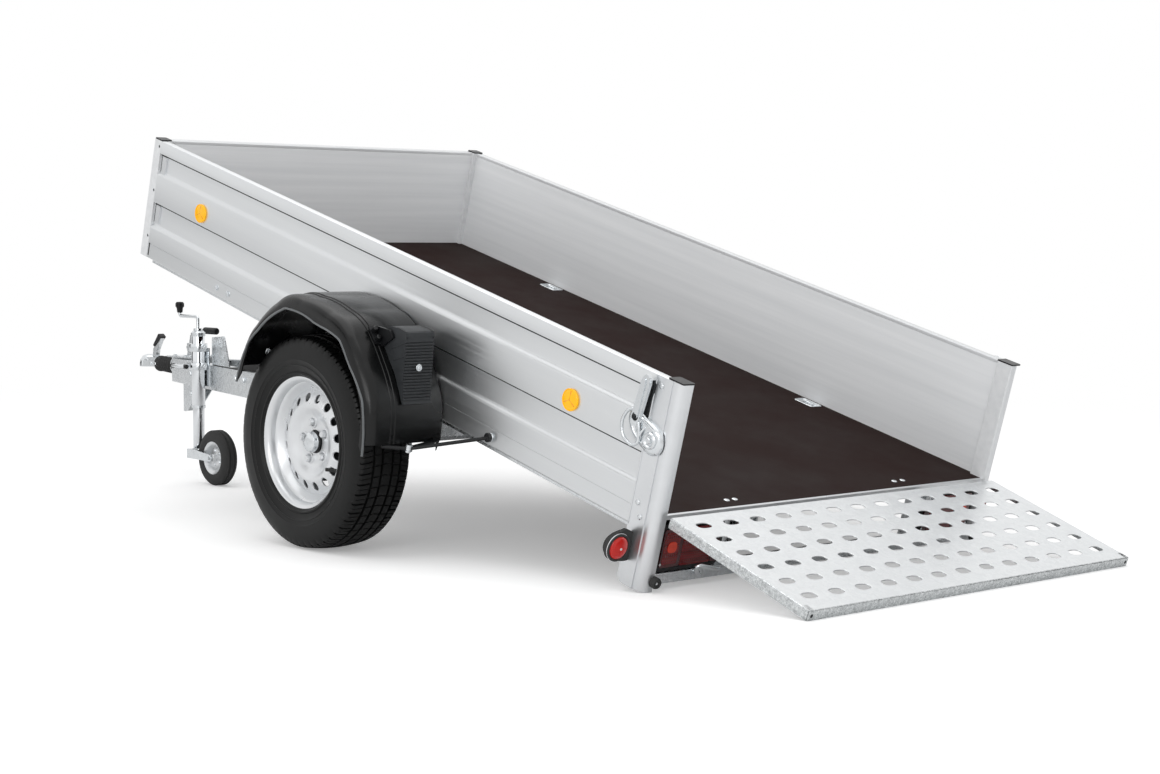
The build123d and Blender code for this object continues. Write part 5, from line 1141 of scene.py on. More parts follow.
@dataclass(frozen=True)
class OutlineLamp:
    """Round red marker lamp in a rubber arm outboard of the rear post."""

    half_width: float = 0.680
    centre: Pair = (0.730, -0.100)
    ahead: float = 0.048
    radius: float = 0.030
    depth: float = 0.034

    def shape(self) -> Shape:
        """Build the left lamp.

        Returns:
            The shape in the bed's frame.
        """
        made = Shape()
        y, w = self.centre
        reach = self.radius + 0.007
        seat = self.half_width + 0.003
        body = arc((y, w), reach, -60, 60, 10)
        body += [(y + 0.006, w + reach + 0.002), (y - 0.022, w + reach + 0.010), (seat, w + 0.036), (seat, w - 0.040),
                 (y - 0.030, w - reach - 0.004), (y + 0.004, w - reach)]
        made.prism(rounded(body, 0.004), Axis.X, 0.002, 0.012, RUBBER)
        inner = [(y + (a - y) * 0.8, w + (b - w) * 0.8) for a, b in body]
        made.prism(inner, Axis.X, 0.012, 0.024, RUBBER)
        made.ring(reach, self.radius, Axis.X, (0, y, w), -0.005, 0.006, RUBBER, edge=0.0018, steps=40)
        # A thin silver ring round the lens: a painted highlight on its edge.
        made.ring(reach + 0.0008, reach - 0.0025, Axis.X, (0, y, w), -0.0015, 0.001, WHEEL_SILVER,
                  edge=0.0006, steps=40)
        dome = [(self.radius * math.cos(math.radians(a)), -0.003 - 0.010 * math.sin(math.radians(a)))
                for a in range(0, 90, 15)]
        made.lathe([(self.radius, 0.002)] + dome + [(0.0, -0.013)], Axis.X, (0, y, w), RED_LENS, steps=40)
        made.disc(0.0035, Axis.X, (0, y, w), -0.0145, -0.011, WHEEL_SILVER)
        made.disc(0.016, Axis.X, (0, y, w), 0.022, self.depth, RUBBER, edge=0.002)
        placed = Shape()
        placed.absorb(made, Matrix.Translation((self.ahead, 0.0, 0.0)))
        return placed


@dataclass(frozen=True)
class RearEnd:
    """Latches, lamps, buffers and hooks at the rear of the bed."""

    reflector_places: Pair = (0.368, 2.224)
    reflector_height: float = 0.180
    reflector_radius: float = 0.030
    half_width: float = 0.680
    buffer: Pair = (0.646, -0.176)
    buffer_radius: float = 0.015
    hook_y: float = 0.510
    hook_radius: float = 0.0062
    hook_path: tuple[Triple, ...] = ((-0.004, -0.030, -0.172), (-0.026, -0.022, -0.174), (-0.030, 0.0, -0.160),
                                     (-0.030, 0.006, -0.146), (-0.036, 0.0, -0.138), (-0.046, -0.016, -0.140),
                                     (-0.052, -0.055, -0.146))

    def build(self) -> None:
        """Build the pieces of both sides."""
        for kind, shape, node, slot in (
            ("latch", PostLatch().shape(), "post_latch", "bright_zinc"),
            ("lamp", LampCluster().shape(), "lamp_cluster", "red_lens"),
            ("marker", OutlineLamp().shape(), "outline_lamp", "red_lens"),
        ):
            shape.seat_pair(kind, node, slot, bevel=0.001)
        self._reflectors()
        self._buffers()
        self._hooks()

    def _reflectors(self) -> None:
        """Build the round prism reflectors in their thin rims."""
        made = Shape()
        radius = self.reflector_radius
        for u in self.reflector_places:
            centre = (u, self.half_width, self.reflector_height)
            made.ring(radius, radius - 0.0025, Axis.Y, centre, 0, 0.0065, AMBER_LENS, steps=48)
            dome = [(radius - 0.003, 0.0015), (radius - 0.003, 0.0045), (radius * 0.7, 0.0058),
                    (radius * 0.35, 0.0066), (0.0, 0.0068)]
            made.lathe(dome, Axis.Y, centre, AMBER_LENS, steps=48)
            made.disc(radius - 0.001, Axis.Y, centre, 0, 0.002, AMBER_LENS, steps=48)
            for turn in range(3):
                angle = math.radians(120 * turn + 90)
                tip = (u + 0.024 * math.cos(angle), self.half_width + 0.0056,
                       self.reflector_height + 0.024 * math.sin(angle))
                made.rod([(u, self.half_width + 0.0064, self.reflector_height), tip], 0.0007, FLASH_LENS, sides=6)
        made.absorb(made.mirrored())
        made.seat("reflectors", Body.BED, bevel=0, stands_for=["side_reflectors"], slot="amber_lens")

    def _buffers(self) -> None:
        """Build the rubber buffers with their steel washers."""
        made = Shape()
        y, w = self.buffer
        radius = self.buffer_radius
        profile = [(0, -0.015), (radius * 0.9, -0.015), (radius, -0.017), (radius, -0.029), (radius * 0.86, -0.033),
                   (radius * 0.45, -0.033), (radius * 0.4, -0.029), (0, -0.029)]
        made.lathe(profile, Axis.X, (0, y, w), RUBBER)
        made.dome((-0.029, y, w), Axis.X, -1, 0.005, BRIGHT_ZINC)
        made.absorb(made.mirrored())
        made.seat("buffers", Body.BED, bevel=0, stands_for=["feet_buffers"], slot="black_rubber")

    def _hooks(self) -> None:
        """Build the bent hooks that hold the folded ramp's edge."""
        made = Shape()
        y = self.hook_y
        made.rod([(u, y + out, w) for u, out, w in self.hook_path], self.hook_radius, BRIGHT_ZINC, bend=0.010)
        made.block((-0.004, y - 0.046, -0.186), (0.0, y - 0.012, -0.162), BRIGHT_ZINC, 0.005, Axis.X)
        made.bolt((-0.004, y - 0.040, -0.174), Axis.X, -1, 0.005, BRIGHT_ZINC, washer=False)
        made.absorb(made.mirrored())
        made.seat("hooks", Body.BED, stands_for=["ramp_hooks"], slot="bright_zinc")


# ---- mudguards
@dataclass(frozen=True)
class Mudguard:
    """Faceted plastic mudguard with a round shoulder, a rolled lip and a stepped crown.

    Its crown and lip are given as (degrees about the wheel, gap over the tyre).
    """

    inner: float = 0.680
    width: float = 0.257
    wall: float = 0.004
    shoulder: float = 0.036
    wheel: Pair = (1.212, -0.214)
    tyre_radius: float = 0.308
    crown: tuple[Pair, ...] = ((163.2, 0.070), (148.4, 0.1005), (135.5, 0.1043), (115.2, 0.1188), (106.0, 0.1174),
                               (77.9, 0.1104), (68.6, 0.1109), (38.9, 0.0722), (20.9, 0.0345))
    lip: tuple[Pair, ...] = ((167.9, 0.0439), (158.0, 0.0545), (144.0, 0.0714), (125.9, 0.0637), (114.8, 0.0786),
                             (98.1, 0.0536), (72.3, 0.0677), (44.5, 0.0343), (36.0, 0.0307), (13.9, 0.001))
    crown_bend: float = 0.045
    lip_bend: float = 0.016
    stations: int = 110
    steps: tuple[Pair, ...] = ((0.848, 0.0022), (0.860, 0.0022))

    def curve(self, corners: Sequence[Pair], bend: float) -> Callable[[float], Vector]:
        """Return the point of a rounded outline at a share of its angle.

        Args:
            corners: Outline as (degrees, gap) about the wheel.
            bend: How far from each corner its curve starts.

        Returns:
            A function from a share between 0 and 1 to a point in u and w.
        """
        points = []
        for degrees, gap in corners:
            angle, reach = math.radians(degrees), self.tyre_radius + gap
            points.append((reach * math.cos(angle), reach * math.sin(angle)))
        polar = [(math.atan2(w, u), math.hypot(u, w)) for u, w in rounded(points, bend, False, 6)]
        first, last = polar[0][0], polar[-1][0]

        def at(share: float) -> Vector:
            """Return the outline's point at a share of its angle.

            Args:
                share: Share between 0 and 1.

            Returns:
                The point in u and w.
            """
            angle = first + (last - first) * share
            for (a0, r0), (a1, r1) in zip(polar, polar[1:]):
                if a1 - 1e-9 <= angle <= a0 + 1e-9:
                    reach = r0 + (r1 - r0) * ((angle - a0) / (a1 - a0) if a0 != a1 else 0.0)
                    return Vector((self.wheel[0] + reach * math.cos(angle), self.wheel[1] + reach * math.sin(angle)))
            end = polar[-1][1]
            return Vector((self.wheel[0] + end * math.cos(last), self.wheel[1] + end * math.sin(last)))

        return at

    def section(self, crown: Vector, lip: Vector) -> list[Triple]:
        """Return the closed section of the shell at one station.

        Args:
            crown: Highest point of the section, in u and w.
            lip: Its lower edge.

        Returns:
            Points in u, y and w.
        """
        out = (crown - Vector(self.wheel)).normalized()
        outer_y = self.inner + self.width
        radius = self.shoulder

        def skin(inset: float) -> list[Triple]:
            """Return one side of the shell, moved inwards.

            Args:
                inset: Depth under the outer skin.

            Returns:
                Its points in u, y and w.
            """
            points = []
            for share in (1.0, 0.66, 0.33, 0.0):
                place = (crown - out * 0.012).lerp(lip, share)
                points.append((place.x, self.inner + inset, place.y))
            levels = [(self.inner + 0.0035, -0.0035), (self.inner + 0.012, 0.0)]
            drop = 0.0
            for at_y, size in self.steps:
                levels += [(at_y, -drop), (at_y + 0.0016, -drop - size)]
                drop += size
            levels.append((outer_y - radius - 0.004, -drop))
            for y, level in levels:
                place = crown + out * (level - inset)
                points.append((place.x, max(y, self.inner + inset), place.y))
            for step in range(1, 9):
                angle = math.radians(90 * step / 8)
                place = crown + out * (-drop - radius + (radius - inset) * math.cos(angle))
                points.append((place.x, outer_y - radius + (radius - inset) * math.sin(angle), place.y))
            base = crown - out * (drop + radius)
            for share in (0.25, 0.5, 0.75, 0.93, 1.0):
                place = base.lerp(lip, share)
                points.append((place.x, outer_y - inset, place.y))
            return points

        return skin(0.0) + skin(self.wall)[::-1]

    def shape(self) -> Shape:
        """Build the left mudguard.

        Returns:
            The shape in the bed's frame.
        """
        made = Shape()
        crown = self.curve(self.crown, self.crown_bend)
        lip = self.curve(self.lip, self.lip_bend)
        shares = [i / self.stations for i in range(self.stations + 1)]
        rows = [self.section(crown(share), lip(share)) for share in shares]
        made.grid(rows, GUARD_PLASTIC, close_rows=True)
        for row in (rows[0], rows[-1]):
            half = len(row) // 2
            for k in range(half - 1):
                corners = (row[k], row[k + 1], row[-2 - k], row[-1 - k])
                made.cap(corners, GUARD_PLASTIC)
        edge_y = self.inner + self.width - 0.001
        inside = crown(0.93) + (Vector(self.wheel) - crown(0.93)).normalized() * 0.030
        for y in (self.inner + 0.145, self.inner + 0.170):
            made.bolt((inside.x, y, inside.y), Axis.X, -1, 0.009, BRIGHT_ZINC)
        path = [(lip(share).x, edge_y, lip(share).y) for share in shares]
        # The paler lip is a painted highlight along the arch.
        made.rod(path, 0.0034, GUARD_LIP_HIGHLIGHT, sides=8)
        return made

    def build(self) -> None:
        """Build both mudguards."""
        self.shape().seat_pair("guard", "mudguard", "black_plastic", bevel=0, smooth_angle=30)


@dataclass(frozen=True)
class WheelChock:
    """Wedge-shaped wheel chock on the mudguard's slope, its ribbed face outwards, with its holder."""

    low: Pair = (0.9180, 0.0750)
    high: Pair = (1.0303, 0.1722)
    middle_y: float = 0.7828
    half_width: float = 0.048
    cheek: float = 0.007
    back: tuple[Pair, ...] = ((-0.160, -0.019), (-0.118, -0.009), (-0.074, 0.0003), (0.050, 0.0003))
    heel: tuple[Pair, ...] = ((0.056, 0.017), (0.050, 0.044), (0.041, 0.062), (0.018, 0.088), (-0.002, 0.104))
    toe: Pair = (-0.165, -0.012)
    crest: Pair = (-0.004, 0.106)
    ribs: int = 20
    rib_depth: float = 0.0045
    bulge: float = 0.004

    def face(self, share: float, sunk: float = 0.0) -> Pair:
        """Return a point of the S-curved outer face.

        Args:
            share: Place along the face, 0 at the toe and 1 at the crest.
            sunk: Depth under the face.

        Returns:
            The point along and out from the guard's slope.
        """
        along = Vector(self.crest) - Vector(self.toe)
        normal = Vector((-along.y, along.x)).normalized()
        place = Vector(self.toe) + along * share - normal * (self.bulge * math.sin(2 * math.pi * share) + sunk)
        return (place.x, place.y)

    def build(self) -> None:
        """Build the chocks of both sides."""
        made = Shape()
        ribbed = [self.face(0.0)]
        for rib in range(self.ribs):
            start = 0.04 + 0.84 * rib / self.ribs
            pitch = 0.84 / self.ribs
            for share, sunk in ((0.04, self.rib_depth), (0.34, self.rib_depth), (0.42, 0.0), (0.96, 0.0)):
                ribbed.append(self.face(start + share * pitch, sunk))
        ribbed += [self.face(0.90, -0.001), self.face(0.93, -0.003), self.face(0.98, -0.003), self.face(1.0, 0.001)]
        sunk = self.rib_depth + 0.0008
        smooth = [self.face(0.0)] + [self.face(0.04 + i / 14, sunk) for i in range(12)]
        smooth += [self.face(0.90, -0.001), self.face(0.93, -0.003), self.face(1.0, -0.001)]
        rest = [*self.heel[::-1], *self.back[::-1]]
        core = self.half_width - self.cheek
        made.prism(ribbed + rest, Axis.Y, -self.half_width, self.half_width, CHOCK_PLASTIC)
        for side in (-1, 1):
            inner, outer = side * core, side * self.half_width
            made.prism(smooth + rest, Axis.Y, min(inner, outer) - 0.0006, max(inner, outer) + 0.0006, CHOCK_PLASTIC)
            for share in (0.30, 0.48, 0.66, 0.84):
                top = Vector(self.face(share, 0.008))
                foot = Vector((top.x + 0.020 * (share + 0.2), max(0.004, 0.25 * top.y)))
                made.prism([(top.x - 0.002, top.y), (top.x + 0.002, top.y), (foot.x + 0.002, foot.y),
                            (foot.x - 0.002, foot.y)], Axis.Y, min(outer, outer + side * 0.002),
                           max(outer, outer + side * 0.002), CHOCK_PLASTIC)
        middle = ((self.low[0] + self.high[0]) / 2, self.middle_y, (self.low[1] + self.high[1]) / 2)
        place = Matrix.Translation(middle)
        slope = math.atan2(self.high[1] - self.low[1], self.high[0] - self.low[0])
        place = place @ Matrix.Rotation(-slope, 4, "Y")
        left = Shape()
        left.absorb(made, place)
        left.absorb(self._fastening(), place)
        left.absorb(left.mirrored())
        left.seat("chocks", Body.BED, bevel=0.0008, stands_for=["wheel_chocks"], slot="chock_plastic")

    def _fastening(self) -> Shape:
        """Build the bolt through the ribs and the holder's arm with its two knobs.

        Returns:
            The shape in the chock's frame.
        """
        made = Shape()
        along = Vector(self.crest) - Vector(self.toe)
        turn = math.atan2(along.y, along.x)
        bolt = Shape()
        bolt.disc(0.010, Axis.Z, (0.0, 0.0, 0.0), -0.004, 0.001, BLACK_PLASTIC)
        bolt.bolt((0.0, 0.0, 0.001), Axis.Z, 1, 0.007, BRIGHT_ZINC)
        middle = self.face(0.5)
        made.absorb(bolt, Matrix.Translation((middle[0], 0.0, middle[1])) @ Matrix.Rotation(-turn, 4, "Y"))
        arm_y = self.half_width + 0.010
        outline = rounded([(0.012, 0.0005), (0.070, 0.0005), (0.070, 0.016), (0.030, 0.060), (0.006, 0.060)], 0.005)
        made.prism(outline, Axis.Y, self.half_width + 0.001, arm_y, BLACK_PLASTIC)
        made.block((0.020, self.half_width, 0.0005), (0.078, arm_y + 0.020, 0.006), BLACK_PLASTIC, 0.004, Axis.Z)
        for x in (0.034, 0.062):
            made.disc(0.007, Axis.Z, (x, arm_y + 0.010, 0.0), 0.004, 0.022, BLACK_PLASTIC, edge=0.002)
        return made


@dataclass(frozen=True)
class GuardStays:
    """Rods and flat straps that hold the rear feet of the mudguards."""

    half_width: float = 0.680
    bolt: Pair = (0.651, -0.024)
    bend: Triple = (0.830, 0.810, -0.113)
    end: Triple = (0.862, 0.880, -0.113)
    strap: tuple[Triple, ...] = ((0.842, 0.704, -0.100), (0.846, 0.800, -0.118))

    def build(self) -> None:
        """Build the stays of both sides."""
        made = Shape()
        u, w = self.bolt
        y = self.half_width
        made.rod([(u, y + 0.010, w), (u + 0.010, y + 0.014, w - 0.006), self.bend, self.end], 0.0052, BLACK_PLASTIC,
                 bend=0.02)
        made.disc(0.011, Axis.Y, (u, y, w), 0.0, 0.003, BRIGHT_ZINC)
        made.bolt((u, y + 0.003, w), Axis.Y, 1, 0.009, BRIGHT_ZINC)
        made.ring(0.013, 0.0055, Axis.Y, (u, y, w), 0.005, 0.015, BLACK_PLASTIC)
        made.rod(self.strap, 0.011, BLACK_PLASTIC, flat=0.18, sides=12)
        made.disc(0.010, Axis.Z, self.bend, -0.004, 0.012, BRIGHT_ZINC)
        made.bolt((self.bend[0], self.bend[1], self.bend[2] - 0.004), Axis.Z, -1, 0.008, BRIGHT_ZINC)
        made.absorb(made.mirrored())
        made.seat("stays", Body.BED, stands_for=["guard_stays"], slot="black_plastic")


# ---- pierced sheet
def pierced(made: Shape, hole: Sequence[Pair], border: Sequence[Pair],
            surface: Callable[[float, float, float], Triple], thickness: float, lip: float, finish: Finish) -> None:
    """Add a cell of sheet with a hole, its edge rolled inwards.

    Args:
        made: Shape that the cell is added to.
        hole: Outline of the hole.
        border: Outline of the cell, with as many points in the same directions.
        surface: Function from two coordinates and a depth to a point.
        thickness: Thickness of the sheet.
        lip: Radius of the rolled edge.
        finish: Finish of the sheet.
    """
    centre = sum((Vector(point) for point in hole), Vector((0, 0))) / len(hole)
    rows = []
    for share, grow, depth in ((1.0, 0, 0), (0.6, 0, 0), (0.25, 0, 0), (0.0, lip, 0), (0.0, 0.4 * lip, 0.15 * lip),
                               (0.0, 0.0, lip), (0.0, 0.0, thickness), (1.0, 0, thickness)):
        row = []
        for inner, outer in zip(hole, border):
            start = Vector(inner) + (Vector(inner) - centre).normalized() * (grow if share == 0.0 else lip)
            place = start.lerp(Vector(outer), share)
            row.append(surface(place.x, place.y, depth))
        rows.append(row)
    made.grid(rows, finish, close_rows=True)


def with_corners(hole: Sequence[Pair], centre: Pair, half: Pair) -> list[Pair]:
    """Return the rectangle about a hole, with a point for each of the hole's and one on each corner.

    Args:
        hole: Outline of the hole.
        centre: Centre of both.
        half: Half the rectangle's sides.

    Returns:
        The rectangle's points, in the directions of the hole's.
    """
    points = []
    for a, b in hole:
        away = (a - centre[0], b - centre[1])
        scale = min(half[k] / abs(away[k]) for k in (0, 1) if abs(away[k]) > 1e-9)
        points.append((centre[0] + away[0] * scale, centre[1] + away[1] * scale))
    for side_a in (-1, 1):
        for side_b in (-1, 1):
            corner = (centre[0] + side_a * half[0], centre[1] + side_b * half[1])
            nearest = min(range(len(points)), key=lambda i: math.dist(points[i], corner))
            points[nearest] = corner
    return points


# ---- road wheels
class Zone(Enum):
    """Bands across a tyre, named for what is cut into them."""

    RIB = "sipes"
    GROOVE = "nothing, the groove's floor"
    SLOT = "slots and shallow sipes"
    FADE = "the slots' shallow ends"
    SIDE = "nothing"


@dataclass(frozen=True)
class Tyre:
    """Road tyre with four grooves, sipes, shoulder slots and plain sidewalls."""

    radius: float = 0.308
    half_width: float = 0.094
    tread_half: float = 0.074
    crown_drop: float = 0.006
    groove_places: Pair = (0.018, 0.046)
    groove_half: float = 0.0036
    groove_depth: float = 0.007
    slot_depth: float = 0.006
    sipe_depth: float = 0.0035
    pitches: int = 60
    slant: float = 0.55
    bead: Pair = (0.069, 0.179)

    def columns(self) -> list[tuple[float, float, "Zone"]]:
        """Return half the section as (place across, radius, zone), from the middle outwards.

        Returns:
            The columns of the section.
        """
        def crown(y: float) -> float:
            """Return the radius of the tread at a place across it."""
            return self.radius - self.crown_drop * (y / self.tread_half) ** 2

        columns = [(y, crown(y), Zone.RIB) for y in (0.0, 0.008)]
        for place in self.groove_places:
            near, far = place - self.groove_half, place + self.groove_half
            columns += [(near - 0.0004, crown(near), Zone.RIB),
                        (near + 0.0008, crown(near) - self.groove_depth, Zone.GROOVE),
                        (far - 0.0008, crown(far) - self.groove_depth, Zone.GROOVE),
                        (far + 0.0004, crown(far), Zone.RIB)]
            if place == self.groove_places[0]:
                columns.append((place + 0.014, crown(place + 0.014), Zone.RIB))
        columns += [(y, crown(y), Zone.SLOT) for y in (0.051, 0.062, 0.070)]
        start = (self.tread_half, crown(self.tread_half))
        side = (self.half_width, self.radius - 0.064)
        columns.append((*start, Zone.SLOT))
        round_off = [(1, Zone.SLOT), (2, Zone.SLOT), (3, Zone.FADE), *[(at, Zone.SIDE) for at in (4, 6, 8, 10)]]
        for step, zone in round_off:
            angle = math.radians(90 * step / 10)
            columns.append((start[0] + (side[0] - start[0]) * math.sin(angle),
                            side[1] + (start[1] - side[1]) * math.cos(angle), zone))
        base = side[1]
        foot = self.bead[1]
        for share, out in ((0.10, 0.0005), (0.13, -0.0010), (0.30, -0.0020), (0.33, -0.0008), (0.36, -0.0022),
                           (0.52, -0.0065), (0.62, -0.0085), (0.66, -0.0060), (0.72, -0.0060), (0.76, -0.0105),
                           (0.90, -0.0160), (1.0, self.bead[0] - side[0])):
            columns.append((side[0] + out, base + (foot - base) * share, Zone.SIDE))
        columns.append((self.bead[0] - 0.010, foot, Zone.SIDE))
        return columns

    def shape(self, outboard: int) -> Shape:
        """Build the tyre about the wheel's centre.

        Args:
            outboard: 1 for the left wheel, -1 for the right.

        Returns:
            The tyre.
        """
        half = self.columns()
        section = [(-y, r, zone) for y, r, zone in half[:0:-1]] + half
        fractions = (0.0, 0.04, 0.17, 0.21, 0.52, 0.55, 0.62, 0.65)
        cuts = {Zone.SLOT: (self.slot_depth, 0.6 * self.sipe_depth), Zone.FADE: (0.35 * self.slot_depth, 0.0),
                Zone.RIB: (0.0, self.sipe_depth)}
        rows = []
        for pitch in range(self.pitches):
            for fraction in fractions:
                row = []
                for y, radius, zone in section:
                    slot, sipe = cuts.get(zone, (0.0, 0.0))
                    depth = slot if 0.04 <= fraction <= 0.17 else sipe if 0.55 <= fraction <= 0.62 else 0.0
                    angle = 2 * math.pi * (pitch + fraction) / self.pitches + self.slant * min(abs(y), 0.08)
                    reach = radius - depth
                    row.append((reach * math.cos(angle), outboard * y, reach * math.sin(angle)))
                rows.append(row)
        made = Shape()
        made.grid(rows, TYRE_RUBBER, close_columns=True)
        return made


@dataclass(frozen=True)
class Rim:
    """Pressed steel rim: stepped barrel, crowned disc with sixteen holes, bolts and grease cap."""

    flange: float = 0.195
    seat: float = 0.178
    well: float = 0.156
    half_width: float = 0.080
    vents: int = 16
    vent_radius: float = 0.0122
    vent_circle: float = 0.128
    disc_profile: tuple[Pair, ...] = ((0.034, 0.030), (0.066, 0.031), (0.076, 0.034), (0.094, 0.046), (0.104, 0.0505),
                                      (0.112, 0.051), (0.120, 0.049), (0.136, 0.041), (0.146, 0.033), (0.1525, 0.029))
    disc_thickness: float = 0.005
    bolt_circle: float = 0.056
    bolts: int = 5
    bolt_seat: tuple[Pair, ...] = ((0.0175, -0.001), (0.0165, 0.0022), (0.0135, 0.0030), (0.0115, 0.0005),
                                   (0.0105, -0.002))
    drum_radius: float = 0.115
    drum_setback: float = 0.012
    drum_depth: float = 0.090

    def disc_height(self, radius: float) -> float:
        """Return the disc's place outboard at a radius.

        Args:
            radius: Distance from the wheel's axis.

        Returns:
            The height of the disc's outer face.
        """
        points = self.disc_profile
        for (r0, y0), (r1, y1) in zip(points, points[1:]):
            if radius <= r1:
                return y0 + (y1 - y0) * max(0.0, radius - r0) / (r1 - r0)
        return points[-1][1]

    def shape(self) -> Shape:
        """Build the left rim about the wheel's centre, outboard along +Y.

        Returns:
            The rim.
        """
        made = Shape()
        centre = (0.0, 0.0, 0.0)
        half, seat, well = self.half_width, self.seat, self.well
        outer = [(self.flange, -half), (self.flange, -half + 0.004), (seat, -half + 0.010), (seat, -half + 0.028),
                 (well, -half + 0.042), (well, half - 0.052), (seat, half - 0.034), (seat, half - 0.010),
                 (self.flange, half - 0.004), (self.flange + 0.0012, half - 0.001), (self.flange, half + 0.001)]
        inner = [(self.flange - 0.004, half + 0.001), (seat + 0.004, half - 0.003), (seat - 0.001, half - 0.008),
                 (seat - 0.0045, half - 0.016), (seat - 0.0045, half - 0.028), (seat - 0.010, half - 0.031),
                 (seat - 0.012, half - 0.035), (well - 0.003, half - 0.047), (well - 0.0045, half - 0.052),
                 (well - 0.0045, -half + 0.044), (seat - 0.004, -half + 0.030), (seat - 0.004, -half + 0.006)]
        made.lathe(outer + inner, Axis.Y, centre, WHEEL_SILVER, steps=96, closed=True)
        sector = math.pi / self.vents
        hole = [(self.vent_circle + a, b) for a, b in circle((0, 0), self.vent_radius, 24)]
        half_cell = (0.0165, sector * self.vent_circle)
        border = with_corners(hole, (self.vent_circle, 0.0), half_cell)
        for turn in range(self.vents):
            middle = 2 * sector * turn

            def surface(radius: float, along: float, depth: float, middle: float = middle) -> Triple:
                """Return a point of the disc from its radius, its place round the vent circle and depth."""
                angle = middle + along / self.vent_circle
                return (radius * math.sin(angle), self.disc_height(radius) - depth, radius * math.cos(angle))

            pierced(made, hole, border, surface, 0.005, 0.0022, WHEEL_SILVER)
        outer_edge = self.vent_circle + half_cell[0]
        inner_edge = self.vent_circle - half_cell[0]
        for low, high in ((self.disc_profile[0][0], inner_edge), (outer_edge, self.disc_profile[-1][0])):
            count = 14
            face = [(low + (high - low) * i / count, self.disc_height(low + (high - low) * i / count))
                    for i in range(count + 1)]
            back = [(r, y - 0.005) for r, y in face[::-1]]
            made.lathe(face + back, Axis.Y, centre, WHEEL_SILVER, steps=96, closed=True)
        seat_y = self.disc_height(self.bolt_circle)
        for i in range(self.bolts):
            angle = 2 * math.pi * i / self.bolts
            place = (self.bolt_circle * math.sin(angle), seat_y, self.bolt_circle * math.cos(angle))
            made.lathe(self.bolt_seat, Axis.Y, place, WHEEL_SILVER, steps=28)
        return made

    def hub(self) -> Shape:
        """Build the brake drum and the hub face that the disc sits on.

        Returns:
            The drum.
        """
        made = Shape()
        face = self.disc_profile[0][1] - self.disc_thickness - 0.0005
        front = face - self.drum_setback
        rear = front - self.drum_depth
        drum, inside, chamfer, floor = self.drum_radius, self.drum_radius - 0.008, 0.003, front - 0.010
        core, bore, hub = 0.036, 0.027, 0.070
        made.lathe([(inside, rear), (drum, rear), (drum, front - chamfer), (drum - chamfer, front), (hub, front),
                    (hub, face), (bore, face), (bore, rear + 0.006), (core, rear + 0.006), (core, floor),
                    (inside, floor)], Axis.Y, (0.0, 0.0, 0.0), DRUM_IRON, steps=72, closed=True)
        return made

    def fittings(self) -> Shape:
        """Build the wheel bolts, the grease cap with its ring and the valve.

        Returns:
            The fittings.
        """
        made = Shape()
        face = self.disc_height(self.bolt_circle)
        for i in range(self.bolts):
            angle = 2 * math.pi * i / self.bolts
            place = (self.bolt_circle * math.sin(angle), face, self.bolt_circle * math.cos(angle))
            made.lathe([(0.0, 0.0), (0.0118, 0.0), (0.0105, 0.004), (0.0105, 0.0042)], Axis.Y, place, WHEEL_SILVER,
                       steps=24)
            made.lathe([(0.0, 0.002), (0.0102, 0.003), (0.0102, 0.013), (0.0086, 0.0155), (0.0, 0.0158)], Axis.Y,
                       place, WHEEL_SILVER, steps=6, turn=angle)
        made.ring(0.0318, 0.0285, Axis.Y, (0, 0, 0), 0.028, 0.0380, BLACK_PLASTIC, edge=0.0012)
        cap = [(0.0288, 0.026), (0.0288, 0.050), (0.0278, 0.0535), (0.024, 0.056), (0.012, 0.0574), (0.0, 0.0578)]
        made.lathe(cap, Axis.Y, (0, 0, 0), BRIGHT_ZINC, steps=40)
        made.ring(0.0300, 0.0286, Axis.Y, (0, 0, 0), 0.0405, 0.0435, BRIGHT_ZINC, edge=0.0005)
        angle = math.radians(215)
        reach = 0.158
        foot = (reach * math.cos(angle), 0.050, reach * math.sin(angle))
        tip = ((reach - 0.012) * math.cos(angle), 0.086, (reach - 0.012) * math.sin(angle))
        made.rod([foot, tip], 0.0052, RUBBER, sides=12)
        return made


@dataclass(frozen=True)
class RoadWheels:
    """Both road wheels: tyre, rim and fittings on each."""

    half_track: float = 0.812
    radius: float = 0.308

    def build(self) -> None:
        """Build the wheels on their own bodies."""
        for side, name, body in ((1, "left", Body.WHEEL_LEFT), (-1, "right", Body.WHEEL_RIGHT)):
            place = LAYOUT.chassis @ Matrix.Translation((0, side * self.half_track, self.radius))
            place = place @ Matrix.Rotation(math.radians(8), 4, "Y")
            Tyre().shape(side).seat(f"road_tyre_{name}", body, place, bevel=0, stands_for=[f"tyre_{name}"],
                                    slot="road_tyre", smooth_angle=34)
            rim, fittings, hub = Rim().shape(), Rim().fittings(), Rim().hub()
            if side < 0:
                rim, fittings, hub = rim.mirrored(), fittings.mirrored(), hub.mirrored()
            rim.seat(f"wheel_rim_{name}", body, place, bevel=0, stands_for=[f"rim_{name}"], slot="rim_silver",
                     smooth_angle=50)
            fittings.seat(f"wheel_fittings_{name}", body, place, bevel=0.0005, slot="bright_zinc")
            hub.seat(f"brake_drum_{name}", body, place, bevel=0, stands_for=[f"hub_{name}"], slot="drum_iron",
                     smooth_angle=40)


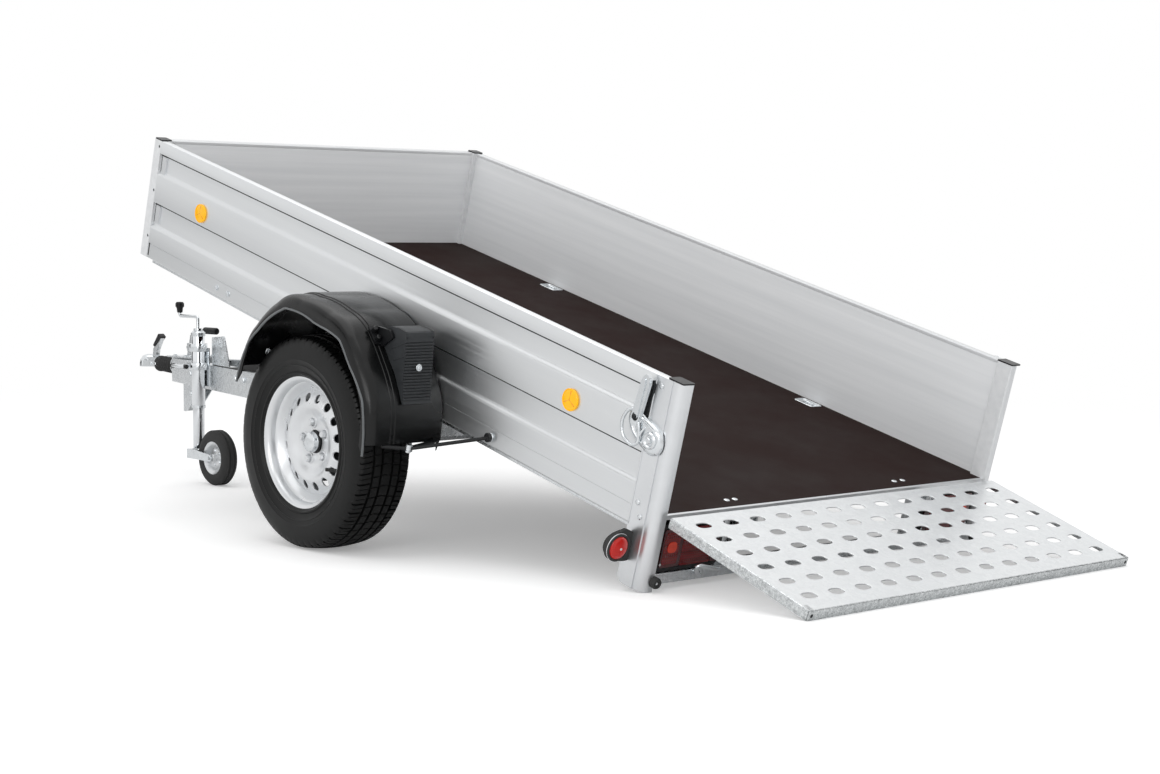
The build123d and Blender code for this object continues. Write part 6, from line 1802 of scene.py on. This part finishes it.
# ---- ramp
@dataclass(frozen=True)
class Ramp:
    """Pierced ramp plate with turned-down edges and hinge lugs, drawn rearwards from its pin."""

    half_width: float = 0.652
    front: float = 0.012
    rear: float = -0.483
    top: float = 0.014
    bottom: float = -0.013
    plate: float = 0.003
    rows: int = 6
    columns: int = 13
    pitch_along: float = 0.0752
    pitch_across: float = 0.0975
    first_row: float = 0.0529
    hole_half: Pair = (0.0140, 0.0240)
    hinge_y: float = 0.370
    lug: float = 0.009
    fold: float = 0.004
    skin: float = 0.0001

    def skirt(self, edge: float, inner: float, outwards: int) -> list[Pair]:
        """Return the angle section of a turned-down edge.

        Args:
            edge: Outer face of the edge.
            inner: Place where the section meets the pierced field.
            outwards: 1 or -1, the way that the edge faces.

        Returns:
            The closed section.
        """
        corner = (edge - outwards * self.fold, self.top - self.fold)
        turn = arc(corner, self.fold, 90, 0 if outwards > 0 else 180, 5)
        back = edge - outwards * self.plate
        return [(inner, self.top), *turn, (edge, self.bottom), (back, self.bottom),
                (back, self.top - self.plate), (inner, self.top - self.plate)]

    def build(self) -> None:
        """Build the ramp."""
        made = Shape()
        half_cell = (self.pitch_along / 2, self.pitch_across / 2)
        hole_a, hole_b = self.hole_half

        def surface(x: float, y: float, depth: float) -> Triple:
            """Return a point of the plate from its place and depth."""
            return (x, y, self.top - depth)

        for row in range(self.rows):
            for column in range(self.columns):
                centre = (self.front - self.first_row - row * self.pitch_along,
                          (column - (self.columns - 1) / 2) * self.pitch_across)
                hole = []
                for step in range(32):
                    angle = 2 * math.pi * step / 32
                    cosine, sine = math.cos(angle), math.sin(angle)
                    hole.append((centre[0] + hole_a * math.copysign(abs(cosine) ** 0.8, cosine),
                                 centre[1] + hole_b * math.copysign(abs(sine) ** 0.8, sine)))
                pierced(made, hole, with_corners(hole, centre, half_cell), surface, self.plate, 0.0012, RAMP_ZINC)
        field_front = self.front - self.first_row + half_cell[0]
        field_rear = field_front - self.rows * self.pitch_along
        field_side = self.columns * half_cell[1]
        under = self.top - self.plate
        made.block((field_front, -field_side, under), (self.front, field_side, self.top), RAMP_ZINC)
        for side in (-1, 1):
            section = self.skirt(side * self.half_width, side * field_side, side)
            made.prism(section, Axis.X, self.rear + self.fold, self.front, EDGE_ZINC)
            inner, outer, skin = side * field_side, side * (self.half_width - self.fold), self.top + self.skin
            made.prism([(inner, skin), (outer, skin), (outer, under), (inner, under)], Axis.X,
                       self.rear + self.fold, self.front, RAMP_ZINC)
            made.disc(0.0055, Axis.X, (self.rear, side * (self.half_width - 0.012), 0.0), -0.0004, 0.002, DARK_STEEL_AND_SHADE)
        section = self.skirt(self.rear, field_rear, -1)
        reach = self.half_width - self.fold / 2
        made.prism(section, Axis.Y, -reach, reach, EDGE_ZINC)
        edge = self.rear + self.fold
        made.prism([(field_rear, skin), (edge, skin), (edge, under), (field_rear, under)], Axis.Y, -reach, reach,
                   RAMP_ZINC)
        for side in (-1, 1):
            y = side * self.hinge_y
            lug = arc((0, 0), self.lug, 180, 360, 10) + [(self.lug, under), (-self.lug, under)]
            made.prism(lug, Axis.Y, y - self.lug, y + self.lug, RAMP_ZINC)
        made.seat("ramp", Body.RAMP, bevel=0.0004, stands_for=["ramp_panel"], slot="ramp_steel",
                  smooth_angle=30)


# ---- drawbar
@dataclass(frozen=True)
class Coupling:
    """Ball coupling, its release lever, the folded bellows and the guide of the overrun shaft."""

    ball_x: float = 2.365
    mouth: float = 0.386
    cup_radius: float = 0.038
    neck: Pair = (2.262, 0.400)
    bellows: Pair = (2.135, 2.277)
    bellows_radius: float = 0.038
    folds: int = 7
    shaft_z: float = 0.400
    lever: tuple[Pair, ...] = ((-0.026, 0.0), (-0.002, 0.0), (-0.006, 0.036), (-0.054, 0.092), (-0.066, 0.080),
                               (-0.032, 0.032))
    lever_foot: Pair = (2.327, 0.421)
    lever_half: float = 0.009

    def build(self) -> None:
        """Build the head, the lever and the bellows."""
        head = Shape()
        cup = [(0.0, 0.434), (0.014, 0.433), (0.026, 0.427), (0.035, 0.414), (self.cup_radius, 0.400),
               (self.cup_radius, self.mouth), (0.033, self.mouth), (0.031, 0.400), (0.024, 0.414), (0.0, 0.424)]
        head.lathe(cup, Axis.Z, (self.ball_x, 0.0, 0.0), BRIGHT_ZINC, steps=40)
        neck_x, neck_z = self.neck
        plan = [(neck_x, -0.024), (neck_x + 0.03, -0.026), (self.ball_x - 0.012, -0.036),
                (self.ball_x - 0.012, 0.036), (neck_x + 0.03, 0.026), (neck_x, 0.024)]
        head.prism(plan, Axis.Z, self.mouth + 0.002, 0.411, BRIGHT_ZINC)
        head.prism([(x, y * 0.66) for x, y in plan], Axis.Z, 0.411, 0.424, BRIGHT_ZINC)
        head.disc(0.026, Axis.X, (0.0, 0.0, neck_z), neck_x - 0.004, neck_x + 0.022, BRIGHT_ZINC, edge=0.003)
        for x in (neck_x + 0.012, neck_x + 0.046):
            head.bolt((x, 0.024, neck_z), Axis.Y, 1, 0.0075, BRIGHT_ZINC)
            head.bolt((x, -0.024, neck_z), Axis.Y, -1, 0.0075, BRIGHT_ZINC)
        head.seat("coupling", Body.CHASSIS, bevel=0.0015, stands_for=["coupling_head"],
                  slot="bright_zinc")
        lever = Shape()
        foot_x, foot_z = self.lever_foot
        outline = rounded([(foot_x + x, foot_z + z) for x, z in self.lever], 0.004)
        lever.prism(outline, Axis.Y, -self.lever_half, self.lever_half, BRIGHT_ZINC)
        grip = rounded([(foot_x + x, foot_z + z) for x, z in ((-0.020, 0.044), (-0.009, 0.050), (-0.052, 0.098),
                                                              (-0.072, 0.084))], 0.005)
        lever.prism(grip, Axis.Y, -self.lever_half - 0.003, self.lever_half + 0.003, BLACK_PLASTIC)
        lever.seat("coupling_handle", Body.CHASSIS, bevel=0.0012, stands_for=["coupling_lever"],
                   slot="bright_zinc")
        self._bellows()

    def _bellows(self) -> None:
        """Build the folds between the housing and the head."""
        made = Shape()
        start, end = self.bellows
        pitch = (end - start - 0.020) / self.folds
        profile = [(0.0, start), (self.bellows_radius, start), (self.bellows_radius, start + 0.009)]
        for fold in range(self.folds):
            at = start + 0.010 + fold * pitch
            shrink = 0.0012 * fold
            for share, drop in ((0.0, 0.011), (0.18, 0.009), (0.42, 0.001), (0.58, 0.001), (0.82, 0.009)):
                profile.append((self.bellows_radius - drop - shrink, at + share * pitch))
        profile += [(0.029, end - 0.009), (0.031, end - 0.007), (0.031, end), (0.0, end)]
        made.lathe(profile, Axis.X, (0.0, 0.0, self.shaft_z), RUBBER, steps=40)
        made.ring(0.0400, 0.0375, Axis.X, (0.0, 0.0, self.shaft_z), start + 0.002, start + 0.007, BRIGHT_ZINC,
                  edge=0.0005)
        made.seat("shaft_bellows", Body.CHASSIS, bevel=0, stands_for=["bellows"], slot="black_rubber",
                  smooth_angle=60)


@dataclass(frozen=True)
class Handbrake:
    """Ratchet sector with its teeth, the lever beside it and the ribbed grip."""

    place: Pair = (1.940, 0.440)
    sector: tuple[Pair, ...] = ((0.012, 0.0), (0.136, 0.0), (0.128, 0.030))
    pivot: Pair = (0.076, 0.016)
    tooth_radius: float = 0.056
    teeth: int = 12
    lever: tuple[Pair, ...] = ((0.112, 0.024), (0.094, 0.084), (-0.010, 0.104), (-0.016, 0.092), (0.076, 0.068),
                               (0.092, 0.020))
    grip: Triple = (-0.090, -0.004, 0.101)
    grip_radius: float = 0.013

    def build(self) -> None:
        """Build the ratchet with its lever, and the grip."""
        x0, z0 = self.place
        made = Shape()
        outline = [(x0 + x, z0 + z) for x, z in self.sector]
        for tooth in range(self.teeth):
            angle = math.radians(20 + 110 * tooth / self.teeth)
            for turn, reach in ((0.0, self.tooth_radius - 0.004), (0.8, self.tooth_radius)):
                bend = angle + math.radians(turn * 110 / self.teeth)
                outline.append((x0 + self.pivot[0] + reach * math.cos(bend),
                                z0 + self.pivot[1] + reach * math.sin(bend)))
        made.prism(outline, Axis.Y, -0.004, 0.004, GALVANISED)
        lever = rounded([(x0 + x, z0 + z) for x, z in self.lever], 0.008)
        made.prism(lever, Axis.Y, 0.005, 0.0135, BRIGHT_ZINC)
        made.disc(0.013, Axis.Y, (x0 + 0.100, 0.0, z0 + 0.034), -0.008, 0.017, BRIGHT_ZINC)
        made.bolt((x0 + 0.100, 0.017, z0 + 0.034), Axis.Y, 1, 0.008, BRIGHT_ZINC)
        made.bolt((x0 + 0.036, 0.004, z0 + 0.012), Axis.Y, 1, 0.006, BRIGHT_ZINC)
        made.rod([(x0 + 0.030, 0.009, z0 + 0.088), (x0 + 0.064, 0.009, z0 + 0.072)], 0.004, BRIGHT_ZINC)
        made.seat("handbrake", Body.CHASSIS, stands_for=["handbrake_lever"], slot="bright_zinc")
        low, high, height = self.grip
        grip = Shape()
        profile = [(0.0, low), (self.grip_radius - 0.003, low + 0.001), (self.grip_radius, low + 0.005)]
        ribs = 9
        for rib in range(ribs):
            at = low + 0.010 + rib * (high - low - 0.016) / ribs
            profile += [(self.grip_radius, at), (self.grip_radius - 0.0016, at + 0.0015),
                        (self.grip_radius - 0.0016, at + 0.0030), (self.grip_radius, at + 0.0045)]
        profile += [(self.grip_radius, high - 0.002), (0.010, high), (0.0, high)]
        grip.lathe(profile, Axis.X, (x0, 0.009, z0 + height), BLACK_PLASTIC, steps=28)
        grip.seat("handbrake_hand_grip", Body.CHASSIS, bevel=0, stands_for=["handbrake_grip"],
                  slot="black_plastic")


@dataclass(frozen=True)
class JockeyWheel:
    """Dressing of the jockey wheel: knob, tube fittings, rubber tyre and pressed rim."""

    tube: Pair = (1.655, 0.212)
    tube_top: float = 0.548
    knob: Triple = (1.780, 0.618, 0.658)
    knob_radius: float = 0.0145
    wheel: Pair = (1.528, 0.100)
    radius: float = 0.100
    half_width: float = 0.027
    rim_radius: float = 0.058

    def build(self) -> None:
        """Build the fittings of the tube, the knob, the tyre and the rim."""
        x, y = self.tube
        fittings = Shape()
        fittings.ring(0.0262, 0.0238, Axis.Z, (x, y, 0.0), self.tube_top - 0.012, self.tube_top + 0.001, BRIGHT_ZINC)
        fittings.lathe([(0.0240, self.tube_top), (0.021, self.tube_top + 0.006), (0.012, self.tube_top + 0.009),
                        (0.0, self.tube_top + 0.009)], Axis.Z, (x, y, 0.0), BRIGHT_ZINC)
        fittings.ring(0.0256, 0.0238, Axis.Z, (x, y, 0.0), 0.272, 0.282, BRIGHT_ZINC)
        for end in (1.6640, 1.7520):
            fittings.disc(0.0085, Axis.X, (0.0, 0.260, 0.425), end - 0.010, end + 0.010, BLACK_PLASTIC, edge=0.003)
        for z in (0.425, 0.494):
            fittings.bolt((x - 0.034, y - 0.004, z), Axis.X, -1, 0.008, BRIGHT_ZINC)
        fittings.seat("jockey_fittings", Body.CHASSIS, slot="bright_zinc")
        knob_x, low, high = self.knob
        knob = Shape()
        radius = self.knob_radius
        profile = [(0.0, low), (radius * 0.62, low), (radius * 0.72, low + 0.004), (radius * 0.80, low + 0.016),
                   (radius, low + 0.022), (radius, high - 0.006), (radius * 0.86, high - 0.001), (0.0, high)]
        knob.lathe(profile, Axis.Z, (knob_x, y, 0.0), BLACK_PLASTIC, steps=28)
        for i in range(10):
            angle = 2 * math.pi * i / 10
            spot = (knob_x + radius * 0.97 * math.cos(angle), y + radius * 0.97 * math.sin(angle), 0.0)
            knob.disc(0.0022, Axis.Z, spot, low + 0.021, high - 0.005, BLACK_PLASTIC, steps=10)
        knob.seat("crank_knob", Body.CHASSIS, bevel=0, stands_for=["jockey_crank_grip"],
                  slot="black_plastic")
        self._roller()

    def _roller(self) -> None:
        """Build the tyre and the rim with its bolts."""
        place = (self.wheel[0], self.tube[1], self.wheel[1])
        half, radius, rim = self.half_width, self.radius, self.rim_radius
        side = [(rim, half - 0.007), (rim + 0.003, half - 0.002), (rim + 0.012, half), (radius - 0.018, half),
                (radius - 0.015, half - 0.0015), (radius - 0.007, half - 0.004), (radius - 0.002, half - 0.009),
                (radius, half - 0.012), (radius, 0.011), (radius - 0.003, 0.010), (radius - 0.003, 0.007),
                (radius, 0.006)]
        tyre = Shape()
        tyre.lathe(side + [(r, -across) for r, across in side[::-1]], Axis.Y, place, RUBBER, steps=72, closed=True)
        tyre.seat("jockey_rubber", Body.JOCKEY_ROLLER, bevel=0, stands_for=["jockey_tyre"],
                  slot="black_rubber", smooth_angle=32)
        disc = Shape()
        face = [(0.0, 0.026), (0.011, 0.026), (0.014, 0.022), (0.014, 0.009), (0.030, 0.006), (0.038, 0.008),
                (0.044, 0.016), (0.052, 0.021), (0.059, 0.0235), (0.061, 0.0215), (0.058, 0.018), (0.056, 0.0)]
        disc.lathe(face, Axis.Y, place, WHEEL_SILVER, steps=56)
        disc.lathe([(r, -across) for r, across in face], Axis.Y, place, WHEEL_SILVER, steps=56)
        count, circle_radius = 5, 0.026
        for i in range(count):
            angle = 2 * math.pi * i / count
            for way in (-1, 1):
                spot = (place[0] + circle_radius * math.cos(angle), place[1] + way * 0.006,
                        place[2] + circle_radius * math.sin(angle))
                disc.bolt(spot, Axis.Y, way, 0.0048, BRIGHT_ZINC)
        disc.seat("jockey_disc", Body.JOCKEY_ROLLER, bevel=0.0005, stands_for=["jockey_rim"],
                  slot="rim_silver", smooth_angle=45)


@dataclass(frozen=True)
class ChassisFasteners:
    """Bolts and plates that show on the drawbar and the housing."""

    arm_bolts: tuple[Pair, ...] = ((1.22, 0.400), (1.31, 0.400), (1.78, 0.385), (1.86, 0.385))
    bend_x: float = 0.300
    arm_y: float = 0.554
    slope: float = 0.2802
    strip: Pair = (1.24, 1.585)

    def outer(self, x: float) -> float:
        """Return the outer face of an arm at a place along it."""
        return self.arm_y - max(0.0, x - self.bend_x) * self.slope

    def build(self) -> None:
        """Build the bolts of both sides and those of the housing."""
        made = Shape()
        for x, z in self.arm_bolts:
            made.bolt((x, self.outer(x), z), Axis.Y, 1, 0.0095, BRIGHT_ZINC)
        made.absorb(made.mirrored())
        rear, front = self.strip
        corners = ((rear, 0.002), (front, 0.002), (front, 0.030), (rear, 0.030))
        strip = [(x, self.outer(x) - inset) for x, inset in corners]
        made.prism(strip, Axis.Z, 0.4300, 0.4335, RUBBER)
        for x in (1.975, 2.010, 2.085):
            for y in (-0.050, 0.050):
                made.bolt((x, y, 0.440), Axis.Z, 1, 0.0075, BRIGHT_ZINC)
        made.bolt((2.000, 0.030, 0.300), Axis.Y, 1, 0.008, BRIGHT_ZINC)
        made.seat("drawbar_fasteners", Body.CHASSIS, slot="bright_zinc")


# ---- studio
@dataclass(frozen=True)
class AreaLamp:
    """One soft lamp: where it hangs, what it faces, its size and its power in watts."""

    name: str
    place: Triple
    target: Triple
    size: Pair
    power: float

    def hang(self) -> None:
        """Make the lamp."""
        data = bpy.data.lights.new(self.name, "AREA")
        data.shape = "RECTANGLE"
        data.size, data.size_y = self.size
        data.energy = self.power
        lamp = bpy.data.objects.new(self.name, data)
        lamp.location = self.place
        aim = Vector(self.target) - Vector(self.place)
        lamp.rotation_euler = aim.to_track_quat("-Z", "Y").to_euler()
        bpy.context.scene.collection.objects.link(lamp)


@dataclass(frozen=True)
class Studio:
    """White floor and background, soft lamps and the camera."""

    eye: Triple = (-5.3161, 4.2851, 0.8794)
    heading: float = -41.8638
    pitch: float = -3.9221
    roll: float = 0.2081
    lens_mm: float = 65.19
    sensor_mm: float = 36.0
    floor_half: float = 60.0
    shadow_reach: Pair = (3.0, 6.5)
    flags: tuple[tuple[str, Triple, Pair], ...] = (
        ("rear_flag", (-5.0, -4.6, 1.3), (3.6, 2.6)),
        ("low_front_flag", (6.5, 2.0, 0.9), (3.0, 1.2)),
        ("high_flag", (1.5, 5.5, 4.5), (5.0, 0.8)),
    )
    room_light: float = 0.72
    floor_white: float = 0.93
    floor_lift: float = 0.27
    lamps: tuple[AreaLamp, ...] = (
        AreaLamp("overhead_softbox", (0.2, 0.4, 4.6), (0.0, 0.0, 0.0), (6.0, 4.0), 75.0),
        AreaLamp("side_softbox", (-3.2, 5.0, 2.6), (0.0, 0.0, 0.5), (3.0, 2.0), 45.0),
        AreaLamp("edge_striplight", (-4.9, 5.4, 1.5), (-0.8, 0.7, 0.6), (0.5, 2.4), 16.0),
    )

    def build(self) -> None:
        """Set up the view, background, floor, lamps and camera."""
        scene = bpy.context.scene
        scene.view_settings.view_transform = "Standard"
        self._background(scene)
        self._floor()
        self._flags()
        for lamp in self.lamps:
            lamp.hang()
        self._camera(scene)

    def _sheet(self, name: str, half: Pair, material: bpy.types.Material) -> bpy.types.Object:
        """Add a flat sheet of the studio, which is no piece of the model.

        Args:
            name: Name of the sheet.
            half: Half its sides.
            material: Its material.

        Returns:
            The sheet, level and centred on the origin.
        """
        a, b = half
        mesh = bpy.data.meshes.new(name)
        mesh.from_pydata([(-a, -b, 0), (a, -b, 0), (a, b, 0), (-a, b, 0)], [], [(0, 1, 2, 3)])
        mesh.materials.append(material)
        sheet = bpy.data.objects.new(name, mesh)
        bpy.context.scene.collection.objects.link(sheet)
        return sheet

    def _flags(self) -> None:
        """Stand dark cards that only shine shows, so that metal and black plastic keep their modelling."""
        cloth = bpy.data.materials.new("black_flag_cloth")
        cloth.use_nodes = True
        cloth.node_tree.nodes.clear()
        matt = add_node(cloth.node_tree, "ShaderNodeBsdfDiffuse", None, {"Color": (0.02, 0.02, 0.02, 1)})
        add_node(cloth.node_tree, "ShaderNodeOutputMaterial", None, {"Surface": matt.outputs[0]})
        for name, place, size in self.flags:
            card = self._sheet(name, (size[0] / 2, size[1] / 2), cloth)
            card.location = place
            card.rotation_euler = Vector(place).to_track_quat("Z", "Y").to_euler()
            card.visible_camera = card.visible_diffuse = card.visible_shadow = False
            card.visible_transmission = card.visible_volume_scatter = False

    def _background(self, scene: bpy.types.Scene) -> None:
        """Light the room evenly, and show white to the camera, to metal and to glass.

        Args:
            scene: Scene that gets the world.
        """
        world = bpy.data.worlds.new("white_room")
        scene.world = world
        world.use_nodes = True
        tree = world.node_tree
        tree.nodes.clear()
        rays = add_node(tree, "ShaderNodeLightPath")
        seen = add_node(tree, "ShaderNodeMath", {"operation": "MAXIMUM"},
                        {0: rays.outputs["Is Camera Ray"], 1: rays.outputs["Is Glossy Ray"]})
        shown = add_node(tree, "ShaderNodeMath", {"operation": "MAXIMUM"},
                         {0: seen.outputs[0], 1: rays.outputs["Is Transmission Ray"]})
        strength = add_node(tree, "ShaderNodeMapRange", None,
                            {"Value": shown.outputs[0], "To Min": self.room_light, "To Max": 1.0})
        sky = add_node(tree, "ShaderNodeBackground", None,
                       {"Color": (1, 1, 1, 1), "Strength": strength.outputs["Result"]})
        add_node(tree, "ShaderNodeOutputWorld", None, {"Surface": sky.outputs[0]})

    def _floor(self) -> None:
        """Lay a white floor that keeps the shadow."""
        paper = bpy.data.materials.new("white_floor_paper")
        paper.use_nodes = True
        tree = paper.node_tree
        tree.nodes.clear()
        rays = add_node(tree, "ShaderNodeLightPath")
        matt = add_node(tree, "ShaderNodeBsdfDiffuse", None, {"Color": (*[self.floor_white] * 3, 1)})
        lift = add_node(tree, "ShaderNodeEmission", None, {"Color": (1, 1, 1, 1), "Strength": self.floor_lift})
        lit = add_node(tree, "ShaderNodeAddShader", None, {0: matt.outputs[0], 1: lift.outputs[0]})
        place = add_node(tree, "ShaderNodeTexCoord").outputs["Object"]
        reach = add_node(tree, "ShaderNodeVectorMath", {"operation": "LENGTH"}, {0: place})
        far = add_node(tree, "ShaderNodeMapRange", {"interpolation_type": "SMOOTHSTEP"},
                       {"Value": reach.outputs["Value"], "From Min": self.shadow_reach[0],
                        "From Max": self.shadow_reach[1]})
        white = add_node(tree, "ShaderNodeEmission", None, {"Color": (1, 1, 1, 1), "Strength": 1.0})
        faded = add_node(tree, "ShaderNodeMixShader", None,
                         {0: far.outputs["Result"], 1: lit.outputs[0], 2: white.outputs[0]})
        both = add_node(tree, "ShaderNodeMixShader", None,
                        {0: rays.outputs["Is Camera Ray"], 1: matt.outputs[0], 2: faded.outputs[0]})
        add_node(tree, "ShaderNodeOutputMaterial", None, {"Surface": both.outputs[0]})
        self._sheet("studio_floor", (self.floor_half, self.floor_half), paper)

    def _camera(self, scene: bpy.types.Scene) -> None:
        """Place the camera at its viewing angle.

        Args:
            scene: Scene that gets the camera.
        """
        heading, pitch, roll = (math.radians(angle) for angle in (self.heading, self.pitch, self.roll))
        forward = Vector((math.cos(pitch) * math.cos(heading), math.cos(pitch) * math.sin(heading),
                          math.sin(pitch)))
        level_right = forward.cross(Vector((0, 0, 1))).normalized()
        level_up = level_right.cross(forward)
        right = level_right * math.cos(roll) + level_up * math.sin(roll)
        up = level_up * math.cos(roll) - level_right * math.sin(roll)
        turn = Matrix((right, up, -forward)).transposed().to_4x4()
        data = bpy.data.cameras.new("camera")
        data.lens = self.lens_mm
        data.sensor_width = self.sensor_mm
        data.clip_end = 4 * self.floor_half
        camera = bpy.data.objects.new("camera", data)
        camera.matrix_world = Matrix.Translation(self.eye) @ turn
        scene.collection.objects.link(camera)
        scene.camera = camera


# ---- pieces that keep their CAD shape
CAD_FINISHES: dict[Finish, tuple[str, ...]] = {
    # The front posts take the paler painted-light copy of the metal.
    LIT_INNER_FRONT_ALUMINIUM: ("front_posts",),
    POST_ALUMINIUM: ("rear_sill",),
    PLYWOOD: ("floor_panel",),
    BLACK_PLASTIC: ("post_caps",),
    RUBBER: ("rest_pads",),
    GALVANISED: ("bed_rails", "crossmembers", "tilt_ears", "light_bar", "ramp_brackets", "drawbar_arm_left",
                 "drawbar_arm_right", "chassis_ties", "axle_beam", "swing_arm_left", "swing_arm_right",
                 "overrun_housing", "skid_plate", "stop_brackets"),
    BRIGHT_ZINC: ("brake_rod", "jockey_clamp", "jockey_crank", "jockey_fork"),
    BRIGHT_TUBE: ("jockey_outer_tube", "jockey_leg"),
}


def dress_frame() -> None:
    """Give every CAD node that still shows its finish and soft edges."""
    for finish, names in CAD_FINISHES.items():
        for name in names:
            node = frame["nodes"][name]
            for slot in node.material_slots:
                slot.link = "OBJECT"
                slot.material = finish.material()
            weld = node.modifiers.new("weld", "WELD")
            weld.merge_threshold = CAD_WELD
            soften(node, CAD_BEVEL)
            LOG.info("%s: CAD shape in %s", name, finish.name)


# ---- the whole trailer
def main() -> None:
    """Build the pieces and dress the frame."""
    logging.basicConfig(level=logging.INFO, format="%(name)s %(message)s")
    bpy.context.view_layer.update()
    for assembly in (Studio, Walls, RearPosts, BoxFasteners, RearEnd, Mudguard, WheelChock, GuardStays, RoadWheels,
                     Ramp, Coupling, Handbrake, JockeyWheel, ChassisFasteners):
        assembly().build()
    dress_frame()


if __name__ == "__main__":
    main()
